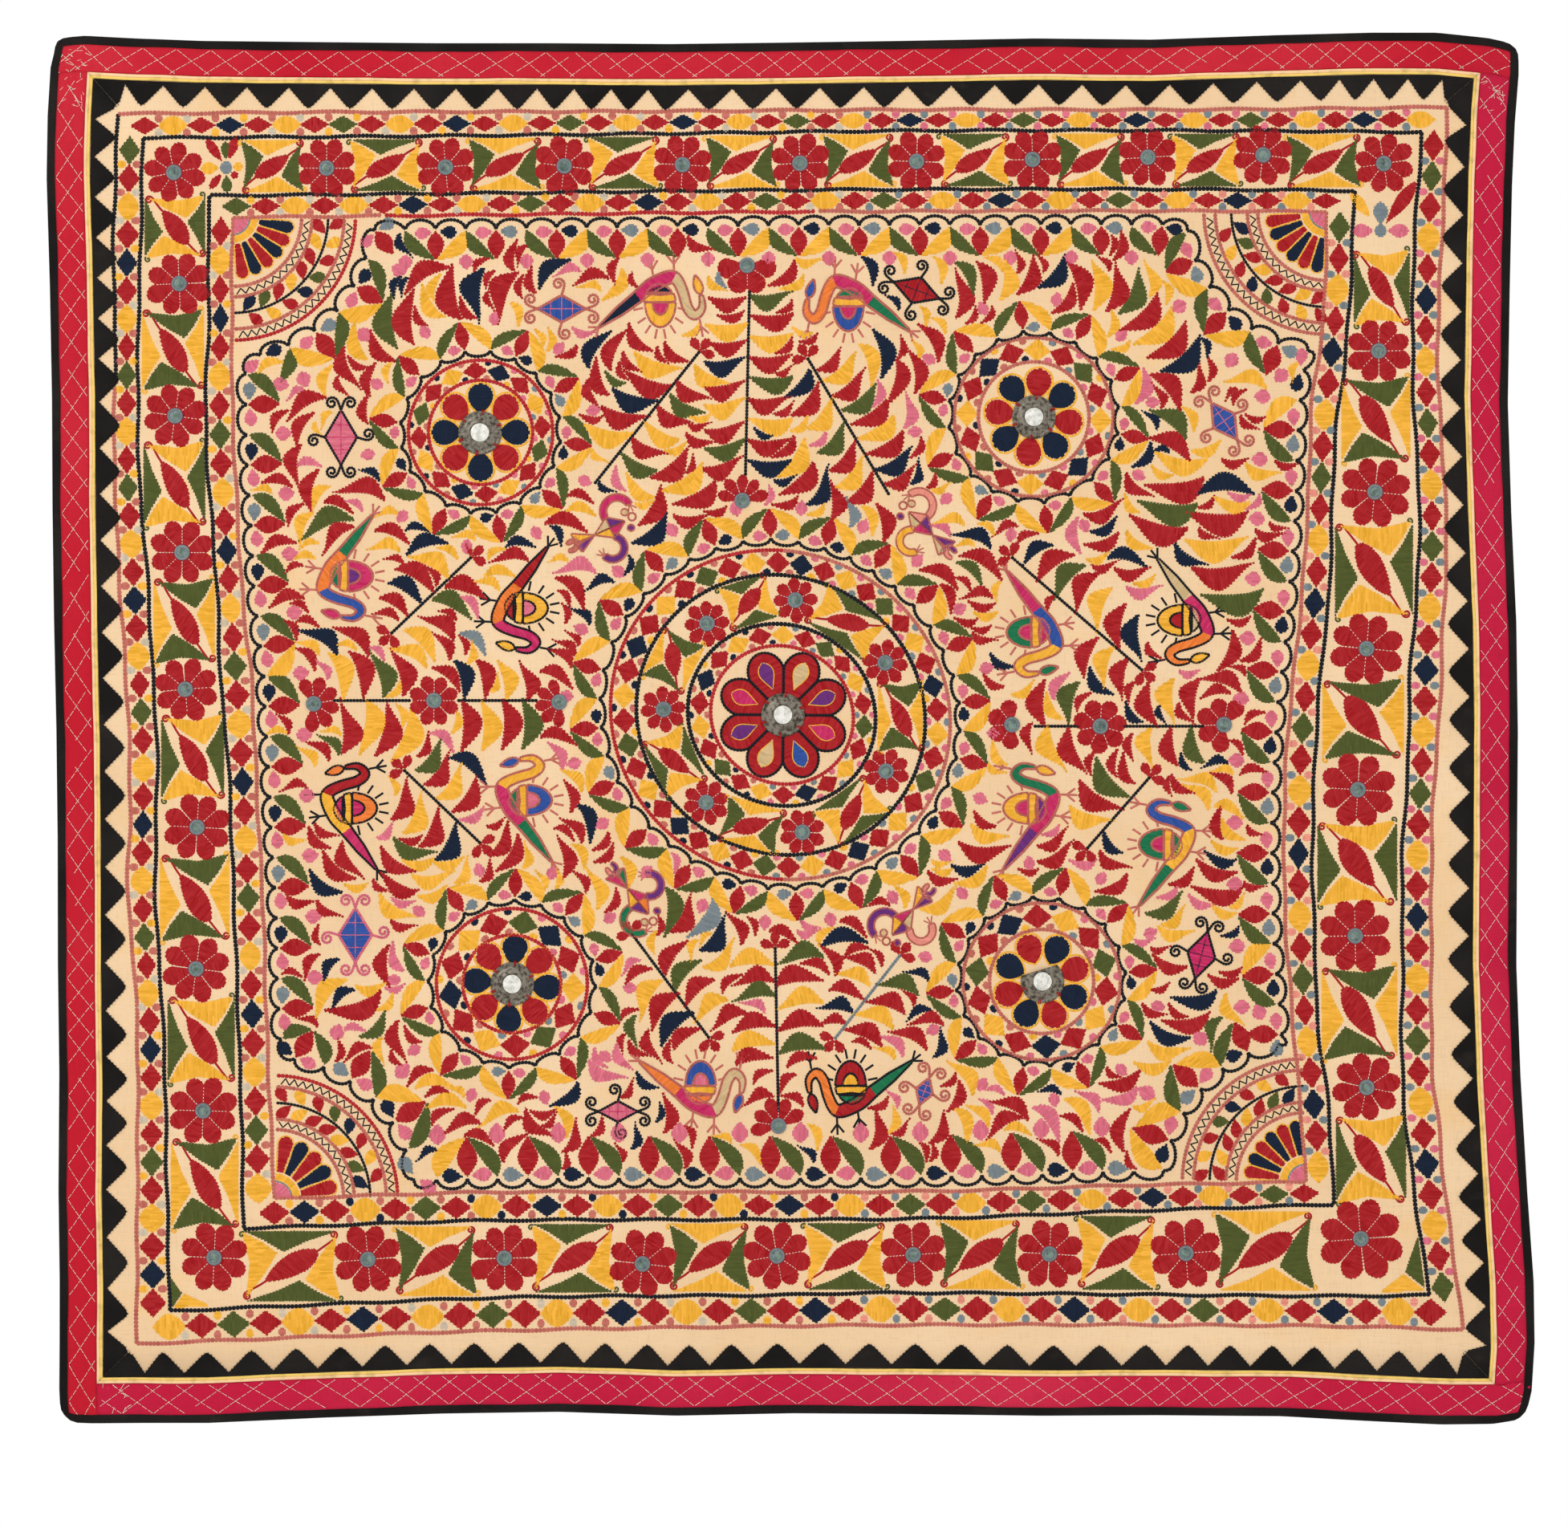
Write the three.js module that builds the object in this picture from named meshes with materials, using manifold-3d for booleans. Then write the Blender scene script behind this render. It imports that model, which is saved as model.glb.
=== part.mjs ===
// Embroidered mirror-work wall hanging: a cream ground cloth with an applied black dog-tooth strip,
// a two-roll piping, a quilted red border in four butted lengths and a black binding,
// with five stamped metal bosses holding round mirrors and a border of small stitched mirrors.
// Millimetres. X runs across the hanging, Z up, and the worked face looks along -Y.
// The origin is the middle of the top edge, where the hanging is held.
import * as THREE from "three";
import { mergeVertices } from "three/addons/utils/BufferGeometryUtils.js";
import manifoldModule from "manifold-3d";

// Overall sizes of the squared-up hanging
const WIDTH = 1686;
const HEIGHT = 1584;

// Cloth thicknesses and the clearance between neighbouring pieces
const CLOTH = 1.6;
const TRIM = 1.0;
const GAP = 0.3;
const MITRE_CLEAR = 0.22;

// Distances in from the outer edge
const BINDING_WIDTH = 9.6;
const SEAM = 43;
const PIPING_WIDTH = 7;
const PIPING_HEIGHT = 1.4;
const TOOTH_NOTCH = 54.6;
const TOOTH_TIP = 80.5;
const CORNER_RADIUS = 6;
const EDGE_EASE = 0.8;
const END_EASE = 1.3;

// Quilting of the red border: two rows of lozenges between the binding and the piping
const QUILT_FROM = 10.8;
const QUILT_MARGIN = 2;
const QUILT_ROWS = 3;
const QUILT_RISE = 0.8;
const QUILT_STEPS = 3;

// Facets that share each space between two rows of the edge tables
const CLOTH_STEPS = 2;
const TRIM_STEPS = 2;

// Metal bosses and mirrors
const BOSS_RADIUS = 25.2;
const BOSS_HEIGHT = 5.2;
const BOSS_SEAT = 2.6;
const BOSS_OPENING = 11.2;
const BOSS_SEAT_OPENING = 9.4;
const MIRROR_RADIUS = 10.9;
const MIRROR_HEIGHT = 4.4;
const SMALL_MIRROR_RADIUS = 8.7;
const SMALL_GLASS_RADIUS = 5.8;
const SMALL_MIRROR_HEIGHT = 1.9;
const SMALL_GLASS_HEIGHT = 1.2;
const ROUND_STEPS = 18;
const BOSS_PROFILE = [
  { radius: BOSS_SEAT_OPENING, height: GAP },
  { radius: 24.2, height: GAP },
  { radius: BOSS_RADIUS, height: 0.9 },
  { radius: 24.9, height: 1.7 },
  { radius: 23.5, height: 2.1 },
  { radius: 21.8, height: 1.5 },
  { radius: 18.4, height: 2 },
  { radius: 13.8, height: 5 },
  { radius: 12.2, height: BOSS_HEIGHT },
  { radius: BOSS_OPENING, height: 4.6 },
  { radius: BOSS_OPENING, height: BOSS_SEAT },
  { radius: BOSS_SEAT_OPENING, height: BOSS_SEAT },
  { radius: BOSS_SEAT_OPENING, height: GAP },
];
const MIRROR_PROFILE = [
  { radius: 0, height: BOSS_SEAT + GAP },
  { radius: MIRROR_RADIUS, height: BOSS_SEAT + GAP },
  { radius: MIRROR_RADIUS, height: 4 },
  { radius: 10.1, height: MIRROR_HEIGHT },
  { radius: 0, height: MIRROR_HEIGHT },
];
const SMALL_ROUND_STEPS = 10;
const SMALL_MIRROR_PROFILE = [
  { radius: 0, height: GAP },
  { radius: SMALL_MIRROR_RADIUS, height: GAP },
  { radius: SMALL_MIRROR_RADIUS, height: 0.9 },
  { radius: 7.5, height: SMALL_MIRROR_HEIGHT },
  { radius: SMALL_GLASS_RADIUS, height: SMALL_GLASS_HEIGHT },
  { radius: 0, height: SMALL_GLASS_HEIGHT },
];

// How far each edge strays outward from the squared-up outline, along its length from left to right
const ACROSS = [
  { at: 0.0, top: 3.0, bottom: 0.0 },
  { at: 0.008, top: 6.0, bottom: 6.5 },
  { at: 0.02, top: 7.7, bottom: 7.2 },
  { at: 0.055, top: 4.6, bottom: 6.7 },
  { at: 0.1, top: 1.8, bottom: 6.6 },
  { at: 0.18, top: 0.4, bottom: 0.4 },
  { at: 0.26, top: -0.9, bottom: -4.1 },
  { at: 0.34, top: -0.9, bottom: -5.9 },
  { at: 0.42, top: -1.9, bottom: -1.3 },
  { at: 0.5, top: -0.2, bottom: -4.0 },
  { at: 0.58, top: 1.8, bottom: -3.1 },
  { at: 0.67, top: 4.6, bottom: -1.3 },
  { at: 0.75, top: 3.2, bottom: -2.2 },
  { at: 0.835, top: 8.3, bottom: -1.3 },
  { at: 0.9, top: 11.2, bottom: 4.6 },
  { at: 0.945, top: 11.2, bottom: 8.2 },
  { at: 0.98, top: 5.0, bottom: 7.6 },
  { at: 0.992, top: 0.5, bottom: 4.6 },
  { at: 1.0, top: -5.5, bottom: 1.9 },
];

// The same for the two sides, from the top down
const DOWN = [
  { at: 0.0, left: -2.0, right: 0.0 },
  { at: 0.008, left: -0.5, right: 1.7 },
  { at: 0.02, left: 4.2, right: 1.8 },
  { at: 0.055, left: 7.6, right: -2.6 },
  { at: 0.1, left: 8.8, right: -5.9 },
  { at: 0.18, left: 5.1, right: -8.8 },
  { at: 0.26, left: 2.8, right: -11.0 },
  { at: 0.34, left: 2.3, right: -7.0 },
  { at: 0.42, left: 0.6, right: -1.1 },
  { at: 0.5, left: -2.2, right: 0.8 },
  { at: 0.58, left: -3.8, right: 0.0 },
  { at: 0.67, left: -4.2, right: -0.9 },
  { at: 0.75, left: -6.0, right: 3.6 },
  { at: 0.835, left: -5.2, right: 11.2 },
  { at: 0.9, left: -6.6, right: 18.5 },
  { at: 0.945, left: -6.5, right: 19.6 },
  { at: 0.98, left: -6.1, right: 16.2 },
  { at: 0.992, left: -7.0, right: 11.5 },
  { at: 1.0, left: -10.6, right: 4.6 },
];

// Soft swells of the hung cloth toward the room (positive) or the wall (negative)
const SWELLS = [
  { x: -560, z: -1400, reachX: 300, reachZ: 320, forward: 4.5 },
  { x: 680, z: -1430, reachX: 300, reachZ: 300, forward: 6.0 },
  { x: 60, z: -1230, reachX: 360, reachZ: 300, forward: -3.0 },
  { x: 690, z: -480, reachX: 280, reachZ: 340, forward: 3.5 },
  { x: -700, z: -640, reachX: 280, reachZ: 380, forward: -2.5 },
  { x: -40, z: -660, reachX: 420, reachZ: 360, forward: 2.5 },
];

// The four sides: how far seam, piping and teeth sit in from the common distance, the sides met
// at each end, and whether a strip is swept from its far end so that its faces look outward
const SIDES = {
  top: { length: WIDTH, inset: -2, before: "left", after: "right", fromFarEnd: true },
  bottom: { length: WIDTH, inset: 2.5, before: "left", after: "right", fromFarEnd: false },
  left: { length: HEIGHT, inset: 0, before: "top", after: "bottom", fromFarEnd: false },
  right: { length: HEIGHT, inset: 0.5, before: "top", after: "bottom", fromFarEnd: true },
};

// Places of some of the black tooth tips along each side; those between are evenly shared out
const TOOTH_STATIONS = {
  top: [
    { tooth: 0, at: 107 },
    { tooth: 9, at: 539 },
    { tooth: 13, at: 709 },
    { tooth: 20, at: 1061 },
    { tooth: 28, at: 1462 },
    { tooth: 31, at: 1580 },
  ],
  bottom: [
    { tooth: 0, at: 118 },
    { tooth: 9, at: 576 },
    { tooth: 13, at: 768 },
    { tooth: 22, at: 1242 },
    { tooth: 29, at: 1579 },
  ],
  left: [
    { tooth: 0, at: 114 },
    { tooth: 6, at: 391 },
    { tooth: 14, at: 812 },
    { tooth: 20, at: 1140 },
    { tooth: 24, at: 1342 },
    { tooth: 26, at: 1459 },
  ],
  right: [
    { tooth: 0, at: 122 },
    { tooth: 8, at: 563 },
    { tooth: 16, at: 1000 },
    { tooth: 22, at: 1325 },
    { tooth: 25, at: 1474 },
  ],
};
const FIRST_NOTCH_BACK = 20;

// Lengths of red border: where each starts and stops, butted round the four corners
const BORDER_LENGTHS = {
  top: { startsUnderBinding: true, endsUnderBinding: true },
  left: { startsUnderBinding: false, endsUnderBinding: true },
  bottom: { startsUnderBinding: false, endsUnderBinding: true },
  right: { startsUnderBinding: false, endsUnderBinding: false },
};

// Rows of small stitched mirrors at the hearts of the border flowers
const MIRROR_ROWS = [
  { name: "top", x: -529, z: -145, toX: 550, toZ: -130, count: 9, bowX: 6, bowZ: -2 },
  { name: "right", x: 683, z: -356, toX: 664, toZ: -1198, count: 6, bowX: -13, bowZ: 0 },
  { name: "bottom", x: -481, z: -1402, toX: 461, toZ: -1395, count: 7, bowX: 0, bowZ: 0 },
  { name: "left", x: -699, z: -278, toX: -671, toZ: -1231, count: 7, bowX: -7, bowZ: 9 },
];

// How far some of them were stitched off their row
const IN_ROW = { x: 0, z: 0 };
const OFF_ROW = {
  right_2: { x: 7, z: 6 },
  right_3: { x: 6, z: -6 },
  right_5: { x: -4, z: 0 },
  right_6: { x: 5, z: -6 },
  bottom_3: { x: 2, z: -8 },
  left_2: { x: -6, z: 2 },
  left_5: { x: 8, z: 1 },
};
const MIRROR_CORNERS = [
  { name: "top_left", x: -705, z: -150 },
  { name: "top_right", x: 689, z: -140 },
  { name: "bottom_right", x: 662, z: -1378 },
  { name: "bottom_left", x: -658, z: -1400 },
];

// Medallions with a metal boss; one boss has lost a piece of its rim
const MEDALLIONS = [
  { name: "centre", x: -3, z: -775, broken: false },
  { name: "top_left", x: -352, z: -450, broken: false },
  { name: "top_right", x: 286, z: -432, broken: false },
  { name: "bottom_left", x: -315, z: -1085, broken: false },
  { name: "bottom_right", x: 296, z: -1082, broken: true },
];
const BREAK_OFFSET = 13.2;
const BREAK_TILT = 17;

const COLOURS = {
  cream: "#e9cf9f",
  black: "#23221f",
  piping: "#e6c878",
  red: "#c3263c",
  metal: "#8d8676",
  mirror: "#cfd6d4",
  rim: "#7d8890",
};

// One column of a table of edge strays, read between its rows
function stray(table, column, at) {
  const next = table.findIndex((row) => row.at >= at);
  if (next <= 0) {
    return table[Math.max(next, 0)][column];
  }
  const low = table[next - 1];
  const high = table[next];
  const share = (at - low.at) / (high.at - low.at);
  return low[column] + share * (high[column] - low[column]);
}

// Rounds the squared-up corner that a point lies in
function roundCorner(x, z) {
  const inX = Math.abs(x) - (WIDTH / 2 - CORNER_RADIUS);
  const inZ = Math.abs(z + HEIGHT / 2) - (HEIGHT / 2 - CORNER_RADIUS);
  if (inX <= 0 || inZ <= 0) {
    return { x, z };
  }
  const pull = 1 - Math.max(inX, inZ) / Math.hypot(inX, inZ);
  return {
    x: x - Math.sign(x) * inX * pull,
    z: z - Math.sign(z + HEIGHT / 2) * inZ * pull,
  };
}

// Moves a point of the squared-up hanging to its place on the uneven one
function place(x, z) {
  const point = roundCorner(x, z);
  const across = THREE.MathUtils.clamp(x / WIDTH + 0.5, 0, 1);
  const down = THREE.MathUtils.clamp(-z / HEIGHT, 0, 1);
  const left = stray(DOWN, "left", down) * (1 - across);
  const right = stray(DOWN, "right", down) * across;
  const top = stray(ACROSS, "top", across) * (1 - down);
  const bottom = stray(ACROSS, "bottom", across) * down;
  return { x: point.x - left + right, z: point.z + top - bottom };
}

// How far the back of the cloth stands from the wall plane, along +Y
function swell(x, z) {
  return SWELLS.reduce((sum, row) => {
    const fall = ((x - row.x) / row.reachX) ** 2 + ((z - row.z) / row.reachZ) ** 2;
    return sum - row.forward * Math.exp(-fall);
  }, 0);
}

// A point of the hanging, `height` in front of the back of the cloth
function lift(x, z, height) {
  const spot = place(x, z);
  return new THREE.Vector3(spot.x, swell(spot.x, spot.z) - height, spot.z);
}

// A point of a side strip: `along` from its first end and `inward` from the outer edge
function onSide(side, along, inward, height) {
  if (side === "top") {
    return lift(along - WIDTH / 2, -inward, height);
  }
  if (side === "bottom") {
    return lift(along - WIDTH / 2, inward - HEIGHT, height);
  }
  if (side === "left") {
    return lift(inward - WIDTH / 2, -along, height);
  }
  return lift(WIDTH / 2 - inward, -along, height);
}

// Stations of a side as lengths from its first end
function stations(side) {
  const table = side === "top" || side === "bottom" ? ACROSS : DOWN;
  return table.map((row) => row.at * SIDES[side].length);
}

// Stations kept between two ends, with each space shared into `parts`
function shareOut(marks, from, to, parts) {
  const kept = [from, ...marks.filter((mark) => mark > from + 1 && mark < to - 1), to];
  return kept.flatMap((mark, index) => {
    if (index === kept.length - 1) {
      return [mark];
    }
    const space = kept[index + 1] - mark;
    const pieces = space > 60 ? parts : 1;
    return Array.from({ length: pieces }, (_, piece) => mark + (space * piece) / pieces);
  });
}

// The entry of a list that lies closest to a value
function nearest(list, value) {
  return list.reduce((best, entry) => {
    return Math.abs(entry - value) < Math.abs(best - value) ? entry : best;
  });
}

// Moves every corner of a geometry to a new place worked out from where it is
function bend(geometry, newPlace) {
  const position = geometry.getAttribute("position");
  const corner = new THREE.Vector3();
  for (let index = 0; index < position.count; index += 1) {
    corner.fromBufferAttribute(position, index);
    position.setXYZ(index, ...newPlace(corner.x, corner.y, corner.z).toArray());
  }
  return geometry;
}

// A section swept along a side through `columns`, one ring of corners for each
function sweep(side, section, columns, pointAt) {
  const outline = section.map(({ inward, height }) => new THREE.Vector2(inward, height));
  const steps = columns.length - 1;
  const strip = new THREE.ExtrudeGeometry(new THREE.Shape(outline), {
    depth: steps,
    steps,
    bevelEnabled: false,
  });
  const ordered = SIDES[side].fromFarEnd ? [...columns].reverse() : columns;
  return bend(strip, (inward, height, step) => pointAt(ordered[Math.round(step)], inward, height));
}

// A mitred strip of constant section, its corners cut on the line where two sides meet
function mitredStrip(side, section, sitsOnSeam) {
  const { length, before, after } = SIDES[side];
  const own = sitsOnSeam ? SIDES[side].inset : 0;
  const atStart = MITRE_CLEAR + (sitsOnSeam ? SIDES[before].inset : 0);
  const atEnd = MITRE_CLEAR + (sitsOnSeam ? SIDES[after].inset : 0);
  const deepest = Math.max(...section.map((corner) => corner.inward));
  const from = deepest + atStart;
  const to = length - deepest - atEnd;
  const columns = shareOut(stations(side), from, to, TRIM_STEPS);
  return sweep(side, section, columns, (column, inward, height) => {
    let along = column;
    if (column === from) {
      along = inward + atStart;
    }
    if (column === to) {
      along = length - inward - atEnd;
    }
    return onSide(side, along, inward + own, height);
  });
}

// The ground cloth, out to the seam under the piping
function groundCloth() {
  const edge = SEAM + GAP / 2;
  const columns = shareOut(
    stations("top"),
    edge + SIDES.left.inset,
    WIDTH - edge - SIDES.right.inset,
    CLOTH_STEPS,
  );
  const rows = shareOut(
    stations("left"),
    edge + SIDES.top.inset,
    HEIGHT - edge - SIDES.bottom.inset,
    CLOTH_STEPS,
  );
  const wide = columns.length - 1;
  const long = rows.length - 1;
  const slab = new THREE.BoxGeometry(wide, 1, long, wide, 1, long);
  return bend(slab, (column, layer, row) => {
    const across = columns[Math.round(column + wide / 2)];
    const down = rows[Math.round(row + long / 2)];
    return lift(across - WIDTH / 2, -down, (layer + 0.5) * CLOTH);
  });
}

// Turns the diagonal of each four-cornered facet of a swept strip that `chosen` picks
function turnDiagonals(geometry, chosen) {
  const position = geometry.getAttribute("position");
  const { start, count } = geometry.groups[1];
  const corners = Array.from({ length: 6 }, () => new THREE.Vector3());
  for (let first = start; first < start + count; first += corners.length) {
    corners.forEach((corner, index) => corner.fromBufferAttribute(position, first + index));
    const [a, b, d, , c] = corners.map((corner) => corner.clone());
    if (chosen(a, c)) {
      [a, b, c, a, c, d].forEach((corner, index) => {
        position.setXYZ(first + index, corner.x, corner.y, corner.z);
      });
    }
  }
  return geometry;
}

// One length of the quilted red border
function redBorder(side) {
  const { length, inset, before, after } = SIDES[side];
  const { startsUnderBinding, endsUnderBinding } = BORDER_LENGTHS[side];
  const tucked = TRIM + EDGE_EASE;
  const tuckedEnd = TRIM + END_EASE;
  const inner = SEAM - GAP / 2 + inset;
  const from = startsUnderBinding ? tuckedEnd : SEAM + SIDES[before].inset + GAP / 2;
  const to = length - (endsUnderBinding ? tuckedEnd : SEAM + SIDES[after].inset + GAP / 2);
  const columns = shareOut(stations(side), from, to, QUILT_STEPS);
  const quilted = inner - QUILT_MARGIN - QUILT_FROM;
  const rows = Array.from({ length: QUILT_ROWS + 1 }, (_, row) => {
    return QUILT_FROM + (quilted * row) / QUILT_ROWS;
  });
  const face = [tucked, ...rows, inner];
  const section = [
    ...face.map((inward) => ({ inward, height: CLOTH })),
    { inward: inner, height: 0 },
    { inward: tucked, height: 0 },
  ];
  const rowOf = (inward) => face.findIndex((value) => Math.abs(value - inward) < GAP);
  const puffed = (column, row) => {
    const worked = row > 1 && row < QUILT_ROWS + 1;
    const free = column > 1 && column < columns.length - 2;
    return worked && free && (column + row) % 2 === 1;
  };
  const strip = sweep(side, section, columns, (along, inward, height) => {
    const rise = height > 0 && puffed(columns.indexOf(along), rowOf(inward)) ? QUILT_RISE : 0;
    return new THREE.Vector3(along, inward, height + rise);
  });
  turnDiagonals(strip, (a, c) => {
    const front = a.z > 0 && c.z > 0;
    const column = columns.indexOf(nearest(columns, Math.min(a.x, c.x)));
    const row = rowOf(Math.min(a.y, c.y));
    const runsSame = (a.x < c.x) === (a.y < c.y);
    return front && ((column + row) % 2 === 0) !== runsSame;
  });
  return bend(strip, (along, inward, height) => onSide(side, along, inward, height));
}

// Tooth tips along a side
function toothTips(side) {
  const rows = TOOTH_STATIONS[side];
  return rows.slice(1).reduce(
    (tips, row, index) => {
      const start = rows[index];
      const count = row.tooth - start.tooth;
      const step = (row.at - start.at) / count;
      return tips.concat(Array.from({ length: count }, (_, n) => start.at + step * (n + 1)));
    },
    [rows[0].at],
  );
}

// The black dog-tooth strip of a side
function toothStrip(side) {
  const { length, inset, before, after } = SIDES[side];
  const outer = SEAM + PIPING_WIDTH + GAP;
  const tips = toothTips(side);
  const notches = tips.map((tip, index) => {
    return index === 0 ? tip - FIRST_NOTCH_BACK : (tip + tips[index - 1]) / 2;
  });
  const startShift = SIDES[before].inset + MITRE_CLEAR;
  const endShift = SIDES[after].inset + MITRE_CLEAR;
  const corners = tips.flatMap((tip, index) => [
    { along: notches[index], inward: TOOTH_NOTCH },
    { along: tip, inward: TOOTH_TIP },
  ]);
  corners.unshift({ along: TOOTH_TIP + startShift, inward: TOOTH_TIP });
  corners.push({ along: tips[tips.length - 1] + FIRST_NOTCH_BACK, inward: TOOTH_NOTCH });
  corners.push({ along: length - TOOTH_TIP - endShift, inward: TOOTH_TIP });
  const from = corners[0].along + 1;
  const to = corners[corners.length - 1].along - 1;
  for (const bend of stations(side).filter((mark) => mark > from && mark < to)) {
    const next = corners.findIndex((corner) => corner.along > bend);
    const low = corners[next - 1];
    const high = corners[next];
    const share = (bend - low.along) / (high.along - low.along);
    if (share > 0.05 && share < 0.95) {
      const inward = low.inward + share * (high.inward - low.inward);
      corners.splice(next, 0, { along: bend, inward });
    }
  }
  const low = CLOTH + GAP;
  const high = low + TRIM;
  const section = [
    { inward: outer, height: high },
    { inward: TOOTH_TIP, height: high },
    { inward: TOOTH_TIP, height: low },
    { inward: outer, height: low },
  ];
  const first = corners[0];
  const last = corners[corners.length - 1];
  return sweep(side, section, corners, (corner, inward, height) => {
    const reach = inward > outer + GAP ? corner.inward : outer;
    let along = corner.along;
    if (corner === first) {
      along = reach + startShift;
    }
    if (corner === last) {
      along = length - reach - endShift;
    }
    return onSide(side, along, reach + inset, height);
  });
}

// The two-roll piping over the seam
function piping(side) {
  const low = CLOTH + GAP;
  const roll = PIPING_WIDTH / 2;
  const section = [
    { inward: SEAM, height: low },
    { inward: SEAM + roll * 0.4, height: low + PIPING_HEIGHT },
    { inward: SEAM + roll, height: low + PIPING_HEIGHT * 0.6 },
    { inward: SEAM + roll * 1.6, height: low + PIPING_HEIGHT },
    { inward: SEAM + roll * 2, height: low },
  ];
  return mitredStrip(side, section, true);
}

// The black binding, folded round the raw edge to front and back
function binding(side) {
  const front = CLOTH + GAP;
  const back = -GAP;
  const section = [
    { inward: BINDING_WIDTH, height: front },
    { inward: BINDING_WIDTH, height: front + TRIM },
    { inward: 0, height: front + TRIM },
    { inward: 0, height: back - TRIM },
    { inward: BINDING_WIDTH, height: back - TRIM },
    { inward: BINDING_WIDTH, height: back },
    { inward: TRIM, height: back },
    { inward: TRIM, height: front },
  ];
  return mitredStrip(side, section, false);
}

// A turned piece standing off the worked face
function turned(profile, steps) {
  const outline = profile.map(({ radius, height }) => new THREE.Vector2(radius, height));
  return new THREE.LatheGeometry(outline, steps).rotateX(Math.PI);
}

// A closed geometry as a solid that can be cut
function toSolid(geometry, manifold) {
  const bare = geometry.clone();
  bare.deleteAttribute("normal");
  bare.deleteAttribute("uv");
  const welded = mergeVertices(bare, 1e-3);
  return new manifold.Manifold(
    new manifold.Mesh({
      numProp: 3,
      vertProperties: welded.getAttribute("position").array,
      triVerts: new Uint32Array(welded.getIndex().array),
    }),
  );
}

// A cut solid as a geometry again
function toGeometry(solid) {
  const mesh = solid.getMesh();
  const geometry = new THREE.BufferGeometry();
  geometry.setAttribute("position", new THREE.BufferAttribute(mesh.vertProperties, mesh.numProp));
  geometry.setIndex(new THREE.BufferAttribute(mesh.triVerts, 1));
  return geometry;
}

// Breaks the rim of a boss off along a straight crease
function breakRim(geometry, manifold) {
  const size = BOSS_RADIUS * 2;
  const lostPiece = new THREE.BoxGeometry(size * 2, size, size)
    .translate(0, 0, BREAK_OFFSET + size / 2)
    .rotateY(THREE.MathUtils.degToRad(-BREAK_TILT));
  return toGeometry(toSolid(geometry, manifold).subtract(toSolid(lostPiece, manifold)));
}

// A group standing on the worked face at a place of the hanging, facing away from it
function seatAt(x, z) {
  const probe = 4;
  const face = (px, pz) => swell(px, pz) - CLOTH;
  const slopeX = (face(x + probe, z) - face(x - probe, z)) / (2 * probe);
  const slopeZ = (face(x, z + probe) - face(x, z - probe)) / (2 * probe);
  const outward = new THREE.Vector3(slopeX, -1, slopeZ).normalize();
  const seat = new THREE.Group();
  seat.position.set(x, face(x, z), z);
  seat.quaternion.setFromUnitVectors(new THREE.Vector3(0, -1, 0), outward);
  hanging.add(seat);
  return seat;
}

const FINISHES = {
  cloth: { roughness: 0.9, metalness: 0 },
  metal: { roughness: 0.45, metalness: 0.9 },
  mirror: { roughness: 0.1, metalness: 0.6 },
};

// Adds one named piece with its own material
function add(parent, name, geometry, colour, finish) {
  const material = new THREE.MeshStandardMaterial({ color: COLOURS[colour], ...FINISHES[finish] });
  const mesh = new THREE.Mesh(geometry, material);
  mesh.name = name;
  parent.add(mesh);
}

// A border flower's mirror
function addFlowerMirror(name, x, z) {
  const geometry = turned(SMALL_MIRROR_PROFILE, SMALL_ROUND_STEPS);
  add(seatAt(x, z), `flower_mirror_${name}`, geometry, "rim", "mirror");
}

const hanging = new THREE.Group();
const manifold = await manifoldModule();
manifold.setup();

add(hanging, "ground_cloth", groundCloth(), "cream", "cloth");
for (const side of Object.keys(SIDES)) {
  add(hanging, `tooth_strip_${side}`, toothStrip(side), "black", "cloth");
  add(hanging, `piping_${side}`, piping(side), "piping", "cloth");
  add(hanging, `red_border_${side}`, redBorder(side), "red", "cloth");
  add(hanging, `binding_${side}`, binding(side), "black", "cloth");
}
for (const { name, x, z, broken } of MEDALLIONS) {
  const seat = seatAt(x, z);
  const whole = turned(BOSS_PROFILE, ROUND_STEPS);
  add(seat, `boss_${name}`, broken ? breakRim(whole, manifold) : whole, "metal", "metal");
  add(seat, `mirror_${name}`, turned(MIRROR_PROFILE, ROUND_STEPS), "mirror", "mirror");
}
for (const { name, x, z } of MIRROR_CORNERS) {
  addFlowerMirror(name, x, z);
}
for (const { name, x, z, toX, toZ, count, bowX, bowZ } of MIRROR_ROWS) {
  for (let index = 0; index < count; index += 1) {
    const share = index / (count - 1);
    const bow = Math.sin(Math.PI * share);
    const mirror = `${name}_${index + 1}`;
    const off = OFF_ROW[mirror] ?? IN_ROW;
    const spotX = x + (toX - x) * share + bowX * bow + off.x;
    const spotZ = z + (toZ - z) * share + bowZ * bow + off.z;
    addFlowerMirror(mirror, spotX, spotZ);
  }
}

export default hanging;
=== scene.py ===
"""Dressed model of an embroidered, mirror-worked wall hanging.

A cream cotton ground carries borders and a field of floss embroidery with chain-stitched lines, small
stitched-down mirrors and five stamped metal bosses. Round it run a black dog-tooth strip, a twin piping,
a quilted red border and a black binding. Sizes are millimetres, X across, Z up, worked face along -Y.
"""

import logging
import math
from dataclasses import dataclass, field
from enum import Enum
from typing import Callable, NamedTuple, Sequence

import bmesh
import bpy
import numpy as np
from mathutils import Matrix, Vector


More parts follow.
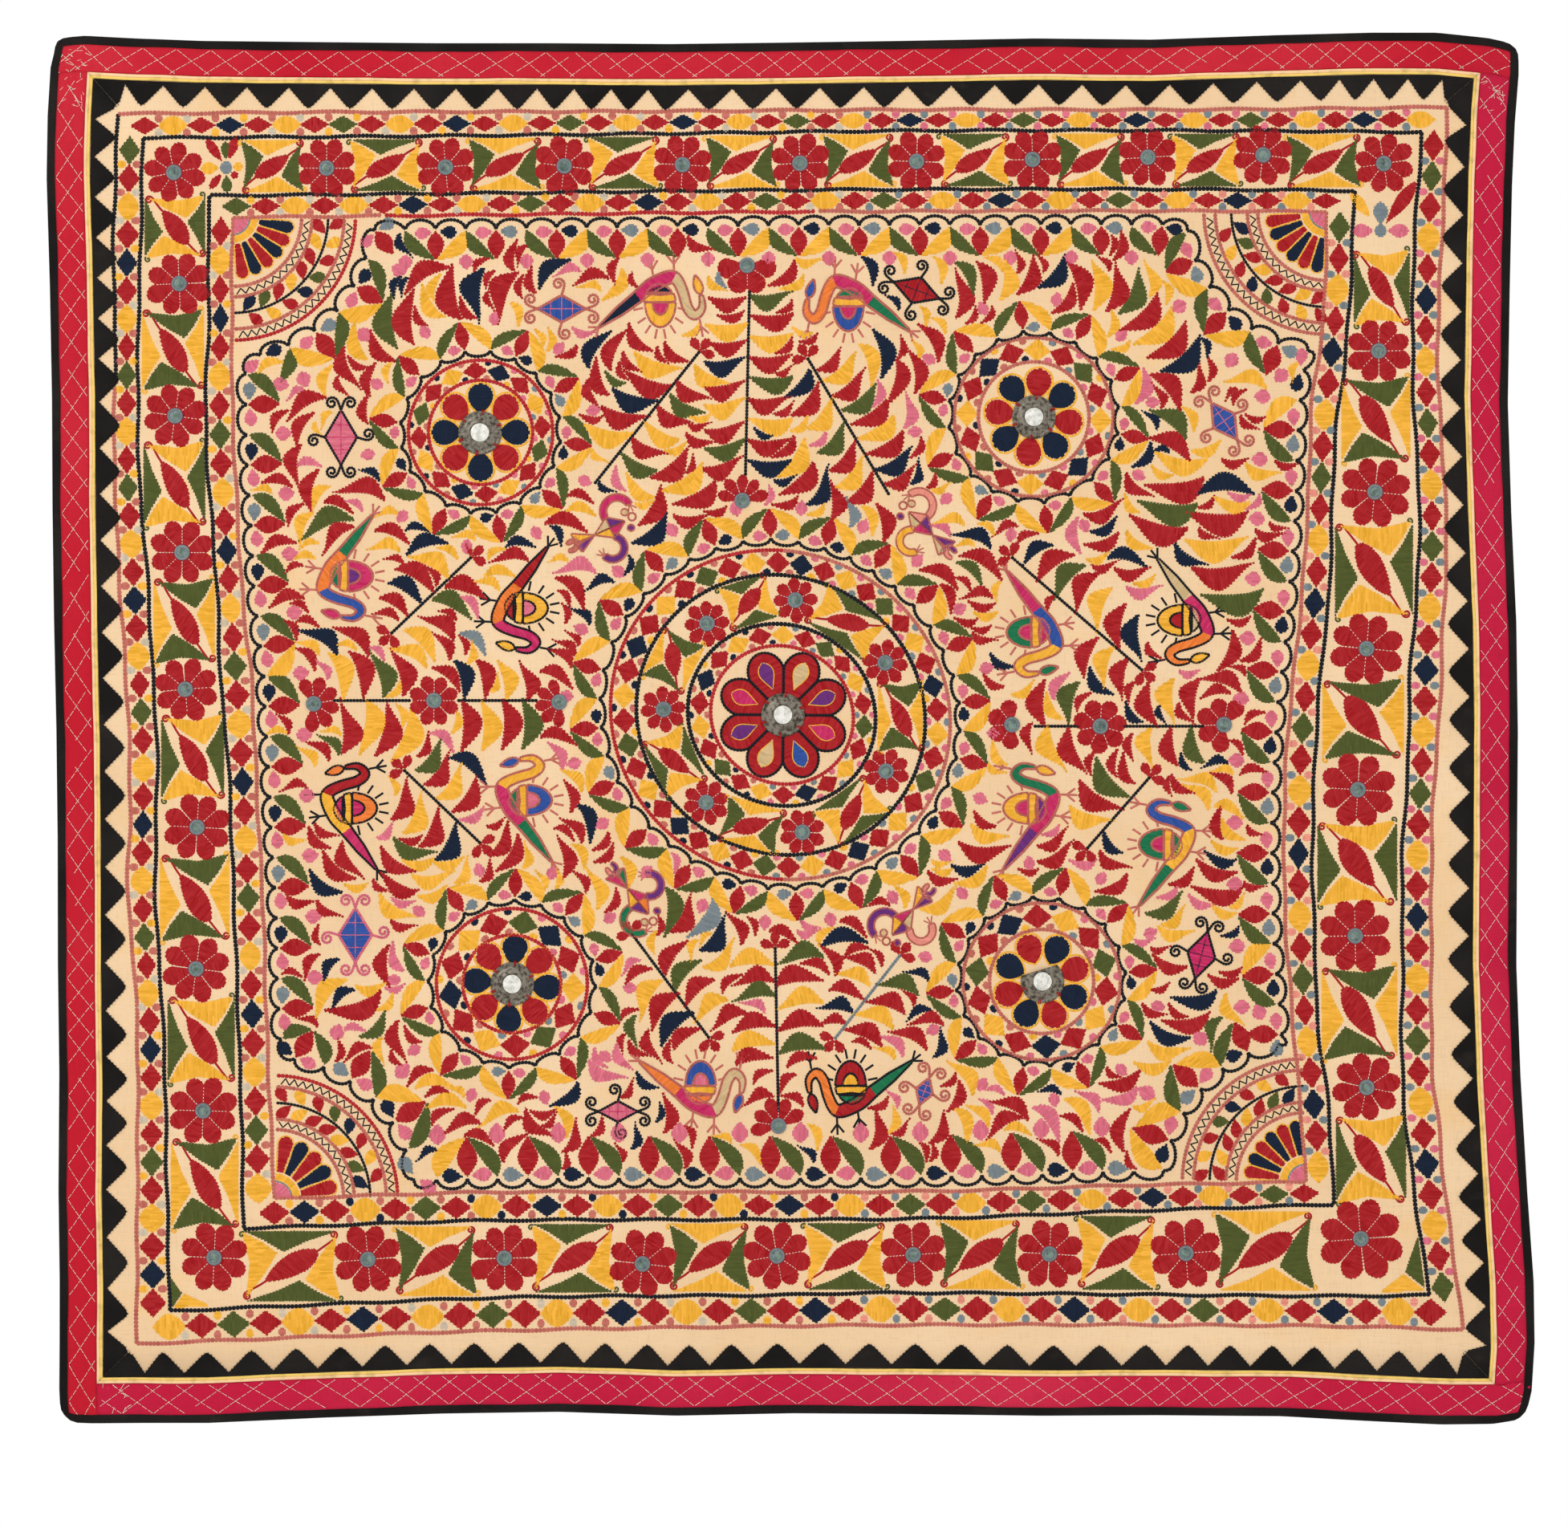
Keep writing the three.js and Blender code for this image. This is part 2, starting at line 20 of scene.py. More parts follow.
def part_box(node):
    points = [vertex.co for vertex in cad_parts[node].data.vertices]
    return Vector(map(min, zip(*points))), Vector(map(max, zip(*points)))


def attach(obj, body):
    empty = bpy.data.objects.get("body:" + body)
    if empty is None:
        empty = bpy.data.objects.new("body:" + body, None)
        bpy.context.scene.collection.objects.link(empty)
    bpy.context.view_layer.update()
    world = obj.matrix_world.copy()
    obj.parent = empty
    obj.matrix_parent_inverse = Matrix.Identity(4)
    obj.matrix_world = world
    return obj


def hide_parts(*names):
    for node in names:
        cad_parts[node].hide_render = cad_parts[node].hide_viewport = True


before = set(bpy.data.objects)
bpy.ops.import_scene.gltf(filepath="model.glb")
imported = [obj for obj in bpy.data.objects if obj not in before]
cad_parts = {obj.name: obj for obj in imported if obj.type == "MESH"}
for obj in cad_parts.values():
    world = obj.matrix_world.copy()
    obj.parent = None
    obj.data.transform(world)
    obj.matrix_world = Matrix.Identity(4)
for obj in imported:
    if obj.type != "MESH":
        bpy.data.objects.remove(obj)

LOG = logging.getLogger("wall_hanging")
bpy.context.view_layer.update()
MM = 0.001
Colour = tuple[float, float, float]
Place = tuple[float, float, float]
Pairs = Sequence[tuple[float, float]]
StitchMesh = tuple[np.ndarray, np.ndarray, list[tuple[int, ...]]]

# Sizes shared by several pieces, the same as those of the solids
WIDTH, HEIGHT = 1686.0, 1584.0
CLOTH, TRIM, GAP = 1.6, 1.0, 0.3
SEAM, BINDING_WIDTH, CORNER_RADIUS = 43.0, 9.6, 6.0
PIPING_WIDTH, PIPING_HEIGHT = 7.0, 1.4
TOOTH_NOTCH, TOOTH_TIP, FIRST_NOTCH_BACK = 54.6, 80.5, 20.0
MITRE_CLEAR = 0.22

# Charted places are counted in steps from the top left corner of the chart
CHART_STEP, CHART_LEFT, CHART_TOP = 0.925, 979.0, 53.0


class Thread(Enum):
    """A floss colour, by the letter that charts use for it."""

    RED = "R"
    YELLOW = "Y"
    GREEN = "G"
    NAVY = "N"
    PINK = "P"
    GREY = "S"
    PALE_GREY = "L"
    ROSE = "D"
    SALMON = "A"
    BLACK = "K"
    MAGENTA = "M"
    PURPLE = "V"
    BLUE = "B"
    EMERALD = "E"
    ORANGE = "O"
    BEIGE = "C"
    SCARLET = "X"
    WHITE = "W"


class Side(Enum):
    """A side of the hanging."""

    TOP = "top"
    BOTTOM = "bottom"
    LEFT = "left"
    RIGHT = "right"


class EdgeStray(NamedTuple):
    """How far two opposite edges stray outward at a share of their length."""

    at: float
    first: float
    second: float


class Swell(NamedTuple):
    """A soft swell of the hung cloth toward the room or the wall."""

    x: float
    z: float
    reach_x: float
    reach_z: float
    forward: float


class Crease(NamedTuple):
    """A soft ridge or trough along a line of the cloth."""

    x: float
    z: float
    to_x: float
    to_z: float
    width: float
    rise: float


class SideSizes(NamedTuple):
    """A side's length, how far its trims sit in, the sides it meets and its red length's ends."""

    length: float
    inset: float
    before: Side
    after: Side
    starts_bound: bool
    ends_bound: bool


# Outward strays of top and bottom from left to right, and of left and right from the top down
ACROSS = [EdgeStray(*row) for row in (
    (0.0, 3.0, 0.0), (0.008, 6.0, 6.5), (0.02, 7.7, 7.2), (0.055, 4.6, 6.7), (0.1, 1.8, 6.6),
    (0.18, 0.4, 0.4), (0.26, -0.9, -4.1), (0.34, -0.9, -5.9), (0.42, -1.9, -1.3), (0.5, -0.2, -4.0),
    (0.58, 1.8, -3.1), (0.67, 4.6, -1.3), (0.75, 3.2, -2.2), (0.835, 8.3, -1.3), (0.9, 11.2, 4.6),
    (0.945, 11.2, 8.2), (0.98, 5.0, 7.6), (0.992, 0.5, 4.6), (1.0, -5.5, 1.9),
)]
DOWN = [EdgeStray(*row) for row in (
    (0.0, -2.0, 0.0), (0.008, -0.5, 1.7), (0.02, 4.2, 1.8), (0.055, 7.6, -2.6), (0.1, 8.8, -5.9),
    (0.18, 5.1, -8.8), (0.26, 2.8, -11.0), (0.34, 2.3, -7.0), (0.42, 0.6, -1.1), (0.5, -2.2, 0.8),
    (0.58, -3.8, 0.0), (0.67, -4.2, -0.9), (0.75, -6.0, 3.6), (0.835, -5.2, 11.2), (0.9, -6.6, 18.5),
    (0.945, -6.5, 19.6), (0.98, -6.1, 16.2), (0.992, -7.0, 11.5), (1.0, -10.6, 4.6),
)]
SWELLS = [
    Swell(-560, -1400, 300, 320, 4.5),
    Swell(680, -1430, 300, 300, 6.0),
    Swell(60, -1230, 360, 300, -3.0),
    Swell(690, -480, 280, 340, 3.5),
    Swell(-700, -640, 280, 380, -2.5),
    Swell(-40, -660, 420, 360, 2.5),
]
# Old fold lines across the cloth, and short slack creases beside the seams
CREASES = [
    Crease(-760, -588, 730, -592, 5.0, 0.45),
    Crease(-740, -1050, 760, -1056, 5.0, -0.45),
    Crease(-30, -110, -34, -700, 7.0, 0.3),
    Crease(-690, -1472, -240, -1462, 9.0, 0.7),
    Crease(150, -1462, 700, -1478, 9.0, 0.8),
    Crease(-752, -1180, -700, -1330, 12.0, 0.7),
    Crease(735, -1120, 752, -1360, 12.0, 0.8),
    Crease(610, -1210, 500, -1330, 16.0, 0.5),
]
SIDES = {
    Side.TOP: SideSizes(WIDTH, -2.0, Side.LEFT, Side.RIGHT, True, True),
    Side.BOTTOM: SideSizes(WIDTH, 2.5, Side.LEFT, Side.RIGHT, False, True),
    Side.LEFT: SideSizes(HEIGHT, 0.0, Side.TOP, Side.BOTTOM, False, True),
    Side.RIGHT: SideSizes(HEIGHT, 0.5, Side.TOP, Side.BOTTOM, False, False),
}
# Black tooth tips along each side, as (tooth, place); those between are evenly shared out
TOOTH_STATIONS = {
    Side.TOP: ((0, 107), (9, 539), (13, 709), (20, 1061), (28, 1462), (31, 1580)),
    Side.BOTTOM: ((0, 118), (9, 576), (13, 768), (22, 1242), (29, 1579)),
    Side.LEFT: ((0, 114), (6, 391), (14, 812), (20, 1140), (24, 1342), (26, 1459)),
    Side.RIGHT: ((0, 122), (8, 563), (16, 1000), (22, 1325), (25, 1474)),
}


def chart(x: float, y: float) -> np.ndarray:
    """Turns a charted place into millimetres of the hanging."""
    return np.array(((x - CHART_LEFT) * CHART_STEP, (CHART_TOP - y) * CHART_STEP))


class HungForm:
    """The hung cloth's form: its uneven outline, swells and creases."""

    def place(self, x: np.ndarray, z: np.ndarray) -> tuple[np.ndarray, np.ndarray]:
        """Moves places of the squared-up hanging to the uneven one.

        Args:
            x: Places across.
            z: Places up.

        Returns:
            The moved places.
        """
        x, z = np.asarray(x, float), np.asarray(z, float)
        in_x = np.abs(x) - (WIDTH / 2 - CORNER_RADIUS)
        in_z = np.abs(z + HEIGHT / 2) - (HEIGHT / 2 - CORNER_RADIUS)
        far = np.maximum(np.hypot(in_x, in_z), 1e-9)
        pull = np.where((in_x > 0) & (in_z > 0), 1 - np.maximum(in_x, in_z) / far, 0)
        across, down = np.clip(x / WIDTH + 0.5, 0, 1), np.clip(-z / HEIGHT, 0, 1)
        left, right = self._stray(DOWN, down)
        top, bottom = self._stray(ACROSS, across)
        new_x = x - np.sign(x) * in_x * pull - left * (1 - across) + right * across
        new_z = z - np.sign(z + HEIGHT / 2) * in_z * pull + top * (1 - down) - bottom * down
        return new_x, new_z

    @staticmethod
    def _stray(table: Sequence[EdgeStray], at: np.ndarray) -> tuple[np.ndarray, np.ndarray]:
        """Reads both columns of a table of strays between its rows."""
        rows = np.array(table)
        return np.interp(at, rows[:, 0], rows[:, 1]), np.interp(at, rows[:, 0], rows[:, 2])

    def back(self, x: np.ndarray, z: np.ndarray) -> np.ndarray:
        """Gives how far the back of the cloth stands from the wall plane.

        Args:
            x: Places across.
            z: Places up.

        Returns:
            The depths along +Y.
        """
        y = np.zeros(np.broadcast(x, z).shape)
        for row in SWELLS:
            fall = ((x - row.x) / row.reach_x) ** 2 + ((z - row.z) / row.reach_z) ** 2
            y -= row.forward * np.exp(-fall)
        for row in CREASES:
            run = np.array((row.to_x - row.x, row.to_z - row.z))
            share = ((x - row.x) * run[0] + (z - row.z) * run[1]) / (run @ run)
            ends = np.clip(share, 0, 1)
            away = np.hypot(x - row.x - ends * run[0], z - row.z - ends * run[1])
            wave = 0.75 + 0.25 * np.sin(share * 23.0 + row.x)
            y -= row.rise * wave * np.exp(-((away / row.width) ** 2))
        return y

    def point(self, x: np.ndarray, z: np.ndarray, height: np.ndarray) -> np.ndarray:
        """Gives points in metres, a height in front of the back of the cloth."""
        x, z, height = np.broadcast_arrays(np.asarray(x, float), z, height)
        return np.stack((x, self.back(x, z) - height, z), axis=-1) * MM

    def lift(self, x: np.ndarray, z: np.ndarray, height: np.ndarray) -> np.ndarray:
        """Gives points in metres for places of the squared-up hanging, like `point`."""
        return self.point(*self.place(x, z), height)

    def on_side(self, side: Side, along: np.ndarray, inward: np.ndarray) -> tuple[np.ndarray, np.ndarray]:
        """Gives squared-up places of a side strip.

        Args:
            side: The side.
            along: Lengths from its first end.
            inward: Distances in from the outer edge.

        Returns:
            The places as x and z.
        """
        along, inward = np.asarray(along, float), np.asarray(inward, float)
        if side is Side.TOP:
            return along - WIDTH / 2, -inward
        if side is Side.BOTTOM:
            return along - WIDTH / 2, inward - HEIGHT
        if side is Side.LEFT:
            return inward - WIDTH / 2, -along
        return WIDTH / 2 - inward, -along


FORM = HungForm()


def linear(red: int, green: int, blue: int) -> Colour:
    """Turns a dye given in screen values of 0 to 255 into linear light."""
    parts = (value / 255 for value in (red, green, blue))
    return tuple(v / 12.92 if v <= 0.04045 else ((v + 0.055) / 1.055) ** 2.4 for v in parts)


class NodeBoard:
    """The nodes of one procedural material, added and linked by short calls."""

    def __init__(self, name: str) -> None:
        """Starts a material with a surface shader.

        Args:
            name: The material's name.
        """
        self.material = bpy.data.materials.new(name)
        self.material.use_nodes = True
        self.tree = self.material.node_tree
        self.shader = self.tree.nodes["Principled BSDF"]

    def add(self, kind: str, values: dict | None = None, **settings: object) -> bpy.types.Node:
        """Adds a node.

        Args:
            kind: Node type without its common prefix.
            values: Values of its inputs by name or number.
            settings: Properties of the node.

        Returns:
            The node.
        """
        node = self.tree.nodes.new("ShaderNode" + kind)
        for key, value in settings.items():
            setattr(node, key, value)
        for key, value in (values or {}).items():
            node.inputs[key].default_value = value
        return node

    def link(self, source: bpy.types.NodeSocket, target: bpy.types.NodeSocket) -> None:
        """Links two sockets."""
        self.tree.links.new(source, target)

    def sum_up(self, operation: str, first: object, second: object = 0.0) -> bpy.types.NodeSocket:
        """Adds a number node.

        Args:
            operation: What it works out.
            first: A socket or number.
            second: A socket or number.

        Returns:
            The result.
        """
        node = self.add("Math", operation=operation)
        for index, item in enumerate((first, second)):
            if isinstance(item, bpy.types.NodeSocket):
                self.link(item, node.inputs[index])
            else:
                node.inputs[index].default_value = item
        return node.outputs[0]

    def blend(self, share: bpy.types.NodeSocket, first: object, second: object) -> bpy.types.NodeSocket:
        """Mixes two colours.

        Args:
            share: How much of the second shows.
            first: A socket or colour.
            second: A socket or colour.

        Returns:
            The mixed colour.
        """
        node = self.add("Mix", data_type="RGBA")
        self.link(share, node.inputs[0])
        for index, item in ((6, first), (7, second)):
            if isinstance(item, bpy.types.NodeSocket):
                self.link(item, node.inputs[index])
            else:
                node.inputs[index].default_value = (*item, 1.0)
        return node.outputs[2]

    def noise(self, scale: float, detail: float = 3.0, stretch: Colour = (1, 1, 1)) -> bpy.types.NodeSocket:
        """Adds soft noise on the object's own coordinates.

        Args:
            scale: Spots in a metre.
            detail: Finer layers.
            stretch: How much each axis is packed together.

        Returns:
            The noise value.
        """
        place = self.add("TexCoord").outputs["Object"]
        mapping = self.add("Mapping", {"Scale": stretch})
        self.link(place, mapping.inputs["Vector"])
        node = self.add("TexNoise", {"Scale": scale, "Detail": detail})
        self.link(mapping.outputs[0], node.inputs["Vector"])
        return node.outputs[0]

    def steps(self, share: bpy.types.NodeSocket, low: float, high: float) -> bpy.types.NodeSocket:
        """Spreads a band of values over 0 to 1.

        Args:
            share: The values.
            low: The value that becomes 0.
            high: The value that becomes 1.

        Returns:
            The spread values.
        """
        node = self.add("MapRange", {1: low, 2: high})
        self.link(share, node.inputs[0])
        return node.outputs[0]

    def bump(self, height: bpy.types.NodeSocket, strength: float, distance: float) -> None:
        """Gives the shader a bump.

        Args:
            height: The bump's height.
            strength: Its share.
            distance: Its depth in millimetres.
        """
        node = self.add("Bump", {"Strength": strength, "Distance": distance * MM})
        self.link(height, node.inputs["Height"])
        self.link(node.outputs[0], self.shader.inputs["Normal"])


@dataclass(frozen=True)
class CottonFinish:
    """Woven cotton with slubs, uneven dye, a weave in its bump and, where set, painted shade towards the
    bottom.
    """

    name: str
    dye: Colour
    faded: Colour
    stain: Colour
    stain_from: float = 0.58
    patch: float = 5.0
    roughness: float = 0.92
    weave: float = 700.0
    # Colour of painted shade along the bottom, and the height below which it falls, where set
    hem: Colour | None = None
    painted_shade_below: float = -1.50

    def material(self) -> bpy.types.Material:
        """Makes the finish.

        Returns:
            Its material.
        """
        board = NodeBoard(self.name)
        worn = board.steps(board.noise(self.patch, 4.0), 0.4, 0.65)
        spots = board.steps(board.noise(self.patch * 2.3, 5.0, (1.0, 1.0, 1.3)), self.stain_from, 0.8)
        warp = board.noise(60.0, 2.0, (14.0, 1.0, 1.0))
        weft = board.noise(60.0, 2.0, (1.0, 1.0, 14.0))
        slub = board.sum_up("MULTIPLY", board.sum_up("ADD", warp, weft), 0.5)
        colour = board.blend(worn, self.dye, self.faded)
        colour = board.blend(board.sum_up("MULTIPLY", spots, 0.6), colour, self.stain)
        # Painted shade: the cloth darkens towards its bottom, below a set height
        if self.hem:
            split = board.add("SeparateXYZ")
            board.link(board.add("TexCoord").outputs["Object"], split.inputs[0])
            low = board.steps(split.outputs[2], self.painted_shade_below, self.painted_shade_below - 0.04)
            colour = board.blend(board.sum_up("MULTIPLY", low, 0.8), colour, self.hem)
        dark = tuple(0.72 * value for value in self.dye)
        colour = board.blend(board.sum_up("MULTIPLY", board.steps(slub, 0.5, 0.72), 0.45), colour, dark)
        board.link(colour, board.shader.inputs["Base Color"])
        fine = board.noise(self.weave, 1.0)
        board.bump(board.sum_up("ADD", board.sum_up("MULTIPLY", slub, 2.0), fine), 0.5, 0.25)
        board.shader.inputs["Roughness"].default_value = self.roughness
        board.shader.inputs["Specular IOR Level"].default_value = 0.05
        return board.material


@dataclass(frozen=True)
class TwinCottonFinish:
    """Cotton of a twin piping, one dye for each roll, told apart by the roll's own map."""

    name: str
    outer: Colour
    inner: Colour
    roughness: float = 0.9

    def material(self) -> bpy.types.Material:
        """Makes the finish.

        Returns:
            Its material.
        """
        board = NodeBoard(self.name)
        split = board.add("SeparateXYZ")
        board.link(board.add("UVMap", uv_map="roll").outputs[0], split.inputs[0])
        across = board.steps(split.outputs[1], 0.48, 0.52)
        colour = board.blend(across, self.outer, self.inner)
        soil = tuple(0.45 * value for value in self.inner)
        grey = board.steps(board.noise(90.0, 3.0), 0.5, 0.75)
        colour = board.blend(board.sum_up("MULTIPLY", grey, 0.5), colour, soil)
        board.link(colour, board.shader.inputs["Base Color"])
        board.bump(board.noise(500.0, 2.0), 0.4, 0.25)
        board.shader.inputs["Roughness"].default_value = self.roughness
        board.shader.inputs["Specular IOR Level"].default_value = 0.05
        return board.material


@dataclass(frozen=True)
class MetalFinish:
    """Stamped base metal, dulled and browned in random patches."""

    name: str
    bright: Colour
    dull: Colour
    roughness: float = 0.42
    metallic: float = 0.85

    def material(self) -> bpy.types.Material:
        """Makes the finish.

        Returns:
            Its material.
        """
        board = NodeBoard(self.name)
        tarnish = board.steps(board.noise(240.0, 5.0), 0.42, 0.66)
        colour = board.blend(tarnish, self.bright, self.dull)
        board.link(colour, board.shader.inputs["Base Color"])
        board.bump(board.noise(900.0, 2.0), 0.25, 0.15)
        board.shader.inputs["Roughness"].default_value = self.roughness
        board.shader.inputs["Metallic"].default_value = self.metallic
        return board.material


@dataclass(frozen=True)
class GlassFinish:
    """Old silvered glass, clouded and specked; the flower mirrors' dull grey-teal tone is painted reflection.
    """

    name: str
    silver: Colour
    cloud: Colour
    roughness: float = 0.25

    def material(self) -> bpy.types.Material:
        """Makes the finish.

        Returns:
            Its material.
        """
        board = NodeBoard(self.name)
        cloud = board.steps(board.noise(160.0, 4.0), 0.4, 0.7)
        specks = board.steps(board.noise(900.0, 1.0), 0.62, 0.7)
        colour = board.blend(cloud, self.silver, self.cloud)
        colour = board.blend(board.sum_up("MULTIPLY", specks, 0.6), colour,
                             tuple(0.3 * v for v in self.cloud))
        board.link(colour, board.shader.inputs["Base Color"])
        board.bump(board.noise(120.0, 2.0), 0.15, 0.3)
        board.shader.inputs["Roughness"].default_value = self.roughness
        board.shader.inputs["Metallic"].default_value = 0.55
        return board.material


# Dyes of the floss, in screen values
FLOSS_DYES = {
    Thread.RED: linear(166, 17, 24),
    Thread.YELLOW: linear(238, 172, 42),
    Thread.GREEN: linear(78, 86, 38),
    Thread.NAVY: linear(20, 32, 52),
    Thread.PINK: linear(214, 104, 124),
    Thread.GREY: linear(118, 129, 133),
    Thread.PALE_GREY: linear(200, 184, 160),
    Thread.ROSE: linear(192, 104, 90),
    Thread.SALMON: linear(226, 138, 120),
    Thread.BLACK: linear(28, 30, 34),
    Thread.MAGENTA: linear(196, 34, 92),
    Thread.PURPLE: linear(104, 44, 116),
    Thread.BLUE: linear(44, 78, 152),
    Thread.EMERALD: linear(24, 112, 72),
    Thread.ORANGE: linear(234, 120, 40),
    Thread.BEIGE: linear(206, 176, 128),
    Thread.SCARLET: linear(182, 34, 40),
    Thread.WHITE: linear(240, 226, 206),
}


@dataclass(frozen=True)
class FlossFinish:
    """Twisted floss in every dye of the work, read from each stitch's own map.

    The map's height picks the dye, its width the shade of the strand and the place across it; painted shade
    darkens each strand towards its edges.
    """

    name: str = "embroidery_floss"
    shades: int = 16
    rows: int = 32
    roughness: float = 0.55

    def spot(self, thread: Thread, shade: np.ndarray, across: np.ndarray, along: np.ndarray) -> np.ndarray:
        """Gives the map places of stitch corners.

        Args:
            thread: The dye.
            shade: Shade numbers from 0 to 15.
            across: Shares across the strand.
            along: Shares along the stitch.

        Returns:
            One row of two map coordinates for each corner.
        """
        row = list(Thread).index(thread)
        wide = (shade + 0.08 + 0.84 * across) / self.shades
        return np.stack(np.broadcast_arrays(wide, (row + 0.2 + 0.6 * along) / self.rows), axis=-1)

    def material(self) -> bpy.types.Material:
        """Makes the finish.

        Returns:
            Its material.
        """
        board = NodeBoard(self.name)
        split = board.add("SeparateXYZ")
        board.link(board.add("UVMap", uv_map="OFBake").outputs[0], split.inputs[0])
        dyes = board.add("ValToRGB")
        dyes.color_ramp.interpolation = "CONSTANT"
        for index, thread in enumerate(Thread):
            stops = dyes.color_ramp.elements
            stop = stops[index] if index < 2 else stops.new(index / self.rows)
            stop.position = index / self.rows
            stop.color = (*FLOSS_DYES[thread], 1.0)
        board.link(split.outputs[1], dyes.inputs[0])
        column = board.sum_up("MULTIPLY", split.outputs[0], float(self.shades))
        share = board.sum_up("DIVIDE", board.sum_up("FLOOR", column), self.shades - 1.0)
        across = board.sum_up("FRACT", column)
        ridge = board.sum_up("PINGPONG", across, 0.5)
        light = board.add("HueSaturation", {"Saturation": 0.96, "Value": 1.16})
        dark = board.add("HueSaturation", {"Value": 0.84})
        for node in (light, dark):
            board.link(dyes.outputs[0], node.inputs["Color"])
        colour = board.blend(share, dark.outputs[0], light.outputs[0])
        # Painted shade: each strand is darkened towards its edges, as if rounded
        painted_edge_shade = board.add("HueSaturation", {"Value": 0.45})
        board.link(dyes.outputs[0], painted_edge_shade.inputs["Color"])
        edge = board.sum_up("MULTIPLY", board.steps(ridge, 0.22, 0.02), 0.55)
        board.link(board.blend(edge, colour, painted_edge_shade.outputs[0]), board.shader.inputs["Base Color"])
        board.shader.inputs["Roughness"].default_value = self.roughness
        board.shader.inputs["Specular IOR Level"].default_value = 0.08
        return board.material


# Finishes of the pieces
FLOSS = FlossFinish()
# The cream ground carries painted shade along its bottom
CREAM = CottonFinish("cream_cotton", linear(234, 199, 156), linear(240, 208, 168), linear(240, 190, 122),
                     0.54, hem=linear(196, 166, 132))
BLACK = CottonFinish("black_cotton", linear(27, 25, 24), linear(38, 35, 33), linear(56, 50, 45), 0.62, 9.0)
RED = CottonFinish("red_cotton", linear(190, 30, 46), linear(200, 44, 58), linear(176, 28, 54), 0.55, 3.0)
CRIMSON = CottonFinish("crimson_cotton", linear(190, 31, 62), linear(202, 46, 74), linear(178, 29, 60), 0.55,
                       3.0)
PIPING = TwinCottonFinish("piping_cotton", linear(244, 206, 158), linear(240, 204, 110))
METAL = MetalFinish("boss_metal", linear(136, 129, 116), linear(62, 55, 45))
SILVER = GlassFinish("mirror_glass", linear(244, 242, 234), linear(196, 194, 182))
# The flower mirrors' dull grey-teal is painted reflection of grey surroundings, with clouding and specks over
# it
CLOUDED_GLASS_PAINTED_REFLECTION = GlassFinish("flower_glass", linear(124, 144, 134), linear(70, 86, 82), 0.4)
RIM_COTTON = CottonFinish("rim_cotton", linear(116, 124, 128), linear(136, 142, 144), linear(90, 94, 96))


@dataclass
class Workshop:
    """What is made so far: the ready finishes and the pieces, with their triangles."""

    ready: dict = field(default_factory=dict)
    made: list[bpy.types.Object] = field(default_factory=list)

    def finish(self, finish: object) -> bpy.types.Material:
        """Gives a finish's material, made once.

        Args:
            finish: The finish.

        Returns:
            Its material.
        """
        if finish not in self.ready:
            self.ready[finish] = finish.material()
        return self.ready[finish]

    def keep(self, mesh: bpy.types.Mesh, finish: object) -> bpy.types.Object:
        """Adds a mesh to the scene as a smooth piece that rides the hanging.

        Args:
            mesh: The mesh, named as the piece.
            finish: Its finish.

        Returns:
            The piece.
        """
        mesh.materials.append(self.finish(finish))
        mesh.polygons.foreach_set("use_smooth", np.full(len(mesh.polygons), True))
        piece = bpy.data.objects.new(mesh.name, mesh)
        bpy.context.scene.collection.objects.link(piece)
        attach(piece, "root")
        self.made.append(piece)
        return piece

    def keep_bmesh(self, bm: bmesh.types.BMesh, name: str, finish: object) -> bpy.types.Object:
        """Adds a worked mesh to the scene as a piece.

        Args:
            bm: The worked mesh, freed here.
            name: The piece's name.
            finish: Its finish.

        Returns:
            The piece.
        """
        mesh = bpy.data.meshes.new(name)
        bm.to_mesh(mesh)
        bm.free()
        return self.keep(mesh, finish)


SHOP = Workshop()


def set_places(bm: bmesh.types.BMesh, places: np.ndarray) -> None:
    """Moves each corner of a worked mesh to its row of places."""
    for vert, place in zip(bm.verts, places):
        vert.co = place


def grid_places(bm: bmesh.types.BMesh) -> np.ndarray:
    """Gives the flat places of a grid's corners."""
    return np.array([vert.co for vert in bm.verts])


def face_room(bm: bmesh.types.BMesh) -> None:
    """Turns an open sheet's faces toward the room.

    Args:
        bm: The sheet.
    """
    bm.normal_update()
    if sum(face.normal.y for face in bm.faces) > 0:
        bmesh.ops.reverse_faces(bm, faces=bm.faces)


def thicken(piece: bpy.types.Object, thickness: float) -> None:
    """Gives a sheet its cloth thickness, behind its worked face.

    Args:
        piece: The sheet.
        thickness: Its thickness.
    """
    solidify = piece.modifiers.new("cloth thickness", "SOLIDIFY")
    solidify.thickness = thickness * MM
    solidify.offset = -1.0


@dataclass
class GroundCloth:
    """The cream ground, out to the seam under the piping."""

    cell: float = 10.5

    def build(self) -> bpy.types.Object:
        """Makes the cloth.

        Returns:
            The piece.
        """
        left, right = SEAM + SIDES[Side.LEFT].inset, WIDTH - SEAM - SIDES[Side.RIGHT].inset
        top, bottom = SEAM + SIDES[Side.TOP].inset, HEIGHT - SEAM - SIDES[Side.BOTTOM].inset
        bm = bmesh.new()
        bmesh.ops.create_grid(bm, x_segments=round((right - left) / self.cell),
                              y_segments=round((bottom - top) / self.cell), size=0.5)
        flat = grid_places(bm)
        across = left + (flat[:, 0] + 0.5) * (right - left) - WIDTH / 2
        down = top + (flat[:, 1] + 0.5) * (bottom - top)
        set_places(bm, FORM.lift(across, -down, CLOTH))
        face_room(bm)
        piece = SHOP.keep_bmesh(bm, "cream_ground", CREAM)
        thicken(piece, CLOTH)
        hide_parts("ground_cloth")
        return piece


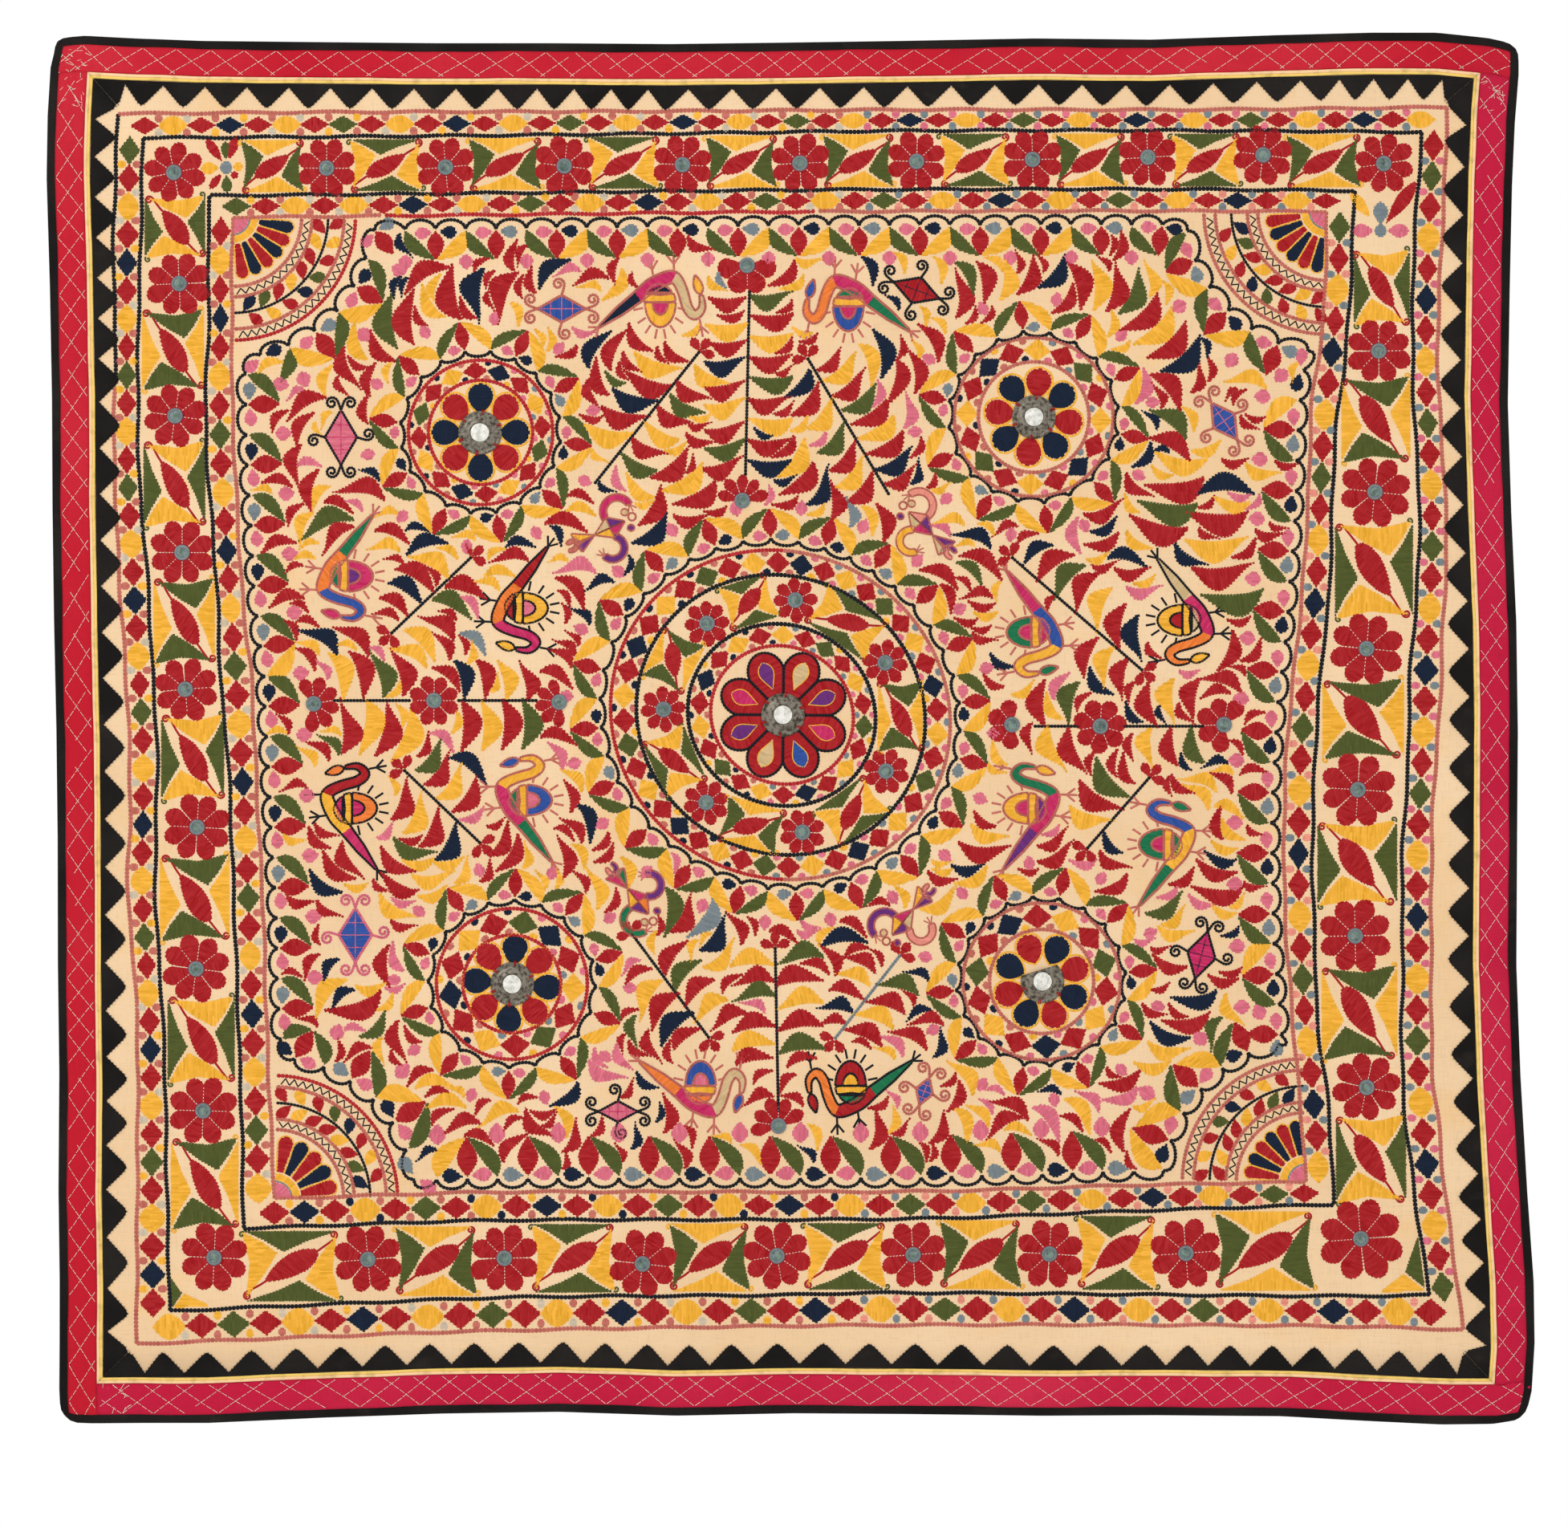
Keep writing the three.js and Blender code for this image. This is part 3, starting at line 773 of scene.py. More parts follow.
@dataclass
class QuiltedBorder:
    """The quilted red border, four lengths butted round the corners."""

    cell: float = 5.2
    rows: int = 18
    lozenge_along: float = 37.0
    lozenge_across: float = 26.0
    puff: float = 1.3
    quilt_from: float = 10.8
    tucked: float = 1.8
    tucked_end: float = 2.3

    def ends(self, side: Side) -> tuple[float, float, float]:
        """Gives the ends of a side's length.

        Args:
            side: The side.

        Returns:
            Where it starts, where it stops, and its inner edge.
        """
        sizes = SIDES[side]
        first = self.tucked_end if sizes.starts_bound else SEAM + SIDES[sizes.before].inset
        last = self.tucked_end if sizes.ends_bound else SEAM + SIDES[sizes.after].inset
        return first, sizes.length - last, SEAM + sizes.inset

    def drift(self, side: Side, along: np.ndarray) -> np.ndarray:
        """Gives the quilter's uneven spacing along a side."""
        turn = 1.7 * list(Side).index(side)
        return 8.0 * np.sin(along / 118.0 + turn) + 4.0 * np.sin(along / 47.0 + 2.3 * turn)

    def lattice(self, side: Side, along: np.ndarray, inward: np.ndarray) -> tuple[np.ndarray, np.ndarray]:
        """Counts places on the quilting lattice, in whole numbers along its lines.

        Args:
            side: The side.
            along: Lengths from the side's first end.
            inward: Distances in from the outer edge.

        Returns:
            The counts of the two families of lines.
        """
        first = (along + self.drift(side, along)) / self.lozenge_along
        second = (inward - self.quilt_from) / self.lozenge_across
        return first + second, first - second

    def height(self, side: Side, along: np.ndarray, inward: np.ndarray) -> np.ndarray:
        """Gives the front's height, puffed between the quilting lines.

        Args:
            side: The side.
            along: Lengths from the side's first end.
            inward: Distances in from the outer edge.

        Returns:
            The heights.
        """
        first, second = self.lattice(side, along, inward)
        inner = SEAM + SIDES[side].inset
        free = np.clip((inward - self.quilt_from) / 4.0, 0, 1) * np.clip((inner - 1.0 - inward) / 4.0, 0, 1)
        lumps = np.abs(np.sin(np.pi * first)) * np.abs(np.sin(np.pi * second))
        pucker = 0.3 * np.sin(along / 5.3 + inward / 6.1) * np.sin(along / 17.0)
        return CLOTH + free * lumps * (self.puff + pucker)

    def build(self, side: Side) -> bpy.types.Object:
        """Makes the length of a side.

        Args:
            side: The side.

        Returns:
            The piece.
        """
        first, last, inner = self.ends(side)
        bm = bmesh.new()
        columns = round((last - first) / self.cell)
        bmesh.ops.create_grid(bm, x_segments=columns, y_segments=self.rows, size=0.5)
        flat = grid_places(bm)
        along = first + (flat[:, 0] + 0.5) * (last - first)
        inward = self.tucked + (flat[:, 1] + 0.5) * (inner - self.tucked)
        set_places(bm, FORM.lift(*FORM.on_side(side, along, inward), self.height(side, along, inward)))
        face_room(bm)
        finish = CRIMSON if side in (Side.RIGHT, Side.BOTTOM) else RED
        piece = SHOP.keep_bmesh(bm, f"quilted_red_{side.value}", finish)
        thicken(piece, CLOTH)
        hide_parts(f"red_border_{side.value}")
        return piece


class SectionPoint(NamedTuple):
    """A corner of a strip's section."""

    inward: float
    height: float


@dataclass
class SweptStrip:
    """A mitred strip of one rounded section along a side."""

    name: str
    section: Sequence[SectionPoint]
    on_seam: bool
    cell: float = 8.0

    def build(self, side: Side, finish: object, wobble: float) -> bpy.types.Object:
        """Makes the strip of a side.

        Args:
            side: The side.
            finish: Its cloth.
            wobble: How far hand sewing moves it in and out.

        Returns:
            The piece.
        """
        sizes = SIDES[side]
        own = sizes.inset if self.on_seam else 0.0
        start = MITRE_CLEAR + (SIDES[sizes.before].inset if self.on_seam else 0.0)
        stop = MITRE_CLEAR + (SIDES[sizes.after].inset if self.on_seam else 0.0)
        count = len(self.section)
        bm = bmesh.new()
        bmesh.ops.create_grid(bm, x_segments=round(sizes.length / self.cell), y_segments=count, size=0.5)
        roll = bm.loops.layers.uv.new("roll")
        flat = grid_places(bm)
        corner = np.rint((flat[:, 1] + 0.5) * count).astype(int) % count
        points = np.array(self.section)[corner]
        share = flat[:, 0] + 0.5
        inward = points[:, 0]
        along = (inward + start) * (1 - share) + (sizes.length - inward - stop) * share
        ends = np.clip(np.minimum(share, 1 - share) * 40, 0, 1)
        sway = wobble * ends * (np.sin(along / 31.0) + 0.6 * np.sin(along / 12.7 + 1.0))
        inner = inward > self.section[0].inward * 0.3
        places = FORM.lift(*FORM.on_side(side, along, inward + own + np.where(inner, sway, 0)), points[:, 1])
        for face in bm.faces:
            for loop in face.loops:
                loop[roll].uv = (loop.vert.co.x + 0.5, loop.vert.co.y + 0.5)
        set_places(bm, places)
        bmesh.ops.remove_doubles(bm, verts=bm.verts, dist=1e-6)
        bmesh.ops.holes_fill(bm, edges=[edge for edge in bm.edges if edge.is_boundary])
        bmesh.ops.recalc_face_normals(bm, faces=bm.faces)
        return SHOP.keep_bmesh(bm, f"{self.name}_{side.value}", finish)


BINDING_SECTION = [SectionPoint(*row) for row in (
    (9.6, 1.9), (9.7, 2.3), (9.5, 2.75), (8.6, 2.9), (5.0, 2.75), (1.8, 2.85), (0.6, 2.5), (0.05, 1.6),
    (0.05, 0.0), (0.6, -0.9), (1.8, -1.25), (5.0, -1.2), (8.8, -1.3), (9.6, -0.9), (9.5, -0.3),
    (1.5, -0.3), (1.0, 0.2), (1.0, 1.5), (1.5, 1.9),
)]


def piping_section() -> list[SectionPoint]:
    """Gives the section of two rolls side by side.

    Returns:
        Its corners.
    """
    low, roll = CLOTH + GAP, PIPING_WIDTH / 4
    turns = np.linspace(math.pi, 0, 8)
    over = [SectionPoint(SEAM + roll + roll * math.cos(turn),
                         low + 0.05 + PIPING_HEIGHT * 0.96 * math.sin(turn))
            for turn in turns]
    second = [SectionPoint(point.inward + 2 * roll, point.height) for point in over[1:]]
    return [*over, *second]


@dataclass
class EdgeTrims:
    """The black binding and the twin piping, a strip of each to a side."""

    binding: SweptStrip = field(default_factory=lambda: SweptStrip("bound_edge", BINDING_SECTION, False))
    piping: SweptStrip = field(default_factory=lambda: SweptStrip("twin_piping", piping_section(), True))

    def build(self, side: Side) -> None:
        """Makes both strips of a side.

        Args:
            side: The side.
        """
        bound = self.binding.build(side, BLACK, 0.35)
        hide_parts(f"binding_{side.value}")
        rolls = self.piping.build(side, PIPING, 0.3)
        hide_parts(f"piping_{side.value}")


@dataclass
class DogToothStrip:
    """The black strip sewn over the ground with a row of teeth."""

    rows: int = 7
    steps: int = 5
    rounded: float = 2.2

    def corners(self, side: Side) -> np.ndarray:
        """Gives the zigzag's corners.

        Args:
            side: The side.

        Returns:
            Rows of (along, inward).
        """
        sizes = SIDES[side]
        stations = np.array(TOOTH_STATIONS[side], float)
        tips = np.interp(np.arange(stations[-1, 0] + 1), stations[:, 0], stations[:, 1])
        notches = np.concatenate(([tips[0] - FIRST_NOTCH_BACK], (tips[1:] + tips[:-1]) / 2,
                                  [tips[-1] + FIRST_NOTCH_BACK]))
        along = np.empty(2 * len(tips) + 3)
        inward = np.where(np.arange(len(along)) % 2 == 0, TOOTH_TIP, TOOTH_NOTCH)
        along[0] = TOOTH_TIP + SIDES[sizes.before].inset + MITRE_CLEAR
        along[-1] = sizes.length - TOOTH_TIP - SIDES[sizes.after].inset - MITRE_CLEAR
        along[1::2], along[2:-1:2] = notches, tips
        return np.stack((along, inward), axis=1)

    def edge(self, side: Side, shift: float = 0.0) -> np.ndarray:
        """Gives the tooth edge as a finely stepped line.

        Args:
            side: The side.
            shift: How far it is moved inward.

        Returns:
            Rows of (along, inward).
        """
        corners = self.corners(side)
        counts = np.arange(0, len(corners) - 1 + 1e-6, 1 / self.steps)
        along = np.interp(counts, np.arange(len(corners)), corners[:, 0])
        inward = np.interp(counts, np.arange(len(corners)), corners[:, 1])
        near = np.abs(counts - np.rint(counts))
        inward -= np.where((np.rint(counts) % 2 == 0) & (near < 0.5 / self.steps), self.rounded, 0)
        return np.stack((along, inward + shift), axis=1)

    def build(self, side: Side) -> bpy.types.Object:
        """Makes the strip of a side.

        Args:
            side: The side.

        Returns:
            The piece.
        """
        sizes = SIDES[side]
        line = self.edge(side)
        outer = SEAM + PIPING_WIDTH + GAP
        bm = bmesh.new()
        bmesh.ops.create_grid(bm, x_segments=len(line) - 1, y_segments=self.rows, size=0.5)
        flat = grid_places(bm)
        column = np.rint((flat[:, 0] + 0.5) * (len(line) - 1)).astype(int)
        share = flat[:, 1] + 0.5
        inward = outer + share * (line[column, 1] - outer)
        shift_first = SIDES[sizes.before].inset + MITRE_CLEAR
        shift_last = SIDES[sizes.after].inset + MITRE_CLEAR
        along = np.where(column == 0, inward + shift_first, line[column, 0])
        along = np.where(column == len(line) - 1, sizes.length - inward - shift_last, along)
        fold = np.clip((1 - share) * 5, 0, 1)
        ripple = 0.2 * np.sin(along / 9.0) * np.sin(along / 23.0 + 1)
        height = CLOTH + GAP + TRIM * (0.62 + 0.38 * fold) + ripple * fold
        set_places(bm, FORM.lift(*FORM.on_side(side, along, inward + sizes.inset), height))
        face_room(bm)
        piece = SHOP.keep_bmesh(bm, f"dog_tooth_{side.value}", BLACK)
        thicken(piece, TRIM * 0.6)
        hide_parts(f"tooth_strip_{side.value}")
        flat = ((sizes.length - 2 * outer) * MM, (TOOTH_TIP - outer) * MM)
        share = ((TOOTH_TIP + TOOTH_NOTCH) / 2 - outer) / (TOOTH_TIP - outer)
        return piece


class Medallion(NamedTuple):
    """A boss's name and place, and whether a piece of its rim is lost."""

    name: str
    x: float
    z: float
    broken: bool


# Bosses, where their solids stand
BOSSES = [
    Medallion("centre", -3, -775, False),
    Medallion("top_left", -352, -450, False),
    Medallion("top_right", 286, -432, False),
    Medallion("bottom_left", -315, -1085, False),
    Medallion("bottom_right", 296, -1082, True),
]


def seat(x: float, z: float) -> Matrix:
    """Gives the stand of a turned piece on the worked face, its axis along the cloth's normal.

    Args:
        x: Place across.
        z: Place up.

    Returns:
        The stand, from millimetres with the axis along +Z to metres.
    """
    probe = 4.0
    across = FORM.back(np.array((x - probe, x + probe)), np.array((z, z)))
    up = FORM.back(np.array((x, x)), np.array((z - probe, z + probe)))
    outward = Vector(((across[1] - across[0]) / (2 * probe), -1.0,
                      (up[1] - up[0]) / (2 * probe))).normalized()
    depth = float(FORM.back(np.array(x), np.array(z))) - CLOTH
    turn = Matrix.Rotation(math.pi / 2, 4, "X")
    lean = Vector((0, -1, 0)).rotation_difference(outward).to_matrix().to_4x4()
    return Matrix.Translation(Vector((x, depth, z)) * MM) @ lean @ turn @ Matrix.Scale(MM, 4)


def spin_profile(bm: bmesh.types.BMesh, profile: Pairs, steps: int) -> list[bmesh.types.BMVert]:
    """Spins a profile of (radius, height) fully round the Z axis.

    Args:
        bm: The mesh to add to.
        profile: The profile's corners.
        steps: Steps of the turn.

    Returns:
        The new corners.
    """
    before = set(bm.verts)
    verts = [bm.verts.new((radius, 0.0, height)) for radius, height in profile]
    edges = [bm.edges.new(pair) for pair in zip(verts, verts[1:])]
    bmesh.ops.spin(bm, geom=verts + edges, cent=(0, 0, 0), axis=(0, 0, 1), angle=2 * math.pi, steps=steps,
                   use_merge=True)
    new = [vert for vert in bm.verts if vert not in before]
    bmesh.ops.remove_doubles(bm, verts=new, dist=1e-3)
    return [vert for vert in bm.verts if vert not in before]


@dataclass
class MetalBoss:
    """A stamped metal boss with beaded rims and a fluted collar round a mirror."""

    steps: int = 48
    flutes: int = 24
    flute_depth: float = 0.3
    break_offset: float = 13.2
    break_tilt: float = 17.0
    profile: Pairs = (
        (9.4, 0.3), (24.2, 0.3), (25.0, 0.6), (25.2, 1.0), (24.9, 1.7), (24.2, 2.05), (23.4, 2.1),
        (22.5, 1.75), (21.8, 1.5), (20.2, 1.65), (18.4, 2.0), (16.9, 3.2), (15.4, 4.3), (13.8, 5.0),
        (12.9, 5.2), (12.2, 5.2), (11.5, 4.9), (11.2, 4.6), (11.2, 2.6), (9.4, 2.6), (9.4, 0.3),
    )
    beads: Sequence[tuple[float, float, float, int]] = ((23.5, 2.0, 0.95, 44), (20.4, 1.6, 0.7, 40),
                                                       (12.6, 4.9, 0.55, 30))

    def build(self, row: Medallion) -> bpy.types.Object:
        """Makes one boss.

        Args:
            row: Its place.

        Returns:
            The piece.
        """
        bm = bmesh.new()
        for vert in spin_profile(bm, self.profile, self.steps):
            radius = math.hypot(vert.co.x, vert.co.y)
            if 13.0 < radius < 18.0 and vert.co.z > 2.0:
                turn = math.atan2(vert.co.y, vert.co.x)
                vert.co.z += self.flute_depth * (math.cos(self.flutes * turn) - 1) / 2
        for radius, height, size, count in self.beads:
            for index in range(count):
                turn = 2 * math.pi * index / count
                spot = Matrix.Translation((radius * math.cos(turn), radius * math.sin(turn), height))
                bmesh.ops.create_icosphere(bm, subdivisions=2, radius=size, matrix=spot)
        bmesh.ops.recalc_face_normals(bm, faces=bm.faces)
        if row.broken:
            lean = math.radians(self.break_tilt)
            normal = Vector((-math.sin(lean), math.cos(lean), 0))
            cut = bmesh.ops.bisect_plane(bm, geom=[*bm.verts, *bm.edges, *bm.faces],
                                         plane_co=normal * self.break_offset, plane_no=normal,
                                         clear_outer=True)
            rims = [item for item in cut["geom_cut"] if isinstance(item, bmesh.types.BMEdge)]
            bmesh.ops.holes_fill(bm, edges=rims)
        bmesh.ops.transform(bm, matrix=seat(row.x, row.z), verts=bm.verts)
        piece = SHOP.keep_bmesh(bm, f"metal_boss_{row.name}", METAL)
        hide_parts(f"boss_{row.name}")
        return piece


@dataclass
class BossMirror:
    """A round mirror held in a boss."""

    steps: int = 40
    profile: Pairs = ((0.0, 2.9), (10.9, 2.9), (10.9, 3.9), (10.6, 4.25), (10.1, 4.35), (6.0, 4.4),
                      (0.0, 4.4))

    def build(self, row: Medallion) -> bpy.types.Object:
        """Makes one mirror.

        Args:
            row: Its place.

        Returns:
            The piece.
        """
        bm = bmesh.new()
        spin_profile(bm, self.profile, self.steps)
        bmesh.ops.recalc_face_normals(bm, faces=bm.faces)
        bmesh.ops.transform(bm, matrix=seat(row.x, row.z), verts=bm.verts)
        piece = SHOP.keep_bmesh(bm, f"boss_mirror_{row.name}", SILVER)
        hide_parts(f"mirror_{row.name}")
        return piece


@dataclass
class FlowerMirrors:
    """The small mirrors of the flowers: glass discs under padded rings that stitches hold down."""

    steps: int = 20
    glass: Pairs = ((0.0, 0.2), (6.6, 0.2), (6.6, 0.95), (6.2, 1.15), (3.5, 1.25), (0.0, 1.25))
    ring: Pairs = ((5.8, 0.3), (8.7, 0.3), (8.7, 0.8), (8.2, 1.5), (7.3, 1.8), (6.4, 1.6), (5.9, 1.15),
                   (5.8, 0.3))

    def build(self, spots: Sequence[np.ndarray], nodes: Sequence[str]) -> None:
        """Makes the glass and the rings of all the mirrors.

        Args:
            spots: Their places as (x, z).
            nodes: The plain mirrors they stand for.
        """
        for name, profile, finish, slot in (("flower_rings", self.ring, RIM_COTTON, "mirror_rim"),
                                            ("flower_glasses", self.glass, CLOUDED_GLASS_PAINTED_REFLECTION, None)):
            bm = bmesh.new()
            for x, z in spots:
                new = spin_profile(bm, profile, self.steps)
                bmesh.ops.transform(bm, matrix=seat(float(x), float(z)), verts=new)
            bmesh.ops.recalc_face_normals(bm, faces=bm.faces)
            piece = SHOP.keep_bmesh(bm, name, finish)
            if slot:
                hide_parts(*nodes)


class StitchForm(NamedTuple):
    """Corners of a straight stitch: along it, across it, which are raised or carried over, and its faces."""

    along: tuple[float, ...]
    side: tuple[float, ...]
    raised: tuple[float, ...]
    carried: tuple[float, ...]
    faces: list[tuple[int, ...]]


LAID = StitchForm((0, 0, 0.5, 1, 1), (0.5, -0.5, 0, 0.5, -0.5), (0, 0, 1, 0, 0), (0, 0, 1, 0, 0),
                  [(0, 1, 2), (1, 4, 2), (4, 3, 2), (3, 0, 2)])
CARRIED = StitchForm((0, 0.08, 0.08, 0.08, 0.92, 0.92, 0.92, 1), (0, 0.5, 0, -0.5, 0.5, 0, -0.5, 0),
                     (0, 0, 1, 0, 0, 1, 0, 0), (0, 1, 1, 1, 1, 1, 1, 0),
                     [(0, 3, 2), (0, 2, 1), (3, 6, 5, 2), (2, 5, 4, 1), (7, 5, 6), (7, 4, 5)])


class ChainGauge(NamedTuple):
    """A chain stitch: the length and width of a link and the thickness of its floss."""

    link: float
    width: float
    floss: float


class LineGauge(NamedTuple):
    """A running or back stitch: its length, the cloth left between stitches, its width and its height."""

    length: float
    gap: float
    width: float
    rise: float = 0.7


# Gauges of the chains and lines
FRAME_CHAIN = ChainGauge(4.5, 6.0, 2.8)
RING_CHAIN = ChainGauge(4.3, 5.4, 2.5)
FAN_CHAIN = ChainGauge(4.4, 5.2, 2.4)
FAN_STEM_CHAIN = ChainGauge(3.8, 3.9, 1.9)
VINE_CHAIN = ChainGauge(3.9, 4.8, 2.5)
STEM_CHAIN = ChainGauge(3.8, 4.4, 2.2)
PETAL_CHAIN = ChainGauge(3.8, 4.0, 1.9)
BIRD_CHAIN = ChainGauge(3.2, 3.5, 1.7)
KITE_CHAIN = ChainGauge(3.4, 3.9, 2.0)
CURL_CHAIN = ChainGauge(3.2, 3.8, 2.0)
TUMBLER_CHAIN = ChainGauge(3.0, 2.8, 1.3)
PETAL_GAP_LINE = LineGauge(2.2, 1.6, 0.9, 1.0)
TENDRIL_LINE = LineGauge(2.4, 0.0, 2.2)
STALK_LINE = LineGauge(2.6, 0.0, 2.6)
LEAF_CURL_LINE = LineGauge(2.4, 0.0, 2.4)
FAN_LINE = LineGauge(3.0, 0.0, 1.8)
FAN_RIM_LINE = LineGauge(3.2, 0.0, 1.5)
HALO_LINE = LineGauge(3.2, 0.0, 2.3)
HEART_LINE = LineGauge(3.0, 0.0, 1.3, 0.8)
CROSS_LINE = LineGauge(3.0, 0.0, 1.3, 0.9)
BIRD_LINE = LineGauge(3.0, 0.0, 2.6)
FINGER_LINE = LineGauge(2.6, 0.0, 1.7)


@dataclass
class Needle:
    """Works the stitches of one piece of embroidery and joins them as one mesh."""

    name: str
    seed: int
    pitch: float = 1.85
    strand: float = 3.0
    overlap: float = 0.9
    rise: float = 0.95
    back_over: float = 1.12
    bars: dict[Thread, list[tuple]] = field(default_factory=dict)
    loops: dict[Thread, list[tuple]] = field(default_factory=dict)
    links: dict[Thread, list[tuple]] = field(default_factory=dict)

    def __post_init__(self) -> None:
        """Seeds the unevenness of the handwork."""
        self.luck = np.random.default_rng(self.seed)

    def stitch(self, thread: Thread, start: Sequence[float], end: Sequence[float], width: float = 0.0,
               rise: float = 0.0, base: float = 0.0, arch: float = 0.0) -> None:
        """Lays one straight stitch.

        Args:
            thread: Its floss.
            start: Where it comes up.
            end: Where it goes down.
            width: Its width, or 0 for a strand of the fills.
            rise: Its height, or 0 for that of the fills.
            base: Height of what it lies on above the cloth.
            arch: How far its middle is carried over something.
        """
        shade = min(15, max(0, int(self.luck.normal(7.5, 3.2))))
        row = (*start, *end, width or self.strand, rise or self.rise, base, arch, shade)
        rows = self.loops if arch else self.bars
        rows.setdefault(thread, []).append(row)

    def fill(self, thread: Thread, outline: np.ndarray, lay: float, ragged: float = 0.55,
             longest: float = 14.0, base: float = 0.0) -> None:
        """Fills an outline with close parallel stitches, their ends a little ragged.

        Args:
            thread: The floss.
            outline: Corners as rows of (x, z).
            lay: Direction of the stitches in radians.
            ragged: How far alternate ends overrun.
            longest: Longest stitch before it is split.
            base: Height of what it lies on above the cloth.
        """
        way, cross = np.array((math.cos(lay), math.sin(lay))), np.array((-math.sin(lay), math.cos(lay)))
        u, v = outline @ way, outline @ cross
        u2, v2 = np.roll(u, -1), np.roll(v, -1)
        rows = max(2, round((v.max() - v.min()) / self.pitch))
        for row, level in enumerate(v.min() + (np.arange(rows) + 0.5) * (v.max() - v.min()) / rows):
            hit = (v <= level) != (v2 <= level)
            ends = np.sort(u[hit] + (level - v[hit]) / (v2[hit] - v[hit]) * (u2[hit] - u[hit]))
            for first, last in zip(ends[::2], ends[1::2]):
                over = ragged * (1.0 if row % 2 else -0.3)
                first, last = first - over + self.luck.normal(0, 0.2), last + over + self.luck.normal(0, 0.2)
                if last - first < 1.0:
                    continue
                parts = math.ceil((last - first) / longest)
                cuts = np.linspace(first, last, parts + 1)
                cuts[1:-1] += (0.22 if row % 2 else -0.22) * (last - first) / parts
                for low, high in zip(cuts - self.overlap * (cuts > first),
                                     cuts[1:] + self.overlap * (cuts[1:] < last)):
                    self.stitch(thread, low * way + level * cross, high * way + level * cross, base=base)

    def chain(self, thread: Thread, path: np.ndarray, gauge: ChainGauge, base: float = 0.0) -> None:
        """Works chain stitch along a path.

        Args:
            thread: The floss.
            path: Corners as rows of (x, z).
            gauge: The size of its links.
            base: Height of what it lies on above the cloth.
        """
        spots = along_path(path, gauge.link)
        for start, end in zip(spots, spots[1:]):
            shade = min(15, max(0, int(self.luck.normal(7.5, 3.0))))
            row = (*start, *end, gauge.width, gauge.floss, self.rise, base, shade)
            self.links.setdefault(thread, []).append(row)

    def line(self, thread: Thread, path: np.ndarray, gauge: LineGauge, base: float = 0.0) -> None:
        """Works a line of running or back stitch along a path.

        Args:
            thread: The floss.
            path: Corners as rows of (x, z).
            gauge: The size of its stitches.
            base: Height of what it lies on above the cloth.
        """
        step = gauge.length + gauge.gap
        spots = along_path(path, step)
        for start, end in zip(spots, spots[1:]):
            stop = start + (end - start) * (gauge.length / step if gauge.gap else self.back_over)
            self.stitch(thread, start, stop, gauge.width, gauge.rise, base)

    def _bar_mesh(self, rows: np.ndarray, thread: Thread, form: StitchForm = LAID) -> StitchMesh:
        """Shapes straight stitches.

        Args:
            rows: The stitches as they were laid.
            thread: Their floss.
            form: The form of each.

        Returns:
            Their corners, map places and faces.
        """
        start, end = rows[:, None, 0:2], rows[:, None, 2:4]
        width, rise, base, arch, shade = (rows[:, None, index] for index in range(4, 9))
        run = end - start
        run = run / np.maximum(np.linalg.norm(run, axis=-1, keepdims=True), 1e-6)
        left = np.stack((-run[..., 1], run[..., 0]), axis=-1)
        along, side, raised, carried = (np.array(row, float) for row in form[:4])
        flat = start + (end - start) * along[:, None] + left * (side * width)[..., None]
        height = CLOTH + base + arch * carried + rise * raised
        spots = FLOSS.spot(thread, shade, 0.5 + side, along)
        return FORM.point(flat[..., 0], flat[..., 1], height), spots, form.faces

    def _loop_mesh(self, rows: np.ndarray, thread: Thread) -> StitchMesh:
        """Shapes stitches that are carried over something, like `_bar_mesh`."""
        return self._bar_mesh(rows, thread, CARRIED)

    def _link_mesh(self, rows: np.ndarray, thread: Thread) -> StitchMesh:
        """Shapes chain links, each a ridged ring of six sides that dips to its middle.

        Args:
            rows: The links as they were laid.
            thread: Their floss.

        Returns:
            Their corners, map places and faces.
        """
        start, end = rows[:, None, 0:2], rows[:, None, 2:4]
        width, floss, rise, base, shade = (rows[:, None, index] for index in range(4, 9))
        run = end - start
        length = np.linalg.norm(run, axis=-1)
        run = run / np.maximum(length, 1e-6)[..., None]
        left = np.stack((-run[..., 1], run[..., 0]), axis=-1)
        turn = np.append(np.repeat(np.arange(6) * math.pi / 3, 2), 0.0)
        ring = np.append(np.tile((0.5, 0.0), 6), -0.5)
        spread = np.append(np.ones(12), 0.0)
        reach = (0.58 * length - floss / 2 + 0.3 + floss * ring) * np.cos(turn) * spread
        aside = (width / 2 - floss / 2 + floss * ring) * np.sin(turn) * spread
        flat = (start + end) / 2 + run * reach[..., None] + left * aside[..., None]
        height = CLOTH + base + rise * (ring == 0)
        # The middle corner maps to a strand's edge, so painted shade darkens each link's dip
        spots = FLOSS.spot(thread, shade, 0.5 - ring, np.append(np.repeat(np.arange(6) / 6, 2), 0.5))
        faces = []
        for step in range(6):
            here, there = 2 * step, 2 * ((step + 1) % 6)
            faces += [(here, there, there + 1, here + 1), (here + 1, there + 1, 12)]
        return FORM.point(flat[..., 0], flat[..., 1], height), spots, faces

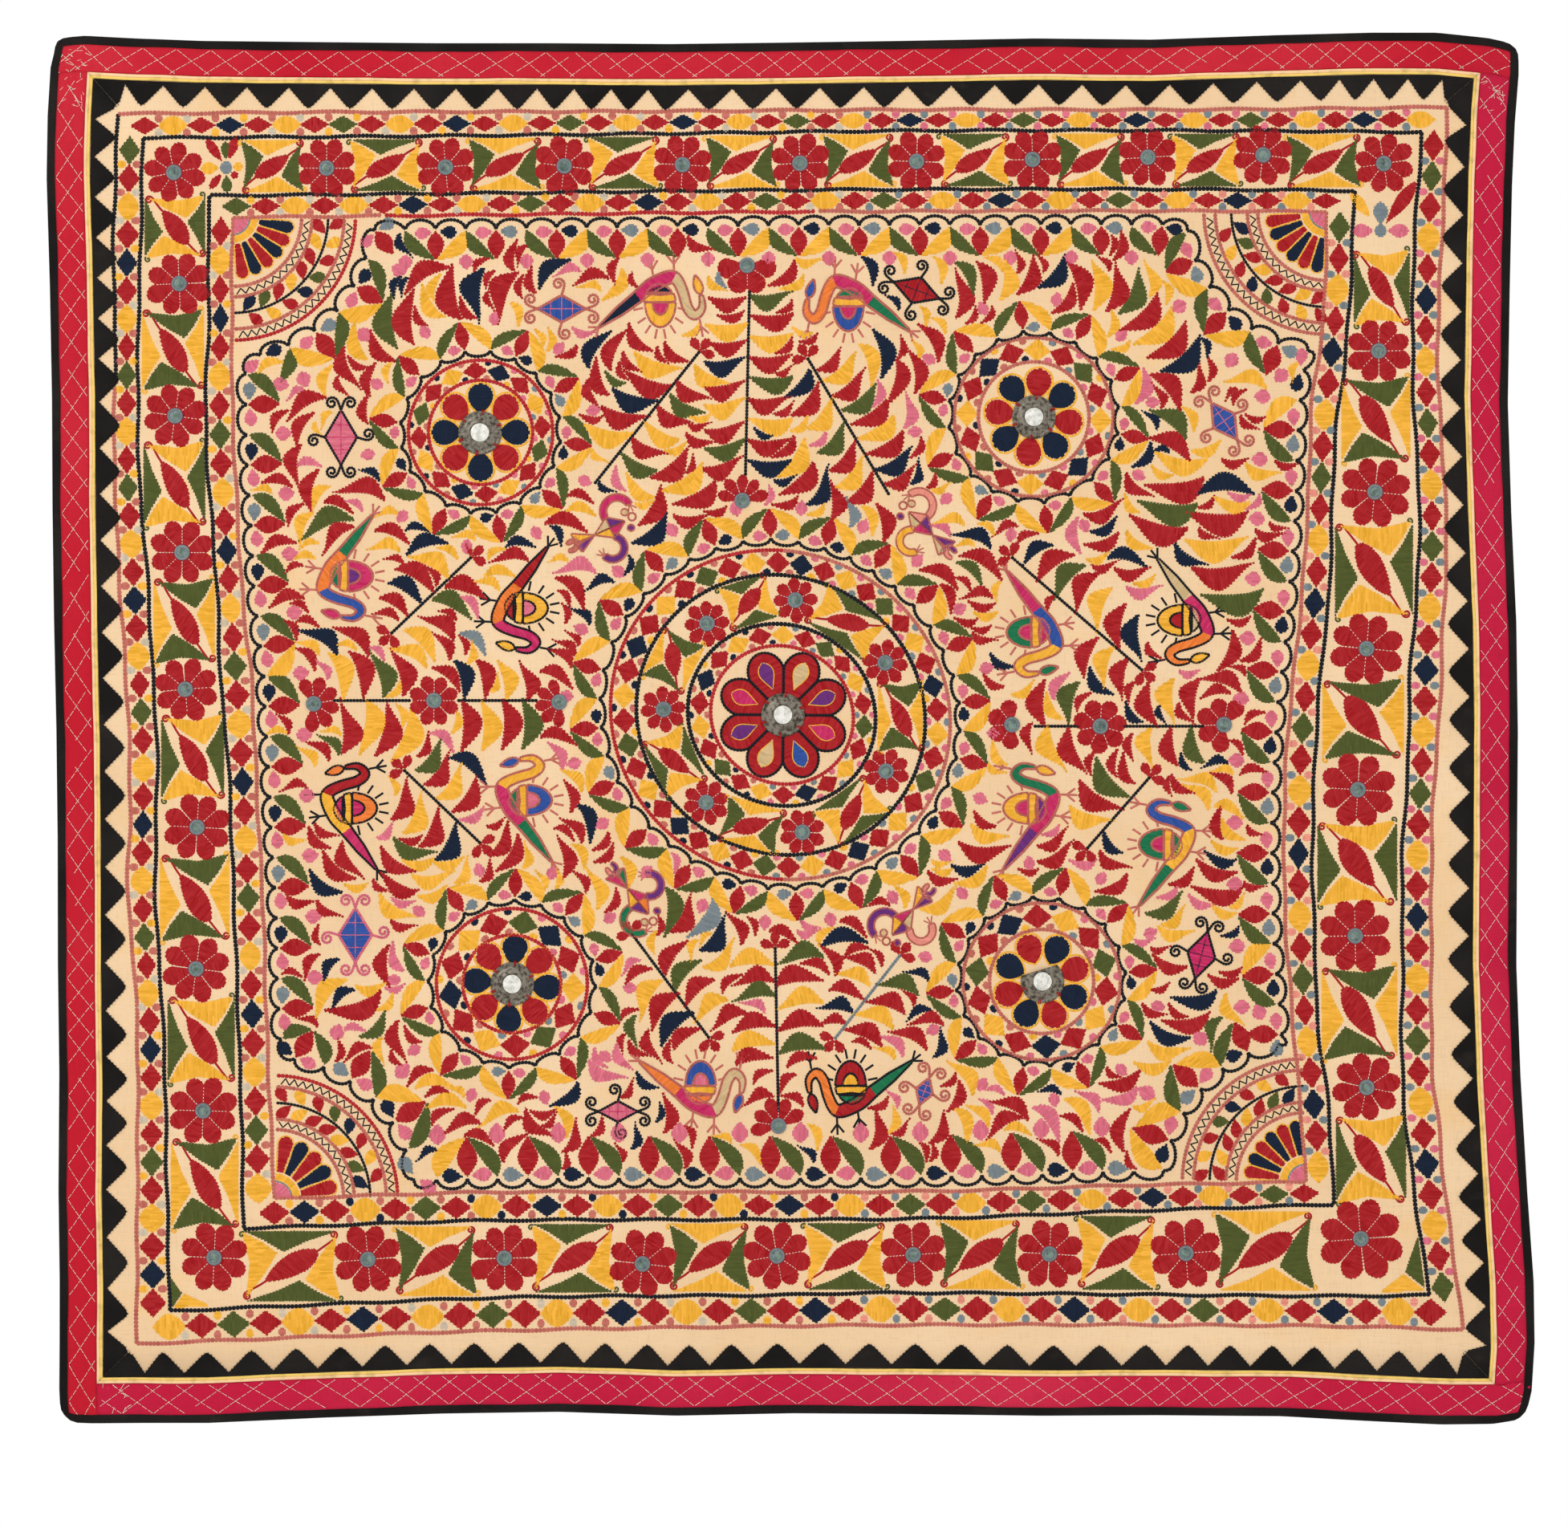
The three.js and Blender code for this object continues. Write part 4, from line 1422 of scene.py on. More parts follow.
    def build(self) -> bpy.types.Object:
        """Joins all the stitches.

        Returns:
            The piece.
        """
        corners, spots, loops, sizes = [], [], [], []
        first = 0
        kinds = ((self.bars, self._bar_mesh), (self.loops, self._loop_mesh), (self.links, self._link_mesh))
        for rows_by_thread, maker in kinds:
            for thread, rows in rows_by_thread.items():
                points, places, faces = maker(np.array(rows, float), thread)
                count, each = points.shape[0], points.shape[1]
                pattern = np.concatenate([np.array(face) for face in faces])
                starts = first + each * np.arange(count)[:, None]
                loops.append((starts + pattern).ravel())
                sizes.append(np.tile([len(face) for face in faces], count))
                corners.append(points.reshape(-1, 3))
                spots.append(places.reshape(-1, 2))
                first += each * count
        corner, spot = np.concatenate(corners), np.concatenate(spots)
        loop, size = np.concatenate(loops), np.concatenate(sizes)
        mesh = bpy.data.meshes.new(self.name)
        mesh.vertices.add(len(corner))
        mesh.vertices.foreach_set("co", corner.ravel())
        mesh.loops.add(len(loop))
        mesh.loops.foreach_set("vertex_index", loop)
        mesh.polygons.add(len(size))
        mesh.polygons.foreach_set("loop_start", np.concatenate(((0,), np.cumsum(size)[:-1])))
        mesh.update(calc_edges=True)
        mesh.uv_layers.new(name="OFBake").data.foreach_set("uv", spot[loop].ravel())
        mesh.validate()
        return SHOP.keep(mesh, FLOSS)


def along_path(path: np.ndarray, step: float) -> np.ndarray:
    """Gives evenly spaced places along a path, close to a step apart.

    Args:
        path: Corners as rows of (x, z).
        step: The spacing.

    Returns:
        The places, both ends among them.
    """
    path = np.asarray(path, float)
    far = np.concatenate(((0,), np.cumsum(np.linalg.norm(np.diff(path, axis=0), axis=1))))
    at = np.linspace(0, far[-1], max(2, round(far[-1] / step) + 1))
    return np.stack((np.interp(at, far, path[:, 0]), np.interp(at, far, path[:, 1])), axis=1)


def smooth_path(points: Sequence[Sequence[float]], steps: int = 8) -> np.ndarray:
    """Draws a smooth curve through places.

    Args:
        points: The places.
        steps: Steps between two of them.

    Returns:
        The curve's corners.
    """
    spots = np.array(points, float)
    ends = np.vstack((2 * spots[0] - spots[1], spots, 2 * spots[-1] - spots[-2]))
    share = np.arange(steps)[:, None] / steps
    curve = []
    for a, b, c, d in zip(ends, ends[1:], ends[2:], ends[3:]):
        curve.append(0.5 * (2 * b + (c - a) * share + (2 * a - 5 * b + 4 * c - d) * share**2
                            + (3 * b - a - 3 * c + d) * share**3))
    return np.vstack((*curve, spots[-1:]))


def turned(degrees: float) -> np.ndarray:
    """Gives the unit direction of a bearing, 0 to the right and 90 up."""
    return np.array((math.cos(math.radians(degrees)), math.sin(math.radians(degrees))))


def bearing(way: np.ndarray) -> float:
    """Gives the direction of a vector in radians."""
    return math.atan2(way[1], way[0])


def pointed(start: np.ndarray, end: np.ndarray, left: float, right: float, peak: float = 0.5,
            blunt: float = 0.85) -> np.ndarray:
    """Outlines a leaf between two tips.

    Args:
        start: First tip.
        end: Second tip.
        left: How far it swells to the left of its run.
        right: How far it swells to the right; below 0 hollows that edge.
        peak: Where along its run it is widest.
        blunt: How full it is; 1 for a sine, less for fuller.

    Returns:
        The outline.
    """
    share = np.linspace(0, 1, 12)
    swell = np.sin(math.pi * share ** (math.log(0.5) / math.log(peak))) ** blunt
    run = np.asarray(end, float) - start
    aside = np.array((-run[1], run[0])) / np.linalg.norm(run)
    middle = start + share[:, None] * run
    return np.vstack((middle + aside * (left * swell)[:, None],
                      (middle - aside * (right * swell)[:, None])[-2:0:-1]))


def closed(outline: np.ndarray) -> np.ndarray:
    """Takes an outline back to its first corner."""
    return np.vstack((outline, outline[:1]))


def disc(middle: np.ndarray, radius: float, steps: int = 14) -> np.ndarray:
    """Outlines a disc."""
    turn = np.linspace(0, 2 * math.pi, steps, endpoint=False)
    return middle + radius * np.stack((np.cos(turn), np.sin(turn)), axis=1)


def arc(middle: np.ndarray, radius: float, first: float, last: float, steps: int = 48) -> np.ndarray:
    """Gives an arc between two bearings in degrees."""
    turn = np.radians(np.linspace(first, last, steps))
    return middle + radius * np.stack((np.cos(turn), np.sin(turn)), axis=1)


def curl(start: np.ndarray, way: np.ndarray, reach: float, radius: float, hand: int,
         turns: float = 1.4) -> np.ndarray:
    """Gives a tendril that runs out and curls up.

    Args:
        start: Where it leaves.
        way: Unit direction it leaves in.
        reach: How far it runs before the curl.
        radius: Radius of the curl.
        hand: 1 curls to the left, -1 to the right.
        turns: Turns of the curl.

    Returns:
        The tendril's corners.
    """
    aside = hand * np.array((-way[1], way[0]))
    middle = start + reach * way + radius * aside
    turn = np.linspace(0, 2 * math.pi * turns, 22)
    shrink = radius * (1 - 0.72 * turn / turn[-1])
    spiral = middle + shrink[:, None] * (np.sin(turn)[:, None] * way - np.cos(turn)[:, None] * aside)
    return np.vstack((start[None], spiral))


class Lines(NamedTuple):
    """A chain-stitched frame line, charted along its four sides."""

    top: tuple
    right: tuple
    bottom: tuple
    left: tuple

    def side(self, side: Side) -> np.ndarray:
        """Gives a side's places, top and bottom from the left, the others from the top."""
        return np.array([chart(*spot) for spot in getattr(self, side.value)])


# Frame lines, charted from the outside in
OUTER_ROSE = Lines(
    ((147, 142), (420, 140), (800, 139), (1150, 137), (1500, 137), (1803, 134)),
    ((1803, 134), (1800, 224), (1796, 305), (1791, 411), (1792, 489), (1797, 567), (1802, 680), (1797, 787),
     (1794, 881), (1789, 944), (1784, 1037), (1783, 1236), (1784, 1333), (1791, 1391), (1798, 1469),
     (1822, 1656)),
    ((171, 1674), (420, 1664), (650, 1657), (1120, 1651), (1620, 1651), (1822, 1656)),
    ((147, 142), (141, 321), (144, 403), (142, 558), (145, 644), (149, 731), (154, 800), (161, 923),
     (162, 1027), (159, 1113), (167, 1199), (172, 1302), (172, 1450), (171, 1674)),
)
OUTER_BLACK = Lines(
    ((178, 172), (480, 170), (800, 167), (1150, 163), (1500, 163), (1772, 165)),
    ((1772, 165), (1763, 286), (1760, 380), (1761, 505), (1768, 620), (1766, 725), (1756, 850), (1755, 944),
     (1747, 1069), (1748, 1197), (1746, 1294), (1750, 1391), (1760, 1469), (1767, 1528), (1781, 1613)),
    ((212, 1633), (420, 1624), (650, 1616), (960, 1614), (1120, 1611), (1620, 1614), (1781, 1613)),
    ((178, 172), (175, 321), (172, 421), (173, 593), (182, 696), (187, 782), (191, 854), (196, 941),
     (194, 1044), (194, 1130), (201, 1233), (206, 1337), (208, 1450), (212, 1633)),
)
INNER_BLACK = Lines(
    ((262, 244), (600, 241), (1000, 237), (1400, 236), (1687, 238)),
    ((1687, 238), (1683, 349), (1675, 452), (1664, 536), (1659, 640), (1656, 741), (1647, 819), (1641, 897),
     (1637, 975), (1635, 1069), (1636, 1119), (1639, 1197), (1641, 1275), (1652, 1352), (1658, 1430),
     (1661, 1500)),
    ((304, 1530), (480, 1524), (650, 1520), (1120, 1519), (1400, 1509), (1661, 1500)),
    ((262, 244), (259, 321), (261, 386), (257, 472), (257, 558), (265, 662), (272, 765), (275, 854),
     (284, 941), (288, 1027), (292, 1130), (296, 1233), (299, 1320), (302, 1400), (304, 1530)),
)
INNER_ROSE = Lines(
    ((290, 271), (600, 268), (1000, 264), (1400, 263), (1653, 264)),
    ((1653, 264), (1650, 374), (1644, 436), (1634, 505), (1630, 617), (1622, 741), (1614, 819), (1606, 897),
     (1601, 975), (1600, 1080), (1602, 1158), (1608, 1236), (1614, 1313), (1621, 1391), (1626, 1472)),
    ((343, 1493), (500, 1488), (650, 1485), (1120, 1485), (1400, 1477), (1626, 1472)),
    ((290, 271), (289, 321), (289, 438), (290, 524), (296, 644), (301, 731), (308, 800), (313, 841),
     (318, 941), (323, 1044), (328, 1130), (331, 1233), (335, 1337), (338, 1400), (343, 1493)),
)
INWARD = {Side.TOP: 270.0, Side.BOTTOM: 90.0, Side.LEFT: 0.0, Side.RIGHT: 180.0}


def midway(first: Lines, second: Lines, side: Side, count: int) -> np.ndarray:
    """Gives evenly spaced places halfway between two frame lines.

    Args:
        first: One line.
        second: The other.
        side: The side.
        count: How many places.

    Returns:
        The places.
    """
    lines = []
    for line in (first, second):
        path = line.side(side)
        lines.append(along_path(path, np.linalg.norm(np.diff(path, axis=0), axis=1).sum() / (count - 1)))
    return (lines[0] + lines[1]) / 2


def band_at(first: Lines, second: Lines, side: Side, spot: np.ndarray) -> tuple[np.ndarray, float]:
    """Finds the middle of a band between two frame lines, and half its width.

    Args:
        first: One line.
        second: The other.
        side: The side.
        spot: A place in the band.

    Returns:
        The middle of the band beside the place, and half the band's width.
    """
    along, across = (0, 1) if side in (Side.TOP, Side.BOTTOM) else (1, 0)
    levels = []
    for line in (first, second):
        path = line.side(side)
        path = path[np.argsort(path[:, along])]
        levels.append(np.interp(spot[along], path[:, along], path[:, across]))
    middle = np.array(spot, float)
    middle[across] = sum(levels) / 2
    return middle, abs(levels[0] - levels[1]) / 2


class LozengeRow(NamedTuple):
    """A side's lozenges: their flosses in order, the dots beside yellow ones and the warm dots at right."""

    side: Side
    colours: str
    beside: Thread
    warm_right: Thread


@dataclass
class LozengeBands:
    """Two bands of lozenges, tip to tip, with dots at their joints, between the frame lines."""

    fill: float = 0.81
    top_fill: float = 0.7
    yellow_full: float = 0.86
    dot: float = 4.9
    dot_out: float = 0.61
    outer: Sequence[LozengeRow] = (
        LozengeRow(Side.TOP, "RYRNRYRG" * 5 + "RYRNRY", Thread.PALE_GREY, Thread.PINK),
        LozengeRow(Side.LEFT, "GRYRNRYRGRYR" + "GRYRNRYR" * 3 + "GRYRNR", Thread.PALE_GREY, Thread.ROSE),
        LozengeRow(Side.BOTTOM, "YRGRYRNR" * 2 + "YRGR" + "NRYRGRYR" * 2 + "NRYR", Thread.PALE_GREY,
                   Thread.SALMON),
        LozengeRow(Side.RIGHT, "RGRYRNRYRGRY" + "RGRYRNRY" * 3 + "RG", Thread.GREY, Thread.PINK),
    )
    inner: Sequence[LozengeRow] = (
        LozengeRow(Side.TOP, "GRYR" + "YRNRYRGR" * 2 + "YRGRYRNR" * 2 + "YR", Thread.PALE_GREY,
                   Thread.SALMON),
        LozengeRow(Side.LEFT, "R" + "YRNRYRGR" * 4 + "Y", Thread.PALE_GREY, Thread.ROSE),
        LozengeRow(Side.BOTTOM, "RNRYRGRY" * 3 + "RGRYRNRYRGR", Thread.NAVY, Thread.SALMON),
        LozengeRow(Side.RIGHT, "GRYRNRYR" * 3 + "GRYRNRY", Thread.GREY, Thread.SALMON),
    )
    warm_from: float = 90.0

    def work(self, needle: Needle) -> None:
        """Works both bands.

        Args:
            needle: The needle that works them.
        """
        for rows, first, second in ((self.outer, OUTER_ROSE, OUTER_BLACK),
                                    (self.inner, INNER_BLACK, INNER_ROSE)):
            for row in rows:
                path = midway(first, second, row.side, 60)
                if row.side in (Side.LEFT, Side.RIGHT):
                    path = along_path(path, 1.0)[int(13 * CHART_STEP):-int(14 * CHART_STEP)]
                self._row(needle, row, path, (first, second))

    def _row(self, needle: Needle, row: LozengeRow, path: np.ndarray, band: tuple[Lines, Lines]) -> None:
        """Works one side's row.

        Args:
            needle: The needle that works it.
            row: The row.
            path: Its middle line.
            band: The two frame lines beside it.
        """
        length = np.linalg.norm(np.diff(path, axis=0), axis=1).sum()
        joints = along_path(path, length / len(row.colours))
        inward = turned(INWARD[row.side])
        fill = self.top_fill if row.side is Side.TOP and band[0] is OUTER_ROSE else self.fill
        for index, (start, end) in enumerate(zip(joints, joints[1:])):
            thread = Thread(row.colours[index])
            swell = fill * band_at(*band, row.side, (start + end) / 2)[1] * needle.luck.normal(1, 0.04)
            shape = pointed(start, end, swell, swell, 0.5, self.yellow_full)
            if thread is not Thread.YELLOW:
                middle, aside = (start + end) / 2, np.array((-(end - start)[1], (end - start)[0]))
                aside = aside / np.linalg.norm(aside) * swell
                shape = np.array((start, middle - aside, end, middle + aside))
            needle.fill(thread, shape, math.radians(INWARD[row.side]))
            if index:
                pair = set(row.colours[index - 1:index + 1])
                out = inward * self.dot_out * band_at(*band, row.side, start)[1]
                self._dots(needle, row, start, out, pair, thread is not Thread.RED)

    def _dots(self, needle: Needle, row: LozengeRow, joint: np.ndarray, out: np.ndarray, pair: set[str],
              after_red: bool) -> None:
        """Works the two dots of a joint.

        Args:
            needle: The needle that works them.
            row: The row.
            joint: Where two lozenges meet.
            out: How far the dots lie from it.
            pair: The flosses of the two lozenges.
            after_red: Whether the first of the two is red.
        """
        cool = joint[0] > self.warm_from
        warm = row.warm_right if cool else Thread.ROSE
        other = (Thread.GREY if cool else row.beside) if "Y" in pair or cool else Thread.YELLOW
        order = (warm, other) if after_red else (other, warm)
        for thread, way in zip(order, (-1, 1)):
            spot = joint + out * way
            shape = disc(spot, self.dot * CHART_STEP, 10)
            needle.fill(thread, shape, math.radians(INWARD[row.side] + 90), 0.1)


@dataclass
class FrameLines:
    """The four chain-stitched frame lines round the bands."""

    black_left_to: float = 480.0
    sway: float = 0.9
    sway_every: float = 104.0
    red_top_from: float = 478.0
    red_top_to: float = 1016.0

    def work(self, needle: Needle) -> None:
        """Works the lines.

        Args:
            needle: The needle that works them.
        """
        for line, thread in ((OUTER_ROSE, Thread.ROSE), (OUTER_BLACK, Thread.BLACK),
                             (INNER_BLACK, Thread.BLACK), (INNER_ROSE, Thread.ROSE)):
            for side in Side:
                path = along_path(smooth_path(line.side(side), 6), FRAME_CHAIN.link)
                turns = np.arange(len(path)) * FRAME_CHAIN.link / self.sway_every * math.tau
                path = path + turned(INWARD[side]) * (self.sway * np.sin(turns + line.top[0][0]))[:, None]
                runs = [(thread, path)]
                if line is OUTER_ROSE and side is Side.LEFT:
                    above = path[:, 1] > chart(0, self.black_left_to)[1]
                    runs = [(Thread.BLACK, path[above]), (thread, path[~above])]
                if line is INNER_ROSE and side is Side.TOP:
                    first, last = (np.searchsorted(path[:, 0], chart(x, 0)[0])
                                   for x in (self.red_top_from, self.red_top_to))
                    runs = [(thread, path[:first]), (Thread.SCARLET, path[first:last]), (thread, path[last:])]
                for floss, run in runs:
                    needle.chain(floss, run, FRAME_CHAIN)


@dataclass
class FlowerRow:
    """The band of mirror flowers, with a swirling leaf and four corner pieces in each space between."""

    radius: float = 22.0
    growth: float = 0.42
    heart: float = 9.0
    petals: int = 8
    fill: float = 0.88
    tuck: float = 8.0
    lens: float = 10.0
    lens_band: float = 32.0
    rim_stitches: int = 30

    def petal(self, middle: np.ndarray, way: np.ndarray, heart: float, reach: float,
              spread: float) -> np.ndarray:
        """Outlines a petal that fills its wedge and ends in a round cap.

        Args:
            middle: The flower's heart.
            way: Unit direction of the petal.
            heart: Radius of the heart in chart steps.
            reach: Radius of the flower in chart steps.
            spread: Angle of the wedge in degrees.

        Returns:
            The outline.
        """
        cap_from, slope = 0.68 * reach, 0.985 * math.tan(math.radians(spread / 2))
        straight, cap = np.linspace(heart, cap_from, 4), np.linspace(0, math.pi / 2, 6)[1:]
        far = np.concatenate((straight, cap_from + (reach - cap_from) * np.sin(cap)))
        half = np.concatenate((straight * slope, cap_from * slope * np.cos(cap)))
        edge = np.vstack((np.stack((far, half), axis=1), np.stack((far, -half), axis=1)[-2::-1]))
        return middle + CHART_STEP * (edge[:, :1] * way + edge[:, 1:] * np.array((-way[1], way[0])))

    def flower(self, needle: Needle, middle: np.ndarray, radius: float, petals: int, turn: float,
               spread: float = 45.0, heart: float = 9.0) -> None:
        """Works a red flower of broad petals round a mirror, with a running-stitch line in each gap.

        Args:
            needle: The needle that works it.
            middle: Its heart.
            radius: Its radius in chart steps.
            petals: How many petals.
            turn: Bearing of the first petal in degrees.
            spread: Angle from petal to petal in degrees.
            heart: Radius of the heart in chart steps.
        """
        for index in range(petals):
            way = turned(turn + index * spread + needle.luck.normal(0, 1.2))
            outline = self.petal(middle, way, heart, radius * needle.luck.normal(1, 0.025), spread)
            needle.fill(Thread.RED, outline, bearing(way) + math.pi / 2, 0.35)
            if index + 1 < petals or petals * spread > 359:
                gap = turned(turn + (index + 0.5) * spread) * CHART_STEP
                ends = np.array((middle + gap * (heart + 2), middle + gap * radius * 0.74))
                needle.line(Thread.WHITE, ends, PETAL_GAP_LINE)

    def heart_rim(self, needle: Needle, middle: np.ndarray, thread: Thread = Thread.GREY) -> None:
        """Works the close stitches that hold a mirror down.

        Args:
            needle: The needle that works them.
            middle: The mirror's middle.
            thread: Their floss.
        """
        for index in range(self.rim_stitches):
            way = turned(index * 360 / self.rim_stitches)
            needle.stitch(thread, middle + way * 5.7, middle + way * 9.2, 1.5, 0.4, 0.2, 1.35)

    def space(self, needle: Needle, place: "Spot", swap: bool) -> None:
        """Works the swirling leaf and the corner pieces of one space.

        Args:
            needle: The needle that works it.
            place: The space's own frame, 1 at its edges.
            swap: Whether yellow and green change places.
        """
        along, across = (Thread.GREEN, Thread.YELLOW) if swap else (Thread.YELLOW, Thread.GREEN)
        pieces = (
            (along, ((-1.0, 0.96), (-0.62, 0.7), (-0.3, 0.38), (-0.52, -0.15), (-0.92, -0.9), (-0.84, 0.1)),
             0.0),
            (across, ((-0.94, 1.0), (0.0, 1.0), (0.9, 1.0), (0.3, 0.72), (-0.16, 0.42), (-0.56, 0.76)), 90.0),
            (along, ((1.0, -0.96), (0.62, -0.7), (0.3, -0.38), (0.52, 0.15), (0.92, 0.9), (0.84, -0.1)), 0.0),
            (across, ((0.94, -1.0), (0.0, -1.0), (-0.9, -1.0), (-0.3, -0.72), (0.16, -0.42), (0.56, -0.76)),
             90.0),
        )
        for thread, outline, lay in pieces:
            needle.fill(thread, place.out(outline), place.lay(lay), 0.7)
        for hand in (1, -1):
            corner = place.out(((-0.96 * hand, 0.98 * hand),))[0]
            tendril = curl(corner, place.way((-hand, 0.35 * hand)), 2.0, 3.4, 1, 1.0)
            needle.line(across, tendril, TENDRIL_LINE)
        middle = smooth_path(((-0.92, -0.74), (-0.62, -0.52), (-0.36, -0.27), (0, 0.02), (0.36, 0.27),
                              (0.62, 0.52), (0.9, 0.8)), 5)
        path = place.out(middle)
        share = np.linspace(0, 1, len(path))
        body = (share > 0.22) & (share < 0.8)
        part = (share[body] - 0.22) / 0.58
        grown = max(1.0, float(np.linalg.norm(place.up)) / (self.lens_band * CHART_STEP))
        thick = self.lens * grown * CHART_STEP * np.sin(math.pi * part) ** 0.9 * (0.75 + 0.5 * part)
        way = np.gradient(path[body], axis=0)
        aside = np.stack((-way[:, 1], way[:, 0]), axis=1) / np.linalg.norm(way, axis=1)[:, None]
        upper, lower = path[body] + aside * thick[:, None], path[body] - aside * thick[:, None]
        needle.fill(Thread.RED, np.vstack((upper, lower[::-1])), place.lay(-45), 0.6)
        needle.line(Thread.RED, path[share <= 0.26], STALK_LINE)
        needle.line(Thread.RED, path[share >= 0.76], STALK_LINE)
        for end, before in ((path[0], path[2]), (path[-1], path[-3])):
            out = (end - before) / np.linalg.norm(end - before)
            needle.line(Thread.RED, curl(end, out, 1.0, 4.6, 1), LEAF_CURL_LINE)


@dataclass(frozen=True)
class Spot:
    """A motif's own frame: its middle, its two unit directions and their lengths."""

    middle: tuple[float, float]
    right: tuple[float, float]
    up: tuple[float, float]

    @staticmethod
    def at(x: float, y: float, degrees: float = 0.0, step: float = CHART_STEP, flip: bool = False) -> "Spot":
        """Gives a frame in chart steps at a charted place."""
        right = turned(degrees) * step * (-1 if flip else 1)
        return Spot(tuple(chart(x, y)), tuple(right), tuple(turned(degrees + 90) * step))

    def out(self, points: Sequence[Sequence[float]]) -> np.ndarray:
        """Puts places of the motif on the cloth."""
        spots = np.asarray(points, float)
        return np.array(self.middle) + spots[:, :1] * np.array(self.right) + spots[:, 1:] * np.array(self.up)

    def way(self, vector: Sequence[float]) -> np.ndarray:
        """Gives the unit direction on the cloth of a vector of the motif."""
        run = vector[0] * np.array(self.right) + vector[1] * np.array(self.up)
        return run / np.linalg.norm(run)

    def lay(self, degrees: float) -> float:
        """Gives the direction on the cloth, in radians, of a bearing of the motif."""
        return bearing(self.way(turned(degrees)))


class FieldPlan:
    """Keeps count of the places of the field that are already worked."""

    def __init__(self, cell: float = 2.5) -> None:
        """Starts with an empty field.

        Args:
            cell: Fineness of the plan.
        """
        self.cell = cell
        self.taken = np.zeros((700, 700), bool)
        self.corner = np.array((-850.0, -1620.0))

    def _cells(self, outline: np.ndarray, grow: float) -> tuple[np.ndarray, np.ndarray]:
        """Gives the plan's cells inside an outline grown all round.

        Args:
            outline: Corners as rows of (x, z).
            grow: How far it is grown.

        Returns:
            The cells' columns and rows.
        """
        middle = outline.mean(axis=0)
        away = outline - middle
        far = np.maximum(np.linalg.norm(away, axis=1, keepdims=True), 1e-6)
        shape = middle + away * (1 + grow / far)
        low = np.floor((shape.min(axis=0) - self.corner) / self.cell).astype(int)
        high = np.ceil((shape.max(axis=0) - self.corner) / self.cell).astype(int)
        columns, rows = (np.arange(first, last + 1) for first, last in zip(low, high))
        column, row = np.meshgrid(columns, rows, indexing="ij")
        x, z = self.corner[0] + column * self.cell, self.corner[1] + row * self.cell
        inside = np.zeros(x.shape, bool)
        for a, b in zip(shape, np.roll(shape, -1, axis=0)):
            if a[1] != b[1]:
                crosses = (a[1] > z) != (b[1] > z)
                inside ^= crosses & (x < (b[0] - a[0]) * (z - a[1]) / (b[1] - a[1]) + a[0])
        return column[inside], row[inside]

    def mark(self, outline: np.ndarray, grow: float = 0.0) -> None:
        """Marks an outline as worked."""
        self.taken[self._cells(outline, grow)] = True

    def mark_line(self, path: np.ndarray, reach: float) -> None:
        """Marks a line as worked, a reach to both sides."""
        for spot in along_path(path, reach):
            self.mark(disc(spot, reach, 8))

    def share_taken(self, outline: np.ndarray, grow: float) -> float:
        """Gives the share of a grown outline that is already worked."""
        cells = self._cells(outline, grow)
        return float(self.taken[cells].mean()) if len(cells[0]) else 1.0


class SprayLeaf(NamedTuple):
    """A leaf at a cusp: its two tips as (onward, outward), its half width, its peak and how blunt it is."""

    start: tuple[float, float]
    end: tuple[float, float]
    half: float
    peak: float
    blunt: float


